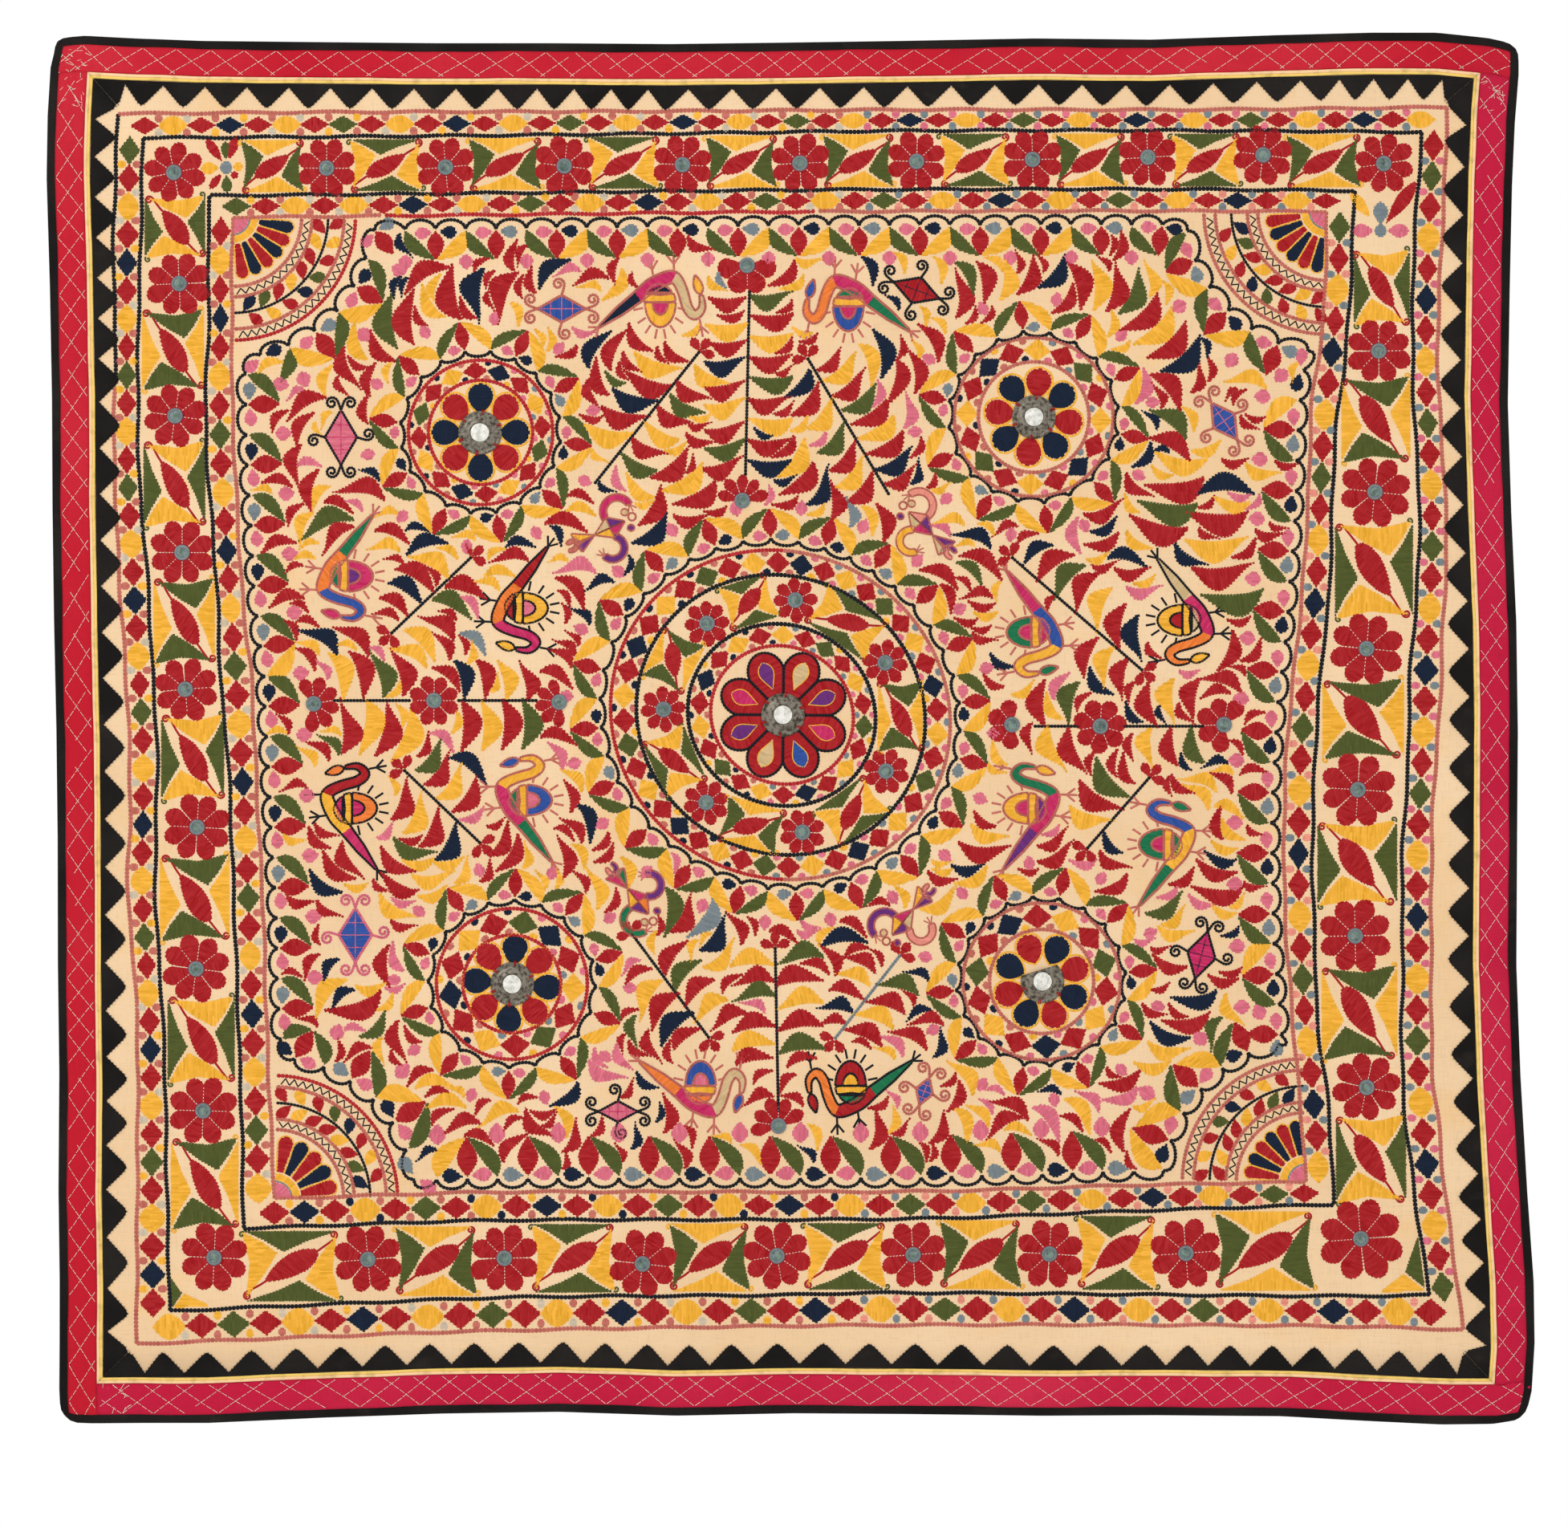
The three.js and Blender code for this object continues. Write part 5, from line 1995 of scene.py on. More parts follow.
@dataclass
class ScallopStem:
    """A scalloped stem with a spray at each cusp, red leaves and green and yellow pairs in turn."""

    bulge: float
    slim: float = 1.0
    heart: SprayLeaf = SprayLeaf((0, 2), (0, 38), 10.5, 0.45, 1.2)
    before: SprayLeaf = SprayLeaf((-5, 3), (-25, 5), 7.2, 0.62, 0.7)
    after: SprayLeaf = SprayLeaf((5, 2), (26, 4), 7.6, 0.64, 0.7)
    bud: SprayLeaf = SprayLeaf((0, 31), (0, 50), 8.0, 0.45, 1.0)
    wing_foot: float = 2.0
    wing_tip: float = 37.0
    wing_clear: float = 1.5
    wing_full: tuple[float, float] = (13.5, 16.5)
    wing_flat: float = 2.5
    most_taken: float = 0.12

    def work(self, needle: Needle, plan: FieldPlan, cusps: np.ndarray, leafward: np.ndarray,
             sizes: Sequence[float], green_on: Sequence[bool]) -> None:
        """Works the stem and its sprays.

        Args:
            needle: The needle that works it.
            plan: The field's plan, where worked places are left alone.
            cusps: The cusps in order round the stem, the first following the last.
            leafward: Unit direction of the leaves at each cusp.
            sizes: Size of each spray, 1 for those along the top of the field.
            green_on: Whether the green leaf of each cusp points onward.
        """
        stem = self._stem(cusps, leafward)
        needle.chain(Thread.BLACK, stem, VINE_CHAIN)
        for index, (spot, way) in enumerate(zip(cusps, leafward)):
            unit = CHART_STEP * sizes[index]
            broad = CHART_STEP * min(sizes[index], (1 + sizes[index]) / 2) * self.slim
            on = np.array((way[1], -way[0]))
            on = on if on @ (cusps[(index + 1) % len(cusps)] - spot) > 0 else -on
            if index % 2 == 0:
                cool = Thread.NAVY if index % 4 else Thread.GREY
                rows = ((Thread.RED, self.heart, unit, way), (Thread.PINK, self.before, broad, on),
                        (cool, self.after, broad, on))
            else:
                rows = ((Thread.PINK, self.bud, unit, on),)
            shapes = []
            for floss, leaf, scale, lay in rows:
                start, end = (spot + (tip[0] * on + tip[1] * way) * scale for tip in (leaf.start, leaf.end))
                outline = pointed(start, end, leaf.half * broad, leaf.half * broad, leaf.peak, leaf.blunt)
                shapes.append((floss, outline, lay))
            if index % 2:
                for floss, onward, full in zip((Thread.GREEN, Thread.YELLOW),
                                               (green_on[index], not green_on[index]), self.wing_full):
                    beside = (index + (1 if onward else -1)) % len(cusps)
                    clear = on * (self.wing_clear if onward else -self.wing_clear) * broad
                    tip = cusps[beside] + leafward[beside] * self.wing_tip * unit - clear
                    leftward = on[0] * way[1] - on[1] * way[0] > 0
                    left, right = (full, self.wing_flat) if onward == leftward else (self.wing_flat, full)
                    foot = spot + self.wing_foot * way * unit
                    shapes.append((floss, pointed(foot, tip, left * broad, right * broad, 0.38, 0.95), way))
            for floss, outline, lay in shapes:
                if plan.share_taken(outline, 0.0) < self.most_taken:
                    needle.fill(floss, outline, bearing(np.array((-lay[1], lay[0]))), 0.6)
                    plan.mark(outline, 0.6)
        plan.mark_line(stem, 3.5)

    def _stem(self, cusps: np.ndarray, leafward: np.ndarray) -> np.ndarray:
        """Draws the stem, swollen between the cusps to the side away from the leaves.

        Args:
            cusps: The cusps in order round the stem.
            leafward: Unit direction of the leaves at each cusp.

        Returns:
            The stem's line.
        """
        share = np.linspace(0, math.pi, 12)[:, None]
        stem = []
        for index in range(len(cusps)):
            here, there = cusps[index], cusps[(index + 1) % len(cusps)]
            out = leafward[index] + leafward[(index + 1) % len(cusps)]
            out = out / np.linalg.norm(out)
            run = here + (there - here) * (1 - np.cos(share)) / 2
            stem.append(run - out * self.bulge * CHART_STEP * np.sin(share))
        return np.vstack(stem)


@dataclass
class ScallopedVine:
    """The scalloped stem inside the inner frame line, hollowed round the four corner fans."""

    pitch: float = 37.6
    inset: float = 18.0
    hollow: float = 176.0
    bulge: float = 12.5
    heights: Sequence[float] = (1450.0, 1320.0, 400.0, 290.0)
    sizes: Sequence[float] = (1.38, 1.1, 1.1, 1.0)

    def track(self) -> tuple[np.ndarray, list[bool]]:
        """Draws the line of the cusps, clockwise from the top left.

        Returns:
            Its places, and whether each belongs to the top or bottom side.
        """
        unit = CHART_STEP
        runs, level = [], []
        order = ((Side.TOP, False), (Side.RIGHT, False), (Side.BOTTOM, True), (Side.LEFT, True))
        fans = {Side.TOP: (180, 270), Side.RIGHT: (90, 180), Side.BOTTOM: (0, 90), Side.LEFT: (-90, 0)}
        for side, backward in order:
            path = along_path(INNER_ROSE.side(side), 4.0)
            path = path[::-1] if backward else path
            corner = path[-1]
            keep = (np.linalg.norm(path - path[0], axis=1) > self.hollow * unit) & (
                np.linalg.norm(path - corner, axis=1) > self.hollow * unit)
            runs.append(path[keep] + turned(INWARD[side]) * self.inset * unit)
            level += [side in (Side.TOP, Side.BOTTOM)] * keep.sum()
            first, last = fans[side]
            lean = math.degrees(math.asin(self.inset / self.hollow))
            bend = arc(corner, self.hollow * unit, first + lean, last - lean, 60)
            runs.append(bend)
            level += [side in (Side.TOP, Side.BOTTOM)] * len(bend)
        return np.vstack(runs), level

    def work(self, needle: Needle, plan: FieldPlan) -> np.ndarray:
        """Works the vine.

        Args:
            needle: The needle that works it.
            plan: The field's plan.

        Returns:
            The line of the cusps.
        """
        track, level = self.track()
        ring = closed(track)
        length = np.linalg.norm(np.diff(ring, axis=0), axis=1).sum()
        count = 2 * round(length / (2 * self.pitch * CHART_STEP))
        cusps = along_path(ring, length / count)[:-1]
        way = np.roll(cusps, -1, axis=0) - np.roll(cusps, 1, axis=0)
        leafward = np.stack((way[:, 1], -way[:, 0]), axis=1) / np.linalg.norm(way, axis=1)[:, None]
        near = [level[int(np.argmin(np.linalg.norm(track - spot, axis=1)))] for spot in cusps]
        sizes = np.interp(cusps[:, 1], [chart(0, y)[1] for y in self.heights], self.sizes)
        ScallopStem(self.bulge).work(needle, plan, cusps, leafward, sizes, near)
        return track


class FanRow(NamedTuple):
    """A corner fan: which two sides meet there, its petals and the floss of its last arc."""

    corner: tuple[Side, int]
    first: float
    petals: str
    edge: Thread


@dataclass
class CornerFans:
    """The quarter-round fans in the corners of the field."""

    rows: Sequence[FanRow] = (
        FanRow((Side.TOP, 0), 270.0, "RNRNRN", Thread.SCARLET),
        FanRow((Side.TOP, -1), 180.0, "RNRNRN", Thread.ROSE),
        FanRow((Side.BOTTOM, -1), 90.0, "NRNRNR", Thread.ROSE),
        FanRow((Side.BOTTOM, 0), 0.0, "RNRNR", Thread.SCARLET),
    )
    leaf_colours: str = "RYRNGRYR"
    margin: float = 3.0
    heart: tuple[float, float] = (3.0, 20.0)
    heart_line: float = 21.5
    yellow: tuple[float, float] = (23.0, 31.0)
    petal: tuple[float, float] = (34.0, 69.0)
    bands: Pairs = ((86.0, 99.0), (139.0, 153.0))
    zigzag: float = 5.5
    stem: float = 119.0
    leaf_reach: float = 19.0
    leaf_half: float = 7.0
    room: float = 158.0

    def work(self, needle: Needle, plan: FieldPlan) -> None:
        """Works the four fans.

        Args:
            needle: The needle that works them.
            plan: The field's plan.
        """
        for row in self.rows:
            corner = INNER_ROSE.side(row.corner[0])[row.corner[1]]
            self._heart(needle, corner, row)
            self._bands(needle, corner, row)
            self._leaves(needle, corner, row)
            plan.mark(arc(corner, self.room * CHART_STEP, 0, 350, 24))

    def turns(self, row: FanRow, over: float = 0.0) -> tuple[float, float]:
        """Gives the bearings between which a fan is worked, or a little over them."""
        return row.first + self.margin - over, row.first + 90 - self.margin + over

    def _heart(self, needle: Needle, corner: np.ndarray, row: FanRow) -> None:
        """Works a fan's filled quarters and its petals.

        Args:
            needle: The needle that works them.
            corner: The fan's corner.
            row: The fan.
        """
        unit, (low, high) = CHART_STEP, self.turns(row)
        for floss, (inner, outer) in ((Thread.PINK, self.heart), (Thread.YELLOW, self.yellow)):
            quarter = np.vstack((arc(corner, inner * unit, low, high, 10),
                                 arc(corner, outer * unit, high, low, 14)))
            needle.fill(floss, quarter, math.radians(row.first + 45))
            if floss is Thread.PINK:
                needle.line(Thread.GREY, arc(corner, self.heart_line * unit, low, high), FAN_LINE)
        wide = (high - low) / len(row.petals)
        near, far = self.petal
        for index, letter in enumerate(row.petals):
            middle = low + wide * (index + 0.5)
            half = wide * 0.43
            tip = corner + turned(middle) * far * unit
            cap = far * math.radians(half) * unit * 1.02
            outline = np.vstack((arc(corner, near * unit, middle - half * 0.8, middle + half * 0.8, 3),
                                 arc(tip, cap, middle + 90, middle - 90, 9)))
            needle.fill(Thread(letter), outline, math.radians(middle + 90), 0.35)
            foot = [corner + turned(middle + side * half * 1.16) * near * unit for side in (1, -1)]
            rim = np.vstack((foot[0], arc(tip, cap * 1.17, middle + 90, middle - 90, 9), foot[1]))
            needle.line(Thread.YELLOW, rim, FAN_RIM_LINE)

    def _bands(self, needle: Needle, corner: np.ndarray, row: FanRow) -> None:
        """Works a fan's two zigzag bands, each between two arcs of chain.

        Args:
            needle: The needle that works them.
            corner: The fan's corner.
            row: The fan.
        """
        unit, (low, high), ends = CHART_STEP, self.turns(row), self.turns(row, 2)
        for (inner, outer), last in zip(self.bands, (Thread.ROSE, row.edge)):
            needle.chain(Thread.ROSE, arc(corner, inner * unit, *ends), FAN_CHAIN)
            needle.chain(last, arc(corner, outer * unit, *ends), FAN_CHAIN)
            steps = round(math.radians(86) * (inner + outer) / 2 / self.zigzag)
            zigzag = np.array([corner + turned(turn) * unit * (inner + 3 if step % 2 else outer - 3)
                               for step, turn in enumerate(np.linspace(low, high, steps))])
            for start, end in zip(zigzag, zigzag[1:]):
                needle.stitch(Thread.BLACK, start, end, 1.6, 0.7)

    def _leaves(self, needle: Needle, corner: np.ndarray, row: FanRow) -> None:
        """Works a fan's arched stem and the leaves on both sides of it.

        Args:
            needle: The needle that works them.
            corner: The fan's corner.
            row: The fan.
        """
        unit, (low, high) = CHART_STEP, self.turns(row)
        needle.chain(Thread.BLACK, arc(corner, self.stem * unit, *self.turns(row, 2)), FAN_STEM_CHAIN)
        count = len(self.leaf_colours)
        for index, letter in enumerate(self.leaf_colours):
            turn = low + (high - low) * (index + 0.5) / count
            for side in (1, -1):
                base = corner + turned(turn + 1.5 * side) * (self.stem + 2 * side) * unit
                tip = corner + turned(turn + 7.0) * (self.stem + self.leaf_reach * side) * unit
                floss = Thread(letter if side > 0 else self.leaf_colours[(index + 3) % count])
                leaf = pointed(base, tip, self.leaf_half * unit, self.leaf_half * unit, 0.6, 0.7)
                needle.fill(floss, leaf, bearing(tip - base) + math.pi / 2, 0.35)


class Ring(NamedTuple):
    """A small medallion: its place, ring radii, stem radius, lozenges, petals and flosses."""

    x: float
    y: float
    inner: float
    outer: float
    stem: float
    first_unit: float
    lozenges: str
    first_lozenge: float
    petals: str
    first_petal: float
    floss: Thread


# The four small medallions, by rows
SMALL_RINGS = [
    Ring(599, 539, 65, 90, 103, 101, "RNRYRGRYRNRYRGRY", 95, "NRNRNRNR", 90, Thread.SCARLET),
    Ring(1288, 520, 69, 99, 109, 97, "YRGRYRNRYRGRYRNR", 87, "RNRNRNRN", 82, Thread.ROSE),
    Ring(638, 1226, 61, 94, 107, 124, "RGNRYRGRYRNRY", 107, "NRNRNRNR", 85, Thread.SCARLET),
    Ring(1298, 1223, 65, 98, 108, 114, "RYRGRYRNRYRGRN", 94, "RNRNRNRN", 110, Thread.ROSE),
]


def ring_of_lozenges(needle: Needle, middle: np.ndarray, radius: float, colours: str, first: float,
                     high: float, drawn: Callable[[np.ndarray], np.ndarray] = np.array) -> None:
    """Works a ring of lozenges clockwise round a medallion, with dots at the joints.

    Args:
        needle: The needle that works it.
        middle: The medallion's middle.
        radius: Radius of the ring in chart steps.
        colours: Their flosses in order.
        first: Bearing of the first.
        high: Half their height in chart steps.
        drawn: Puts the places of a true circle on the ring as it was drawn.
    """
    unit, wide = CHART_STEP, 360 / len(colours)
    for index, letter in enumerate(colours):
        turn = first - wide * index
        ends = [middle + turned(turn + way * wide / 2) * radius * unit for way in (1, -1)]
        near, far = (middle + turned(turn) * (radius + way * high) * unit for way in (-1, 1))
        needle.fill(Thread(letter), drawn(np.array((ends[0], far, ends[1], near))), math.radians(turn), 0.45)
        rightward = turned(turn)[0] > 0
        other = Thread.YELLOW if letter in "GN" else Thread.GREY if rightward else Thread.NAVY
        warm = Thread.PINK if rightward else Thread.ROSE
        pair = (warm, other) if index % 2 else (other, warm)
        for floss, way in zip(pair, (1, -1)):
            spot = middle + turned(turn - wide / 2) * (radius + way * high * 0.82) * unit
            needle.fill(floss, drawn(disc(spot, high * 0.3 * unit, 8)), math.radians(turn), 0.1)


@dataclass
class SmallMedallions:
    """Four medallions round metal bosses: petals, a ring of lozenges and a scalloped stem."""

    petal_from: float = 24.0
    petal_to: float = 61.0
    petal_half: float = 15.6
    halo: float = 2.0
    cusps: int = 20
    bulge: float = 7.0
    slim: float = 0.8

    def work(self, needle: Needle, plan: FieldPlan) -> None:
        """Works all four.

        Args:
            needle: The needle that works them.
            plan: The field's plan.
        """
        unit = CHART_STEP
        for row in SMALL_RINGS:
            middle = chart(row.x, row.y)
            step = 360 / len(row.petals)
            for index, letter in enumerate(row.petals):
                way = turned(row.first_petal - step * index)
                start, end = middle + way * self.petal_from * unit, middle + way * self.petal_to * unit
                outline = pointed(start, end, self.petal_half * unit, self.petal_half * unit, 0.58, 0.5)
                needle.fill(Thread(letter), outline, bearing(way) + math.pi / 2, 0.3)
                half = (self.petal_half + self.halo) * unit
                halo = pointed(start - way, end + way * 2, half, half, 0.58, 0.5)
                needle.line(Thread.YELLOW, closed(halo), HALO_LINE)
            needle.chain(row.floss, arc(middle, row.inner * unit, 90, -270, 90), RING_CHAIN)
            needle.chain(row.floss, arc(middle, row.outer * unit, 90, -270, 110), RING_CHAIN)
            high = (row.outer - row.inner) / 2 - 1.5
            radius = (row.inner + row.outer) / 2
            ring_of_lozenges(needle, middle, radius, row.lozenges, row.first_lozenge, high)
            count = self.cusps
            turns = row.first_unit - 360 / count * np.arange(count)
            leafward = np.array([turned(turn) for turn in turns])
            plan.mark(disc(middle, row.stem * unit, 40))
            cusps = middle + leafward * row.stem * unit
            stem = ScallopStem(self.bulge, self.slim)
            stem.work(needle, plan, cusps, leafward, [1.0] * count, [True] * count)


@dataclass
class CentreMedallion:
    """The great medallion: eight outlined petals, two rings of lozenges, mirror flowers and a stem."""

    x: float = 976.0
    y: float = 891.0
    hearts: str = "CVMBCVMV"
    flowers: Pairs = ((991, 748), (1103, 826), (1104, 961), (1000, 1037), (880, 1000), (827, 884),
                      (881, 777))
    aside: tuple[float, float] = (0.017, 180.0)
    oval: tuple[float, float] = (0.031, 150.0)
    first_petal: float = 67.0
    petal: tuple[float, float] = (25.0, 82.0)
    heart: tuple[float, float] = (34.0, 70.0)
    heart_half: float = 9.5
    on_petal: float = 0.75
    inner_ring: float = 87.5
    inner_row: tuple[float, str, float, float] = (101.5, "YRGRYRGRYRNRYRGRYRNRYR", 90.0, 11.5)
    black_rings: tuple[float, float] = (115.0, 177.0)
    flower: float = 28.0
    flower_heart: float = 8.0
    flower_ring: float = 146.0
    space_end: float = 27.0
    space_half: float = 27.5
    outer_row: tuple[float, str, float, float] = (192.5, "RGRYRNRY" * 5, 128.0, 14.0)
    outer_ring: float = 208.0
    stem_room: float = 222.0
    stem: float = 223.0
    cusps: int = 40
    first_cusp: float = 94.0
    bulge: float = 8.0
    slim: float = 0.88

    def drawn(self, points: np.ndarray) -> np.ndarray:
        """Puts the places of true circles on the medallion's rings, drawn by hand a little aside and oval.

        Args:
            points: Places on or beside true circles.

        Returns:
            Their places on the cloth.
        """
        middle = chart(self.x, self.y)
        away = points - middle
        turn = np.degrees(np.arctan2(away[:, 1], away[:, 0]))
        aside = self.aside[0] * np.cos(np.radians(turn - self.aside[1]))
        oval = self.oval[0] * np.cos(np.radians(2 * (turn - self.oval[1])))
        return middle + away * (1 + aside + oval)[:, None]

    def ring(self, radius: float, first: float = 90.0, last: float = -270.0) -> np.ndarray:
        """Gives a ring's line as it was drawn, between two bearings."""
        return self.drawn(arc(chart(self.x, self.y), radius * CHART_STEP, first, last, 140))

    def work(self, needle: Needle, row: FlowerRow, plan: FieldPlan) -> list[np.ndarray]:
        """Works the medallion.

        Args:
            needle: The needle that works it.
            row: The maker of flowers and spaces.
            plan: The field's plan.

        Returns:
            Places of its small mirrors.
        """
        unit, middle = CHART_STEP, chart(self.x, self.y)
        for index, letter in enumerate(self.hearts):
            way = turned(self.first_petal - 45 * index)
            petal = row.petal(middle, way, *self.petal, 45.0)
            needle.fill(Thread.RED, petal, bearing(way) + math.pi / 2, 0.2)
            needle.chain(Thread.BLACK, closed(petal), PETAL_CHAIN, 0.2)
            start, end = (middle + way * far * unit for far in self.heart)
            heart = pointed(start, end, self.heart_half * unit, self.heart_half * unit, 0.64, 0.75)
            needle.fill(Thread(letter), heart, bearing(way) + math.pi / 2, 0.2, base=self.on_petal)
            needle.line(Thread.YELLOW, closed(heart), HEART_LINE, self.on_petal)
        needle.chain(Thread.SCARLET, self.ring(self.inner_ring), RING_CHAIN)
        ring_of_lozenges(needle, middle, *self.inner_row, self.drawn)
        for radius in self.black_rings:
            needle.chain(Thread.BLACK, self.ring(radius), FRAME_CHAIN)
        spots = [chart(*spot) for spot in self.flowers]
        turns = [math.degrees(bearing(spot - middle)) for spot in spots]
        for index, (spot, turn) in enumerate(zip(spots, turns)):
            row.flower(needle, spot, self.flower, row.petals, turn + 10, heart=self.flower_heart)
            row.heart_rim(needle, spot)
            after = turns[(index + 1) % len(turns)]
            gap = (turn - after) % 360
            way = turned(turn - gap / 2)
            clock = np.array((way[1], -way[0]))
            half = (math.radians(gap) * self.flower_ring / 2 - self.space_end) * unit
            between = self.drawn((middle + way * self.flower_ring * unit)[None])[0]
            place = Spot(tuple(between), tuple(clock * half), tuple(way * self.space_half * unit))
            row.space(needle, place, index % 2 == 1)
        ring_of_lozenges(needle, middle, *self.outer_row, self.drawn)
        needle.chain(Thread.SCARLET, self.ring(self.outer_ring, 90, 270), RING_CHAIN)
        needle.chain(Thread.ROSE, self.ring(self.outer_ring, -90, 90), RING_CHAIN)
        count = self.cusps
        leafward = np.array([turned(turn) for turn in self.first_cusp - 360 / count * np.arange(count)])
        plan.mark(self.drawn(disc(middle, self.stem_room * unit, 60)))
        cusps = self.drawn(middle + leafward * self.stem * unit)
        stem = ScallopStem(self.bulge, self.slim)
        stem.work(needle, plan, cusps, leafward, [1.0] * count, [True] * count)
        return spots


class Spray(NamedTuple):
    """A row of boat-shaped leaves: first and last place and the way they swell, their length and flosses."""

    x: float
    y: float
    faces: float
    to_x: float
    to_y: float
    to_faces: float
    length: float
    colours: str


class LoneLeaf(NamedTuple):
    """A single boat-shaped leaf: its floss, place, the way it swells and its length."""

    floss: str
    x: float
    y: float
    faces: float
    length: float


class Stem(NamedTuple):
    """A straight chain-stitched stem and whether a three-petalled sprig tops each end."""

    x: float
    y: float
    to_x: float
    to_y: float
    first_sprig: bool
    last_sprig: bool
    floss: Thread = Thread.BLACK


class AxisFlower(NamedTuple):
    """A whole or half flower on a stem: its place, radius, petals, their first bearing and their spread."""

    x: float
    y: float
    radius: float
    petals: int
    first: float
    spread: float


# Stems, axis flowers and leaves of the field, charted
STEMS = [Stem(*row) for row in (
    (741, 603, 872, 438, False, True), (934, 362, 929, 593, False, False),
    (1006, 446, 1108, 617, True, False), (487, 790, 588, 694, True, True),
    (503, 959, 599, 1051, True, True), (415, 873, 512, 873, False, False),
    (570, 873, 670, 873, False, False), (1288, 905, 1345, 905, False, False),
    (1398, 905, 1500, 905, False, False), (1260, 694, 1424, 836, True, True),
    (1433, 968, 1354, 1058, True, True), (787, 1163, 884, 1294, True, True),
    (966, 1180, 970, 1385, True, False), (1122, 1190, 1040, 1295, True, True, Thread.GREY),
)]
AXIS_FLOWERS = [AxisFlower(*row) for row in (
    (931, 331, 36, 4, 187, 56), (925, 624, 32, 5, 15, 37.5), (391, 877, 33, 6, -95, 42),
    (541, 873, 31, 8, 22, 45), (697, 875, 30, 5, 110, 40), (1261, 903, 31, 4, 100, 55),
    (1371, 905, 33, 7, 10, 360 / 7), (1525, 903, 35, 5, 55, 51), (970, 1403, 35, 5, 30, 40),
)]
SPRAYS = [Spray(*row) for row in (
    (906, 378, 270, 906, 587, 285, 52, "RYRNRYRGR"), (962, 374, 274, 959, 582, 270, 52, "GRYRGRYRN"),
    (816, 458, 250, 751, 565, 262, 58, "YRNRYR"), (875, 465, 240, 793, 582, 245, 48, "YRGRYRG"),
    (998, 471, 320, 1077, 608, 318, 52, "NRYRGRYR"), (1028, 444, 312, 1122, 597, 300, 52, "RYRGRYRNR"),
    (840, 584, 308, 869, 622, 300, 58, "RYR"), (993, 576, 325, 990, 603, 315, 56, "YR"),
    (1046, 626, 0, 1104, 651, 10, 48, "RSR"), (817, 635, 330, 820, 660, 310, 54, "RN"),
    (559, 365, 190, 620, 371, 158, 66, "RNR"), (505, 394, 180, 481, 400, 185, 64, "RG"),
    (543, 700, 60, 494, 751, 58, 54, "YRNR"), (586, 729, 75, 529, 799, 45, 52, "RGRY"),
    (428, 841, 18, 504, 836, 14, 57, "YRGR"), (580, 846, 15, 660, 846, 10, 48, "NRYR"),
    (436, 905, 0, 504, 915, 340, 64, "RYRY"), (585, 905, 0, 661, 902, 0, 60, "RYRG"),
    (529, 945, 320, 585, 995, 325, 51, "GRYR"), (502, 998, 338, 564, 1051, 330, 55, "RYRN"),
    (1230, 352, 10, 1312, 344, 320, 50, "RYRN"), (1345, 352, 15, 1412, 365, 335, 58, "RYRG"),
    (1425, 397, 315, 1477, 449, 312, 62, "RYRN"), (1459, 484, 40, 1462, 553, 60, 56, "RGR"),
    (1464, 611, 278, 1425, 682, 248, 70, "RGRY"), (1507, 650, 270, 1531, 750, 275, 72, "RYRG"),
    (1306, 701, 125, 1407, 796, 183, 56, "RGRYRN"), (1271, 730, 140, 1304, 748, 150, 30, "RYR"),
    (1352, 816, 160, 1394, 844, 170, 50, "RYR"), (1293, 876, 180, 1329, 876, 165, 56, "RG"),
    (1425, 876, 190, 1482, 872, 170, 54, "RYR"), (1296, 935, 200, 1328, 932, 200, 58, "YR"),
    (1427, 932, 180, 1485, 929, 200, 48, "YRG"), (1379, 975, 220, 1353, 1022, 250, 62, "GRY"),
    (856, 1141, 330, 902, 1167, 320, 54, "RSNR"), (837, 1189, 148, 896, 1275, 115, 49, "RGRYR"),
    (799, 1243, 150, 860, 1293, 122, 56, "YRNRG"), (937, 1183, 92, 940, 1369, 106, 52, "YRGRYRNR"),
    (996, 1188, 98, 996, 1358, 95, 56, "GRYRGRY"), (1074, 1196, 62, 1042, 1271, 88, 43, "RYRNR"),
    (1117, 1222, 75, 1078, 1286, 65, 52, "GRYR"),
)]
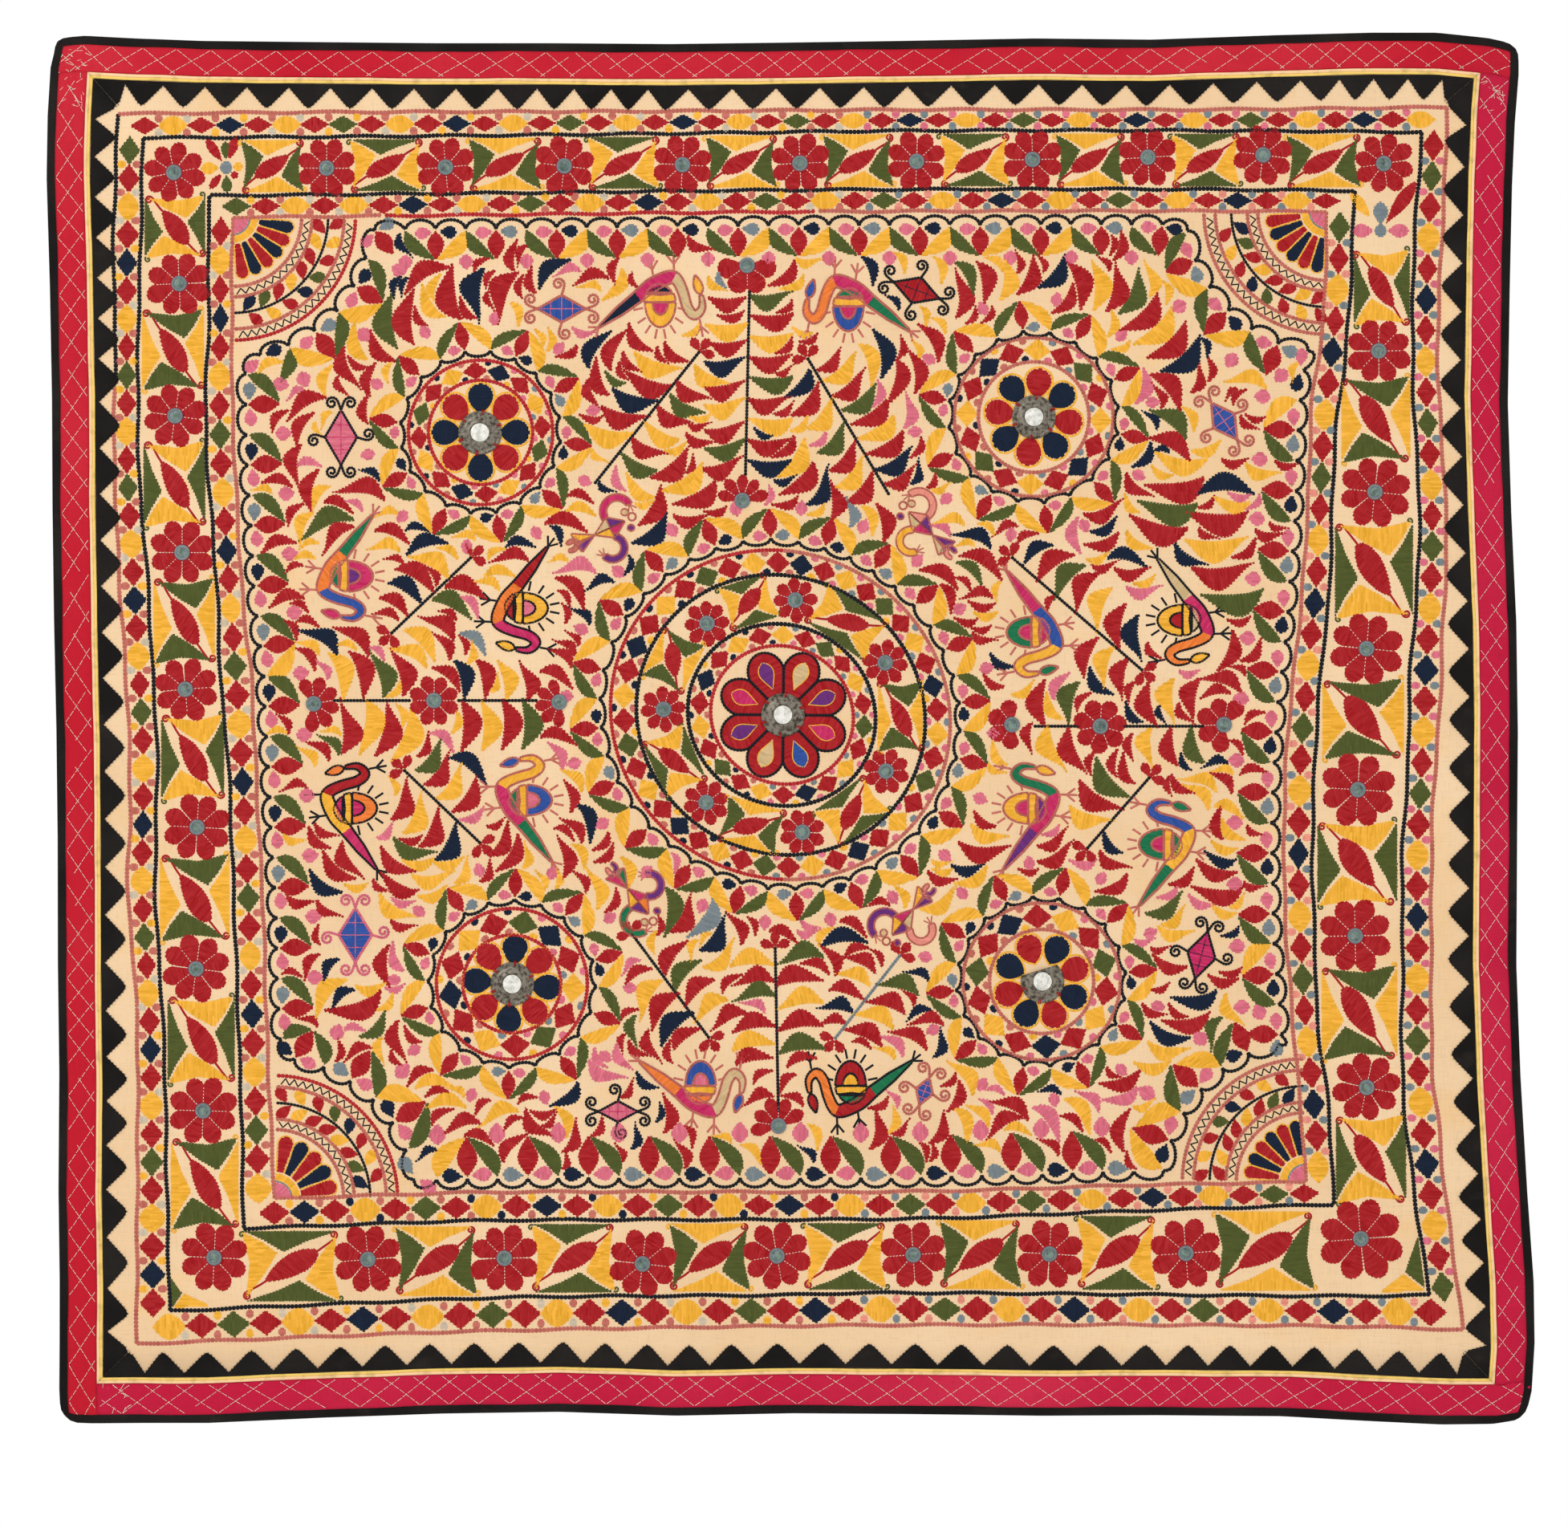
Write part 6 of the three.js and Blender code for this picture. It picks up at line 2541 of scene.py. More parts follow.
LONE_LEAVES = [LoneLeaf(*row) for row in (
    ("N", 1020, 603, 330, 60), ("R", 809, 415, 170, 50), ("G", 843, 407, 280, 34), ("R", 840, 439, 230, 44),
    ("R", 736, 345, 100, 48), ("Y", 764, 358, 330, 50), ("R", 785, 352, 200, 30), ("R", 769, 390, 300, 44),
    ("N", 739, 429, 150, 58), ("R", 739, 465, 200, 54), ("G", 764, 473, 240, 32), ("P", 769, 597, 200, 36),
    ("P", 1017, 550, 310, 30), ("N", 1096, 434, 10, 66), ("R", 1115, 478, 350, 62), ("G", 1102, 371, 30, 60),
    ("R", 978, 345, 315, 50), ("S", 898, 350, 200, 26), ("R", 1188, 365, 0, 66), ("G", 1207, 345, 30, 50),
    ("R", 528, 342, 120, 70), ("P", 586, 337, 140, 36), ("R", 658, 352, 190, 38), ("Y", 534, 378, 215, 52),
    ("Y", 443, 426, 200, 54), ("R", 472, 423, 220, 54), ("R", 427, 461, 200, 60), ("R", 467, 471, 170, 45),
    ("R", 462, 500, 180, 40), ("N", 385, 471, 90, 66), ("P", 367, 489, 120, 28), ("R", 378, 503, 120, 62),
    ("Y", 390, 534, 200, 20), ("P", 386, 577, 90, 34), ("R", 385, 610, 170, 58), ("R", 443, 603, 80, 70),
    ("G", 403, 651, 110, 78), ("R", 422, 674, 130, 58), ("R", 491, 664, 70, 50), ("Y", 478, 684, 85, 46),
    ("Y", 657, 391, 20, 46), ("Y", 662, 420, 20, 36), ("R", 707, 429, 300, 34), ("R", 634, 693, 90, 54),
    ("Y", 623, 713, 90, 42), ("N", 662, 677, 90, 46), ("R", 707, 651, 80, 58), ("Y", 726, 635, 80, 40),
    ("Y", 380, 693, 90, 30), ("R", 555, 803, 30, 44), ("S", 605, 799, 50, 52), ("N", 399, 793, 55, 66),
    ("R", 448, 799, 50, 62), ("R", 385, 819, 40, 40), ("N", 675, 824, 65, 66), ("R", 701, 816, 50, 42),
    ("P", 547, 922, 50, 40), ("R", 399, 932, 50, 42), ("G", 413, 925, 45, 40), ("R", 451, 958, 65, 58),
    ("N", 413, 963, 90, 58), ("N", 588, 955, 55, 60), ("R", 695, 915, 80, 50), ("Y", 688, 939, 75, 66),
    ("R", 713, 992, 10, 44), ("N", 734, 1021, 20, 54), ("R", 716, 1031, 40, 46), ("R", 751, 1051, 320, 34),
    ("Y", 447, 1071, 262, 58), ("G", 514, 1060, 250, 60), ("R", 418, 1083, 230, 58),
    ("N", 398, 1103, 235, 54), ("R", 486, 1104, 245, 56), ("R", 404, 1136, 235, 40), ("R", 1509, 461, 0, 34),
    ("R", 1533, 490, 130, 24), ("Y", 1470, 577, 262, 70), ("N", 1523, 606, 90, 76),
    ("R", 1533, 571, 270, 38), ("R", 1554, 537, 230, 36), ("R", 1374, 677, 290, 50),
    ("N", 1406, 695, 80, 54), ("N", 1477, 693, 235, 52), ("R", 1411, 714, 270, 50),
    ("P", 1433, 737, 270, 48), ("R", 1227, 701, 60, 64), ("G", 1211, 711, 50, 46), ("R", 1217, 740, 90, 44),
    ("Y", 1231, 764, 270, 34), ("R", 1228, 794, 250, 36), ("N", 1321, 822, 200, 42),
    ("N", 1243, 829, 240, 50), ("R", 1236, 851, 240, 34), ("Y", 1276, 849, 300, 36),
    ("N", 1409, 889, 220, 48), ("R", 1523, 847, 70, 60), ("P", 1482, 831, 270, 30),
    ("R", 1401, 958, 200, 44), ("R", 1268, 955, 270, 32), ("Y", 1241, 972, 240, 40),
    ("R", 1233, 1015, 235, 50), ("Y", 1231, 1041, 250, 54), ("R", 1230, 1061, 265, 70),
    ("N", 1205, 1083, 270, 44), ("R", 1314, 1048, 300, 48), ("R", 1411, 1012, 230, 34),
    ("R", 1470, 980, 230, 40), ("Y", 1495, 972, 70, 52), ("R", 1525, 972, 45, 42), ("Y", 1422, 987, 250, 36),
    ("R", 1517, 1025, 185, 46), ("N", 1518, 1071, 255, 44), ("R", 1510, 1108, 270, 68),
    ("G", 1454, 1131, 300, 58), ("Y", 1522, 1136, 250, 36), ("N", 1382, 1051, 220, 40),
    ("G", 837, 1125, 0, 66), ("Y", 873, 1169, 135, 24), ("Y", 845, 1313, 150, 52), ("G", 787, 1285, 180, 44),
    ("R", 810, 1314, 200, 48), ("R", 834, 1383, 0, 54), ("N", 1052, 1169, 95, 62),
    ("R", 1104, 1355, 340, 70), ("P", 1007, 1163, 270, 32), ("P", 1020, 1388, 0, 42),
    ("R", 1193, 1368, 340, 46), ("N", 1152, 1399, 0, 38), ("Y", 1209, 1396, 20, 50),
    ("N", 406, 1204, 145, 40), ("Y", 406, 1227, 140, 66), ("R", 470, 1204, 180, 58),
    ("R", 443, 1256, 290, 78), ("G", 469, 1280, 315, 50), ("P", 443, 1281, 90, 30), ("P", 366, 1254, 40, 40),
    ("R", 494, 1299, 190, 58), ("R", 544, 1360, 100, 34), ("Y", 556, 1373, 90, 54),
    ("R", 564, 1400, 105, 56), ("N", 607, 1405, 90, 58), ("R", 673, 1405, 225, 56), ("Y", 704, 1396, 20, 46),
    ("R", 739, 1405, 330, 44), ("N", 1488, 1246, 280, 62), ("R", 1478, 1275, 280, 64),
    ("G", 1510, 1298, 160, 64), ("R", 1244, 1400, 120, 58),
)]


@dataclass
class LeafSprays:
    """The field's stems and the boat-shaped leaves that crowd round them."""

    boat: tuple[float, float, float] = (0.40, 0.06, 1.2)
    crescent: tuple[float, float, float] = (0.38, 0.09, 1.1)
    stretch: float = 1.12
    uneven: float = 0.14
    overlap: float = 0.03
    margin: float = 1.1
    leans: Sequence[float] = (0.0, 26.0, -26.0)
    crowd: float = 9.0
    sizes: Sequence[float] = (58.0, 50.0, 43.0, 37.0, 32.0, 28.0)
    mixed: str = "RYRYRNRYRP"
    dots: str = "PYSDPYRN"
    dot: float = 5.6
    dot_room: float = 8.0
    sprig: float = 19.0
    sprig_half: float = 5.4
    sprig_leans: Sequence[float] = (-70.0, 0.0, 70.0)
    sprig_room: float = 17.0
    nudges: Sequence[float] = (4.0, 8.0, 12.0)
    shrinks: Sequence[float] = (1.0, 0.88, 0.75)

    def leaf(self, x: float, y: float, faces: float, length: float,
             cut: tuple[float, float, float]) -> np.ndarray:
        """Outlines a leaf.

        Args:
            x: Chart place across.
            y: Chart place down.
            faces: The way it swells, in degrees.
            length: Its length in chart steps.
            cut: Its belly, its hollow and how peaked it is.

        Returns:
            The outline.
        """
        way, run, unit = turned(faces), turned(faces - 90), CHART_STEP * length
        belly, hollow, peaked = cut
        middle = chart(x, y) - way * belly * 0.4 * unit
        peak = 0.5 + self.uneven * math.sin(x * 1.7 + y * 2.3)
        start, end = middle - run * unit / 2, middle + run * unit / 2
        return pointed(start, end, belly * unit, -hollow * unit, peak, peaked)

    def lay_leaf(self, needle: Needle, plan: FieldPlan, floss: str, x: float, y: float, faces: float,
                 length: float, cut: tuple[float, float, float]) -> None:
        """Works a leaf where the field is free, moved or made smaller if it has to be.

        Args:
            needle: The needle that works it.
            plan: The field's plan.
            floss: Letter of its floss.
            x: Chart place across.
            y: Chart place down.
            faces: The way it swells, in degrees.
            length: Its length in chart steps.
            cut: Its belly, its hollow and how peaked it is.
        """
        moves = [(0.0, 0.0)] + [tuple(turned(45 * step) * far) for far in self.nudges for step in range(8)]
        for size in self.shrinks:
            for across, down in moves:
                outline = self.leaf(x + across, y + down, faces, length * size, cut)
                if plan.share_taken(outline, 0.0) <= self.overlap:
                    needle.fill(Thread(floss), outline, math.radians(faces) + 0.12, 1.0)
                    plan.mark(outline, 1.0)
                    return

    def work(self, needle: Needle, plan: FieldPlan, field_edge: np.ndarray) -> None:
        """Works the stems, the charted leaves and those that fill the spaces left.

        Args:
            needle: The needle that works them.
            plan: The field's plan.
            field_edge: The line round the field.
        """
        for stem in STEMS:
            path = np.array((chart(stem.x, stem.y), chart(stem.to_x, stem.to_y)))
            needle.chain(stem.floss, path, STEM_CHAIN)
            plan.mark_line(path, 3.5)
            for wanted, end, other in ((stem.first_sprig, path[0], path[1]),
                                       (stem.last_sprig, path[1], path[0])):
                if wanted:
                    out = math.degrees(bearing(end - other))
                    for lean in self.sprig_leans:
                        tip = end + turned(out + lean) * self.sprig * CHART_STEP
                        petal = pointed(end, tip, self.sprig_half, self.sprig_half, 0.66, 0.7)
                        needle.fill(Thread.RED, petal, bearing(tip - end) + math.pi / 2, 0.4)
                    plan.mark(disc(end, self.sprig_room * CHART_STEP, 10))
        placed = []
        for row in SPRAYS:
            count = len(row.colours)
            for index, letter in enumerate(row.colours):
                share = index / (count - 1)
                lean = (row.to_faces - row.faces + 180) % 360 - 180
                x, y = row.x + (row.to_x - row.x) * share, row.y + (row.to_y - row.y) * share
                leaf = (letter, x, y, row.faces + lean * share, row.length * self.stretch, self.boat)
                placed.append(leaf)
        placed += [(*leaf, self.crescent) for leaf in LONE_LEAVES]
        for leaf in placed:
            self.lay_leaf(needle, plan, *leaf)
        self._crowd(needle, plan, field_edge, np.array([row[1:4] for row in placed], float))

    def _crowd(self, needle: Needle, plan: FieldPlan, field_edge: np.ndarray, charted: np.ndarray) -> None:
        """Works smaller leaves into the open places, each turned like its charted neighbours.

        Args:
            needle: The needle that works them.
            plan: The field's plan.
            field_edge: The line round the field.
            charted: Chart places of the charted leaves and the way each swells.
        """
        inside = FieldPlan()
        inside.mark(field_edge)
        low, high = field_edge.min(axis=0), field_edge.max(axis=0)
        columns, rows = (np.arange(a, b, self.crowd) for a, b in zip(low, high))
        spots = np.array([(x, z) for x in columns for z in rows])
        spots = spots[needle.luck.permutation(len(spots))]
        count = 0
        for length in self.sizes:
            for x, z in spots:
                cell = tuple(np.floor((np.array((x, z)) - plan.corner) / plan.cell).astype(int))
                if plan.taken[cell] or not inside.taken[cell]:
                    continue
                across, down = x / CHART_STEP + CHART_LEFT, CHART_TOP - z / CHART_STEP
                far = np.hypot(charted[:, 0] - across, charted[:, 1] - down)
                near = np.argsort(far)[:3]
                pull = (np.exp(1j * np.radians(charted[near, 2])) / (far[near] + 8)).sum()
                faces = math.degrees(math.atan2(pull.imag, pull.real)) + needle.luck.normal(0, 12)
                for lean in self.leans:
                    outline = self.leaf(across, down, faces + lean, length, self.crescent)
                    if plan.share_taken(outline, self.margin) == 0.0:
                        letter = self.mixed[count % len(self.mixed)]
                        needle.fill(Thread(letter), outline, math.radians(faces + lean) + 0.12, 0.9)
                        plan.mark(outline, 1.0)
                        count += 1
                        break
        for x, z in spots:
            spot = disc(np.array((x, z)), self.dot * CHART_STEP, 10)
            cell = tuple(np.floor((np.array((x, z)) - plan.corner) / plan.cell).astype(int))
            if inside.taken[cell] and plan.share_taken(spot, self.dot_room) == 0.0:
                needle.fill(Thread(self.dots[count % len(self.dots)]), spot, 0.3, 0.1)
                plan.mark(spot, 1.0)
                count += 1
        LOG.info("%d small leaves and dots fill the field", count)


class Bird(NamedTuple):
    """A peacock: its place, the way its wing's dome points, its neck's side and its flosses."""

    x: float
    y: float
    dome: float
    neck_left: bool
    edge: str
    tail: str
    body: str
    neck: str
    ring: str
    heart: str


# Birds in pairs round the great medallion
BIRDS = [Bird(*row) for row in (
    (820, 375, 270, True, "D", "N", "M", "C", "Y", "M"),
    (1060, 380, 270, False, "D", "E", "M", "O", "B", "M"),
    (432, 715, 0, False, "D", "E", "O", "B", "M", "V"), (650, 755, 0, False, "K", "R", "O", "M", "Y", "P"),
    (437, 1010, 0, True, "K", "M", "Y", "R", "O", "M"), (655, 1000, 0, True, "D", "E", "M", "Y", "B", "P"),
    (1287, 785, 180, True, "D", "M", "B", "Y", "E", "M"),
    (1475, 770, 180, True, "K", "C", "M", "O", "Y", "R"),
    (1283, 1010, 180, False, "D", "V", "M", "E", "Y", "M"),
    (1452, 1055, 180, False, "D", "E", "Y", "B", "E", "M"),
    (870, 1355, 90, False, "D", "O", "M", "C", "B", "P"),
    (1063, 1355, 90, True, "K", "E", "R", "O", "R", "Y"),
)]


@dataclass
class Peacocks:
    """The twelve birds, each with an arched neck, a long tail and a rayed, domed wing."""

    spine: Pairs = ((54, -7), (55, 9), (46, 18), (37, 9), (31, -11), (23, -27), (13, -29), (-8, -19),
                    (-25, -5), (-48, 13), (-74, 33))
    girth: Sequence[float] = (2.2, 4.0, 5.5, 5.8, 6.0, 6.6, 8.0, 8.6, 7.4, 6.0, 1.0)
    neck_to: float = 0.54
    body_to: float = 0.80
    dome: tuple[float, float] = (3.0, 2.0)
    dome_size: tuple[float, float] = (19.0, 31.0)
    rays: int = 8
    ray: float = 12.0
    feet: Sequence[tuple[float, float, float]] = ((-6, -30, 262), (20, -37, 268), (52, 23, 80))

    def work(self, needle: Needle, plan: FieldPlan) -> None:
        """Works all the birds."""
        for row in BIRDS:
            self._bird(needle, plan, row)

    def _bird(self, needle: Needle, plan: FieldPlan, row: Bird) -> None:
        """Works one bird.

        Args:
            needle: The needle that works it.
            plan: The field's plan.
            row: The bird.
        """
        place = Spot.at(row.x, row.y, row.dome - 90, CHART_STEP, row.neck_left)
        edge = Thread(row.edge)
        spine = smooth_path(self.spine, 6)
        girth = np.interp(np.linspace(0, 1, len(spine)), np.linspace(0, 1, len(self.girth)), self.girth)
        way = np.gradient(spine, axis=0)
        aside = np.stack((-way[:, 1], way[:, 0]), axis=1) / np.linalg.norm(way, axis=1)[:, None]
        upper, lower = spine + aside * girth[:, None], spine - aside * girth[:, None]
        third = (0, int(len(spine) * self.neck_to), int(len(spine) * self.body_to), len(spine) - 1)
        for (first, last), floss in zip(zip(third, third[1:]), (row.neck, row.body, row.tail)):
            part = np.vstack((upper[first:last + 1], lower[first:last + 1][::-1]))
            needle.fill(Thread(floss), place.out(part), place.lay(40), 0.1)
        shapes = [(None, np.vstack((upper, lower[::-1])), 0.1),
                  (row.tail, pointed(np.array((-15, -10)), np.array((18, -10)), 0.0, 11.0), 0.0),
                  (Thread.YELLOW.value, np.array(((-18, 1), (-15, -9), (2, -7), (20, -9), (22, 1), (3, 3))),
                   0.0),
                  (row.ring, self._dome(1.0), 0.0), (row.heart, self._dome(0.5), 0.6),
                  (row.ring, pointed(np.array((53, -8)), np.array((46, -32)), 5.4, 5.4, 0.4, 0.9), 0.0)]
        for floss, shape, base in shapes:
            outline = place.out(shape)
            if floss:
                needle.fill(Thread(floss), outline, place.lay(90), 0.1, base=base)
            needle.chain(edge, closed(outline), BIRD_CHAIN, base + 0.1)
        for turn in np.linspace(12, 168, self.rays):
            out = np.array((math.cos(math.radians(turn)), math.sin(math.radians(turn))))
            root = np.array(self.dome) + out * self.dome_size
            needle.line(edge, place.out((root + out * 3, root + out * (3 + self.ray))), BIRD_LINE)
        for x, y, lean in self.feet:
            ankle = np.array((x, y)) + turned(lean) * 9
            needle.line(edge, place.out(((x, y), ankle)), BIRD_LINE)
            self._claws(needle, place, edge, ankle, lean)
        self._claws(needle, place, edge, np.array(self.spine[-1]), 142)
        plan.mark(place.out(((-94, 40), (-60, 38), (-34, 28), (-24, 44), (4, 52), (34, 42), (46, 26),
                             (72, 30), (62, -10), (52, -46), (20, -52), (-14, -48), (-22, -20), (-56, 6),
                             (-84, 26))))

    def _dome(self, share: float) -> np.ndarray:
        """Outlines the wing's dome, or a smaller one inside it."""
        return np.array(self.dome) + arc(np.zeros(2), share, 0, 180, 16) * self.dome_size

    def _claws(self, needle: Needle, place: Spot, edge: Thread, ankle: np.ndarray, lean: float) -> None:
        """Works three short strokes that spread from one place."""
        for spread in (-38, 0, 38):
            needle.line(edge, place.out((ankle, ankle + turned(lean + spread) * 13)), BIRD_LINE)


class Kite(NamedTuple):
    """A four-cornered figure with curls: its place, lean, half sizes and flosses."""

    x: float
    y: float
    lean: float
    half_length: float
    half_width: float
    heart: str
    edge: str
    cross: str


KITES = [Kite(*row) for row in (
    (700, 385, 0, 30, 17, "B", "D", "P"), (1142, 362, -20, 30, 17, "R", "K", "N"),
    (425, 545, 90, 34, 20, "P", "K", "M"), (1525, 525, 125, 28, 16, "B", "D", "P"),
    (443, 1165, 90, 34, 21, "B", "P", "P"), (1497, 1190, 75, 30, 18, "M", "K", "N"),
    (770, 1385, 0, 24, 13, "P", "K", "M"), (1152, 1360, 70, 18, 11, "B", "D", "P"),
)]


class Tumbler(NamedTuple):
    """A tumbling figure: its waist, the way its back runs, whether it is mirrored, and its flosses."""

    x: float
    y: float
    back: float
    mirrored: bool
    body: str
    arms: str
    legs: str
    boots: str


TUMBLERS = [Tumbler(*row) for row in (
    (741, 667, 25, False, "CVMY", "MV", "YV", "DD"), (1162, 667, 136, True, "VACM", "AY", "VC", "AV"),
    (782, 1107, -51, True, "YVOM", "EV", "ME", "VA"), (1138, 1133, -129, True, "MYVC", "VA", "YV", "VA"),
)]


@dataclass
class KitesAndTumblers:
    """Curled kite figures, and four small tumbling ones near the great medallion."""

    curl_radius: float = 8.0
    curl_reach: float = 12.0
    arm_hubs: Pairs = ((38, 15), (14, -24))
    arm_radii: Sequence[float] = (17.5, 14.5)
    arm_turns: Pairs = ((188, 5), (62, -160))
    arm_half: float = 4.2
    leg_tips: Sequence[tuple] = (((-26, 14), (-25, 1)), ((-26, -2.6), (-22.5, -13)))
    boot: tuple[float, float] = (8.0, 2.6)

    def work(self, needle: Needle, plan: FieldPlan) -> None:
        """Works all of them.

        Args:
            needle: The needle that works them.
            plan: The field's plan.
        """
        for row in KITES:
            place = Spot.at(row.x, row.y, row.lean)
            long, wide = row.half_length, row.half_width
            shape = place.out(((-long, 0), (0, -wide), (long, 0), (0, wide)))
            needle.fill(Thread(row.heart), shape, place.lay(90), 0.1)
            for part in (-0.45, 0.0, 0.45):
                high = wide * (1 - abs(part))
                bar = place.out(((part * long, -high), (part * long, high)))
                needle.line(Thread(row.cross), bar, CROSS_LINE, 0.3)
            needle.line(Thread(row.cross), place.out(((-long, 0), (long, 0))), CROSS_LINE, 0.3)
            needle.chain(Thread(row.edge), closed(shape), KITE_CHAIN, 0.1)
            plan.mark(shape, 6.0)
            for corner, way, hand in (((long, 0), (1, 0.35), 1), ((long, 0), (1, -0.35), -1),
                                      ((-long, 0), (-1, 0.35), -1), ((-long, 0), (-1, -0.35), 1),
                                      ((0, wide), (0.3, 1), 1), ((0, -wide), (-0.3, -1), 1)):
                reach, radius = self.curl_reach * CHART_STEP, self.curl_radius * CHART_STEP
                path = curl(place.out((corner,))[0], place.way(way), reach, radius, hand)
                needle.chain(Thread(row.edge), path, CURL_CHAIN)
                plan.mark(disc(path[1:].mean(axis=0), 11 * CHART_STEP, 10))
        for figure in TUMBLERS:
            self._tumbler(needle, plan, figure)

    def _tumbler(self, needle: Needle, plan: FieldPlan, row: Tumbler) -> None:
        """Works one tumbling figure: a quartered body, bent arms, wedges for legs and a looped head.

        Args:
            needle: The needle that works it.
            plan: The field's plan.
            row: The figure.
        """
        edge = Thread.ROSE
        place = Spot.at(row.x, row.y, row.back + (180 if row.mirrored else 0), flip=row.mirrored)
        middle, waist = np.array((21.0, 0.0)), np.zeros(2)
        ring = (waist, (22, 14), (42, 0), (22, -14), waist)
        shapes = [(floss, np.array((middle, *pair))) for floss, pair in zip(row.body, zip(ring, ring[1:]))]
        for floss, boot, tips, hand in zip(row.legs, row.boots, self.leg_tips, (1, -1)):
            shapes.append((floss, np.array((waist, *tips))))
            radius, half = self.boot
            hub = np.mean(tips, axis=0) + turned(180 + 40 * hand) * radius
            shapes.append((boot, self._bend(hub, radius, half, 40 * hand, 40 * hand - 170 * hand)))
        for floss, hub, radius, turns in zip(row.arms, self.arm_hubs, self.arm_radii, self.arm_turns):
            shapes.append((floss, self._bend(np.array(hub), radius, self.arm_half, *turns)))
            wrist = hub + turned(turns[1]) * radius
            for spread in (-35, 0, 35):
                finger = np.array((wrist, wrist + turned(turns[1] - 90 + spread) * 10))
                needle.line(edge, place.out(finger), FINGER_LINE)
            plan.mark(place.out(disc(np.array(hub), radius + 5)))
        shapes += [("C", disc(np.array((46, 10)), 4.6, 10)), ("V", disc(np.array((45, -11)), 4.4, 9))]
        for floss, shape in shapes:
            outline = place.out(shape)
            needle.fill(Thread(floss), outline, place.lay(60), 0.05)
            needle.chain(edge, closed(outline), TUMBLER_CHAIN)
            plan.mark(outline, 3.0)
        loop = place.out(disc(np.array((52, 1)), 5.0, 10))
        needle.chain(edge, closed(loop), TUMBLER_CHAIN)
        plan.mark(loop, 3.0)

    def _bend(self, hub: np.ndarray, radius: float, half: float, first: float, last: float) -> np.ndarray:
        """Outlines a bent limb."""
        return np.vstack((arc(hub, radius + half, first, last, 14), arc(hub, radius - half, last, first, 12)))


@dataclass
class SewingLines:
    """The hand sewing of the borders: the quilting of the red, the whipped tooth edges and the boss ties."""

    dash: LineGauge = LineGauge(6.5, 1.6, 0.5, 0.4)
    missing: float = 0.35
    whip: float = 4.6
    loose: int = 16
    loose_room: float = 40.0
    ties: int = 6
    first_tie: float = 22.0
    tie: tuple[float, float] = (20.5, 27.0)

    def quilt(self, needle: Needle, border: QuiltedBorder) -> None:
        """Works the diamond lattice of running stitch over the red border.

        Args:
            needle: The needle that works it.
            border: The border that it holds.
        """
        for side in Side:
            first, last, inner = border.ends(side)
            inward = np.arange(border.quilt_from + 0.6, inner - 0.8, 1.0)
            reach = (inner - border.quilt_from) / border.lozenge_across
            low, high = first / border.lozenge_along - reach, last / border.lozenge_along + reach
            for slope in (1, -1):
                for count in np.arange(math.floor(low), math.ceil(high) + 1):
                    level = (inward - border.quilt_from) / border.lozenge_across
                    along = (count - slope * level) * border.lozenge_along
                    along = along - border.drift(side, along)
                    keep = (along > first + 3) & (along < last - 3)
                    if needle.luck.random() < self.missing:
                        gone = needle.luck.uniform(inward[0], inward[-1])
                        keep &= np.abs(inward - gone) > needle.luck.uniform(3.0, 7.0)
                    if keep.sum() < 6:
                        continue
                    x, z = FORM.place(*FORM.on_side(side, along[keep], inward[keep]))
                    needle.line(Thread.WHITE, np.stack((x, z), axis=1), self.dash, 0.4)
            self._loose_ends(needle, border, side)

    def _loose_ends(self, needle: Needle, border: QuiltedBorder, side: Side) -> None:
        """Works the stray stitches near the start of a side.

        Args:
            needle: The needle that works them.
            border: The border that they lie on.
            side: The side.
        """
        first, _, inner = border.ends(side)
        for _ in range(self.loose):
            along = first + needle.luck.uniform(4.0, self.loose_room)
            inward = needle.luck.uniform(border.quilt_from + 3.0, inner - 3.0)
            spot = np.array(FORM.place(*FORM.on_side(side, along, inward)))
            way = turned(needle.luck.uniform(0, 360)) * needle.luck.uniform(2.0, 5.0)
            needle.stitch(Thread.WHITE, spot - way, spot + way, self.dash.width, self.dash.rise, 0.6)

    def whip_teeth(self, needle: Needle, teeth: DogToothStrip) -> None:
        """Works the small stitches over the folded tooth edges.

        Args:
            needle: The needle that works them.
            teeth: The strip that they hold.
        """
        for side in Side:
            line = teeth.edge(side, SIDES[side].inset)
            x, z = FORM.place(*FORM.on_side(side, line[:, 0], line[:, 1]))
            spots = along_path(np.stack((x, z), axis=1), self.whip)
            way = turned(INWARD[side])
            for spot in spots:
                needle.stitch(Thread.BLACK, spot - way * 0.9, spot + way * 1.3, 0.8, 0.35, 0.2, 0.9)

    def tie_bosses(self, needle: Needle) -> None:
        """Works the red stitches that tie each boss down over its rim.

        Args:
            needle: The needle that works them.
        """
        for row in BOSSES:
            middle = np.array((row.x, row.z))
            for index in range(self.ties):
                turn = 360 / self.ties * index + self.first_tie
                if row.broken and turned(turn)[1] > 0.3:
                    continue
                for lean in (-2, 2):
                    start, end = (middle + turned(turn + lean) * far for far in self.tie)
                    needle.stitch(Thread.RED, start, end, 1.3, 0.5, 0.0, 2.5)


class SprigLeaf(NamedTuple):
    """A leaf of a corner sprig: the sprig's heart, and the leaf's floss, bearing, ends and half width."""

    x: float
    y: float
    floss: str
    bearing: float
    near: float
    far: float
    half: float


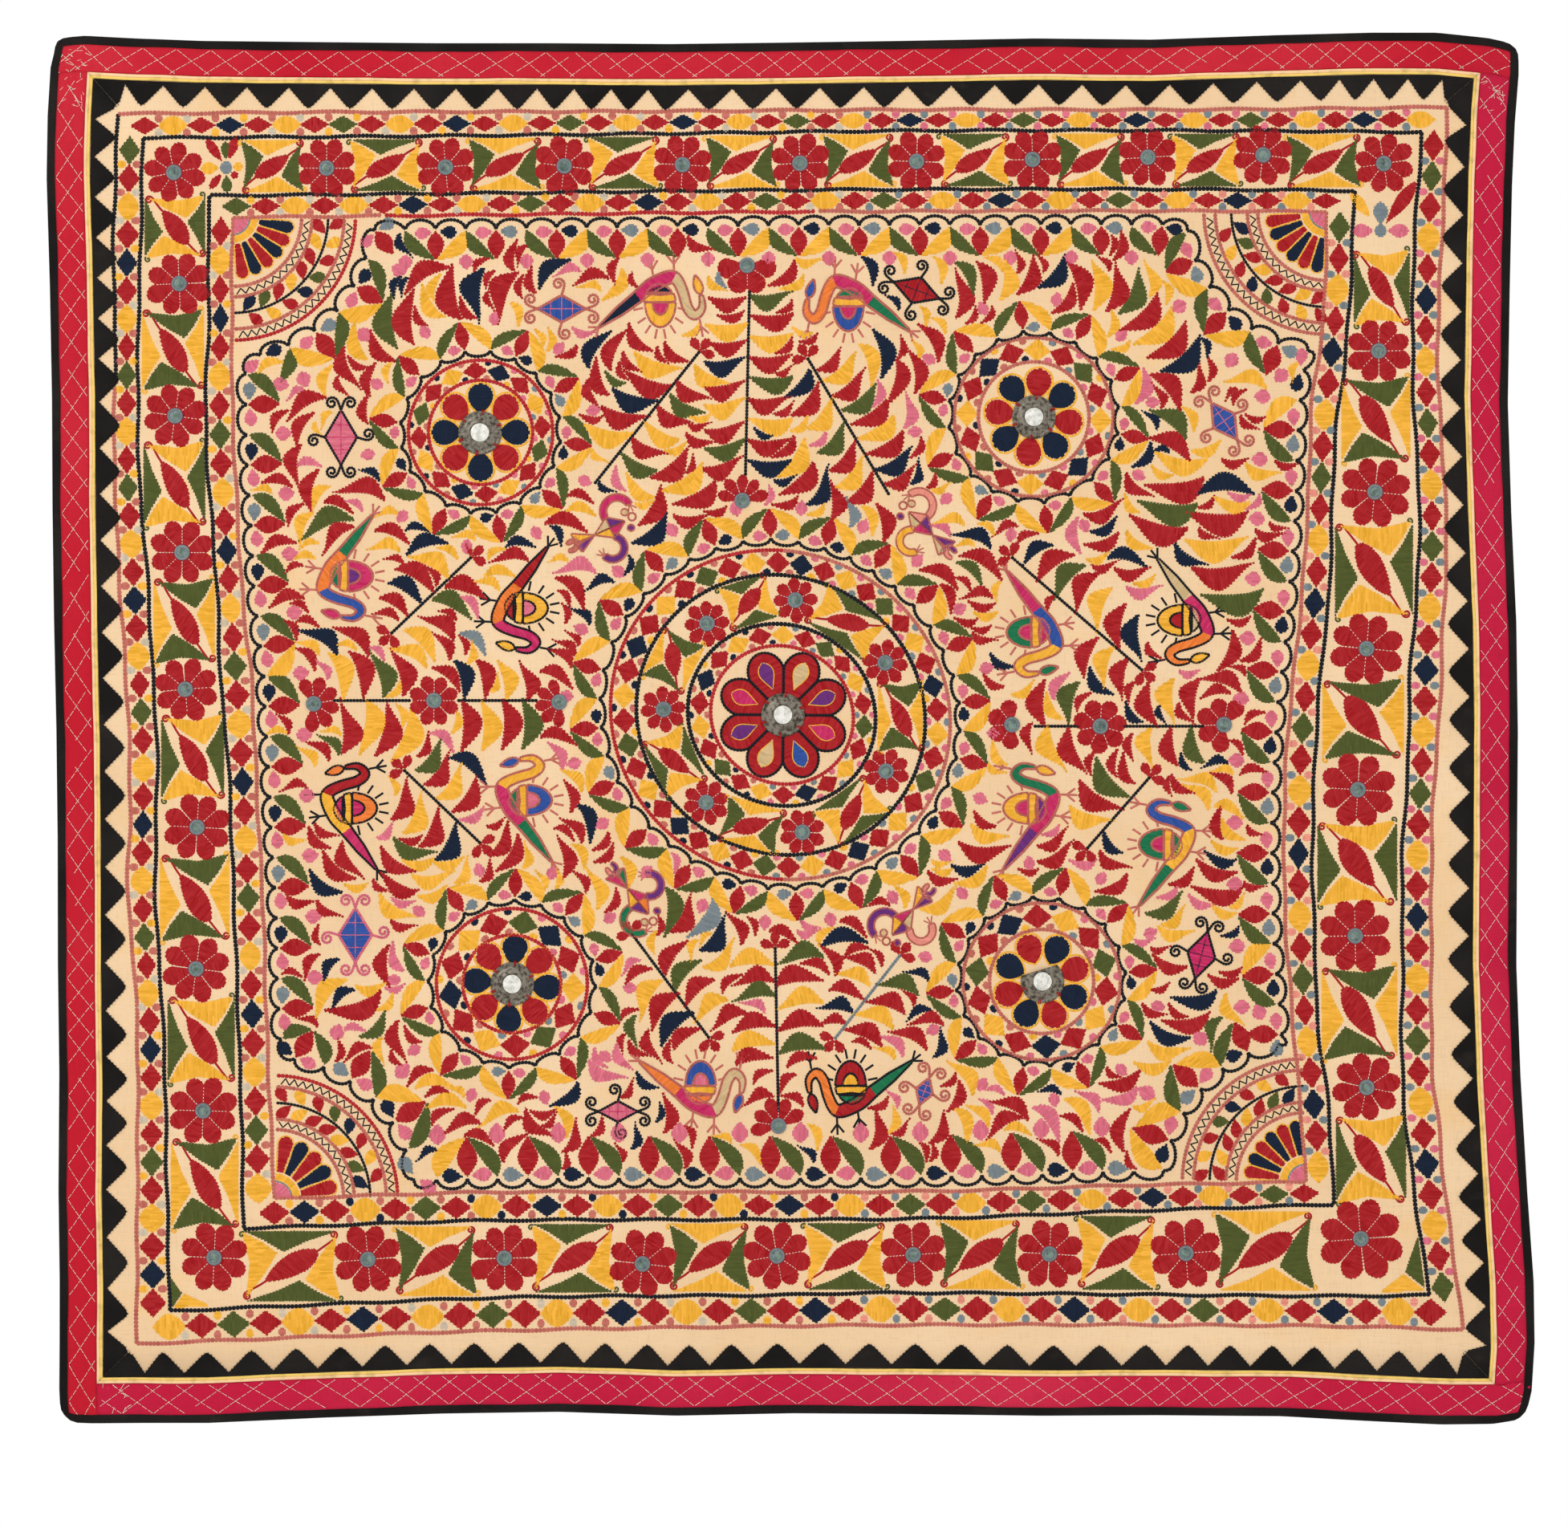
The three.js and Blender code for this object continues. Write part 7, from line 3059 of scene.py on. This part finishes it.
@dataclass
class BorderFlowers:
    """The mirror flowers of the border, in their places, and the small sprigs beside the corner ones."""

    broad: float = 52.0
    turn_at: int = 5
    top_sprig: float = 55.0
    right_sprig: float = 78.0
    long_space: float = 130.0
    long_end: float = 14.0
    sprig_heart: float = 7.5
    sprigs: Sequence[SprigLeaf] = tuple(SprigLeaf(*row) for row in (
        (282, 209, "R", 125, 10, 43, 6.0), (282, 209, "G", 92, 11, 32, 5.5), (282, 209, "R", 72, 11, 41, 6.0),
        (282, 209, "Y", 4, 9, 20, 6.0), (282, 209, "R", -42, 9, 18, 4.5), (282, 209, "G", -88, 10, 31, 6.5),
        (282, 209, "R", 232, 10, 33, 5.0), (282, 209, "Y", 182, 10, 31, 7.5),
        (1720, 288, "P", 180, 9, 35, 8.5), (1720, 288, "P", 0, 9, 35, 8.5), (1720, 288, "S", 90, 8, 36, 9.0),
        (1720, 288, "R", 54, 12, 76, 8.5), (1720, 288, "Y", 128, 22, 60, 7.0),
    ))
    fillers: Sequence[tuple[str, tuple]] = (
        ("G", ((1766, 1540), (1750, 1584), (1774, 1603))), ("Y", ((1719, 1609), (1748, 1587), (1774, 1607))),
        ("G", ((212, 1590), (227, 1611), (215, 1629))), ("Y", ((217, 1629), (230, 1612), (262, 1626))),
    )

    def spots(self) -> dict[str, np.ndarray]:
        """Finds the mirrors' places.

        Returns:
            Their places by the names of their plain solids.
        """
        names = [f"flower_mirror_{name}" for name in ("top_left", "top_right", "bottom_right", "bottom_left")]
        for side, count in (("top", 9), ("right", 6), ("bottom", 7), ("left", 7)):
            names += [f"flower_mirror_{side}_{index + 1}" for index in range(count)]
        return {name: np.array([sum(pair) / 2 / MM for pair in zip(*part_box(name))])[[0, 2]] for name in names}

    def work(self, needle: Needle, row: FlowerRow, spots: dict[str, np.ndarray]) -> None:
        """Works the flowers, the spaces between them and the sprigs.

        Args:
            needle: The needle that works them.
            row: The maker of flowers and spaces.
            spots: The mirrors' places.
        """
        corners = {Side.TOP: ("top_left", "top_right"), Side.RIGHT: ("top_right", "bottom_right"),
                   Side.BOTTOM: ("bottom_left", "bottom_right"), Side.LEFT: ("top_left", "bottom_left")}
        sizes = {}
        for name, spot in spots.items():
            half = band_at(OUTER_BLACK, INNER_BLACK, Side(name.split("_")[2]), spot)[1] / CHART_STEP
            sizes[name] = self.broad if name.endswith("bottom_right") else row.radius + row.growth * half
            turn = 22.5 + needle.luck.normal(0, 6)
            row.flower(needle, spot, sizes[name], row.petals, turn, heart=row.heart)
            row.heart_rim(needle, spot)
        for side, (first, last) in corners.items():
            inner = [name for name in spots if name.startswith(f"flower_mirror_{side.value}_")
                     and name.rsplit("_", 1)[1].isdigit()]
            line = [f"flower_mirror_{first}", *inner, f"flower_mirror_{last}"]
            for index, names in enumerate(zip(line, line[1:])):
                run = spots[names[1]] - spots[names[0]]
                run = run / np.linalg.norm(run) * CHART_STEP
                ends = np.array([spots[name] + run * hand * (sizes[name] - row.tuck)
                                 for name, hand in zip(names, (1, -1))])
                self._space(needle, row, side, ends, index)
        unit = CHART_STEP
        for leaf in self.sprigs:
            middle, way = chart(leaf.x, leaf.y), turned(leaf.bearing)
            start, end = middle + way * leaf.near * unit, middle + way * leaf.far * unit
            outline = pointed(start, end, leaf.half * unit, leaf.half * unit, 0.58, 0.75)
            needle.fill(Thread(leaf.floss), outline, bearing(way) + math.pi / 2, 0.4)
        for x, y in {(leaf.x, leaf.y): None for leaf in self.sprigs}:
            needle.fill(Thread.GREY, disc(chart(x, y), self.sprig_heart * unit), 0.0, 0.1)
        for letter, corners in self.fillers:
            needle.fill(Thread(letter), np.array([chart(*corner) for corner in corners]), 0.0, 0.4)

    def _space(self, needle: Needle, row: FlowerRow, side: Side, ends: np.ndarray, index: int) -> None:
        """Works the space between two flowers of a side.

        Args:
            needle: The needle that works it.
            row: The maker of spaces.
            side: The side.
            ends: Where the space starts and ends.
            index: Its number along the side.
        """
        unit, up = CHART_STEP, turned(INWARD[side])
        right = np.array((up[1], -up[0]))
        start, end = ends
        run = (end - start) / np.linalg.norm(end - start)
        if index == 0 and side in (Side.TOP, Side.RIGHT):
            start = start + run * (self.top_sprig if side is Side.TOP else self.right_sprig) * unit
        if np.linalg.norm(end - start) > self.long_space * unit:
            end = end - run * self.long_end * unit
        half = np.linalg.norm(end - start) / 2
        middle, high = band_at(OUTER_BLACK, INNER_BLACK, side, (start + end) / 2)
        place = Spot(tuple(middle), tuple(right * half), tuple(up * row.fill * high))
        early = side is Side.TOP and index < self.turn_at
        row.space(needle, place, index % 2 == (0 if early else 1))


def embroider(border: QuiltedBorder, teeth: DogToothStrip) -> None:
    """Works all the embroidery, from the frame lines inward.

    Args:
        border: The red border that is quilted.
        teeth: The tooth strips that are whipped down.
    """
    plan, row = FieldPlan(), FlowerRow()
    lines, bands = Needle("frame_lines", 11), Needle("lozenge_bands", 12)
    flowers = Needle("mirror_flowers", 13)
    FrameLines().work(lines)
    LozengeBands().work(bands)
    spots = BorderFlowers().spots()
    BorderFlowers().work(flowers, row, spots)
    vine, rings = Needle("scalloped_vine", 14), Needle("medallions", 15)
    CornerFans().work(vine, plan)
    edge = ScallopedVine().work(vine, plan)
    SmallMedallions().work(rings, plan)
    inner_spots = CentreMedallion().work(rings, row, plan)
    figures = Needle("birds_and_kites", 16)
    Peacocks().work(figures, plan)
    KitesAndTumblers().work(figures, plan)
    sprays = Needle("leaf_sprays", 17)
    for axis in AXIS_FLOWERS:
        spot = chart(axis.x, axis.y)
        row.flower(sprays, spot, axis.radius, axis.petals, axis.first, axis.spread)
        row.heart_rim(sprays, spot)
        plan.mark(disc(spot, 12 * CHART_STEP))
        plan.mark(np.vstack((spot[None], arc(spot, axis.radius * CHART_STEP, axis.first - axis.spread / 2,
                                             axis.first + (axis.petals - 0.5) * axis.spread, 24))))
        inner_spots.append(spot)
    LeafSprays().work(sprays, plan, edge)
    FlowerMirrors().build([*spots.values(), *inner_spots], list(spots))
    sewing, hand = Needle("hand_sewing", 18), SewingLines()
    hand.quilt(sewing, border)
    hand.whip_teeth(sewing, teeth)
    hand.tie_bosses(sewing)
    for needle in (lines, bands, flowers, vine, rings, figures, sprays, sewing):
        needle.build()


@dataclass
class Stage:
    """The plain pale room, the soft light and the camera of the photo."""

    far: float = 5.021
    across: float = -1.85
    up: float = -831.6
    lens: float = 100.0
    sensor: float = 36.0
    floor: float = -1.95
    sky: float = 1.0
    key: float = 34.0
    key_size: float = 2.4
    key_place: Place = (-2.6, -3.4, 1.6)
    key_aim: Place = (0.0, 0.0, -0.8)
    white: Colour = (0.93, 0.93, 0.93)

    def build(self) -> None:
        """Sets the room up."""
        scene = bpy.context.scene
        scene.view_settings.view_transform = "Standard"
        bm = bmesh.new()
        bmesh.ops.create_grid(bm, x_segments=1, y_segments=1, size=3.0)
        bmesh.ops.translate(bm, vec=(0, -2.0, self.floor), verts=bm.verts)
        mesh = bpy.data.meshes.new("pale_floor")
        bm.to_mesh(mesh)
        bm.free()
        board = NodeBoard("pale_floor")
        tint = board.blend(board.noise(3.0), self.white, tuple(0.96 * value for value in self.white))
        board.link(tint, board.shader.inputs["Base Color"])
        board.shader.inputs["Roughness"].default_value = 0.9
        mesh.materials.append(board.material)
        floor = bpy.data.objects.new("pale_floor", mesh)
        sun = bpy.data.lights.new("soft_key", "AREA")
        sun.shape, sun.size, sun.energy = "DISK", self.key_size, self.key
        key = bpy.data.objects.new("soft_key", sun)
        key.location = self.key_place
        key.rotation_euler = (Vector(self.key_aim) - key.location).to_track_quat("-Z", "Y").to_euler()
        lens = bpy.data.cameras.new("photo_camera")
        lens.lens, lens.sensor_width, lens.clip_start, lens.clip_end = self.lens, self.sensor, 0.05, 50.0
        camera = bpy.data.objects.new("photo_camera", lens)
        camera.location = (self.across * MM, -self.far, self.up * MM)
        camera.rotation_euler = (math.pi / 2, 0, 0)
        for item in (floor, key, camera):
            scene.collection.objects.link(item)
        scene.camera = camera
        world = bpy.data.worlds.new("white_room")
        world.use_nodes = True
        shade = world.node_tree.nodes["Background"]
        shade.inputs["Color"].default_value = (1.0, 1.0, 1.0, 1.0)
        shade.inputs["Strength"].default_value = self.sky
        scene.world = world


def main() -> None:
    """Builds the hanging from the ground up and reports each piece."""
    logging.basicConfig(level=logging.INFO, format="%(name)s: %(message)s")
    GroundCloth().build()
    border, trims, teeth = QuiltedBorder(), EdgeTrims(), DogToothStrip()
    for side in Side:
        border.build(side)
        trims.build(side)
        teeth.build(side)
    for row in BOSSES:
        MetalBoss().build(row)
        BossMirror().build(row)
    embroider(border, teeth)
    Stage().build()
    total = 0
    for piece in SHOP.made:
        ready = piece.evaluated_get(bpy.context.evaluated_depsgraph_get())
        count = sum(len(face.vertices) - 2 for face in ready.data.polygons)
        total += count
        LOG.info("%s has %d triangles", piece.name, count)
    LOG.info("%d triangles in all", total)


if __name__ == "__main__":
    main()
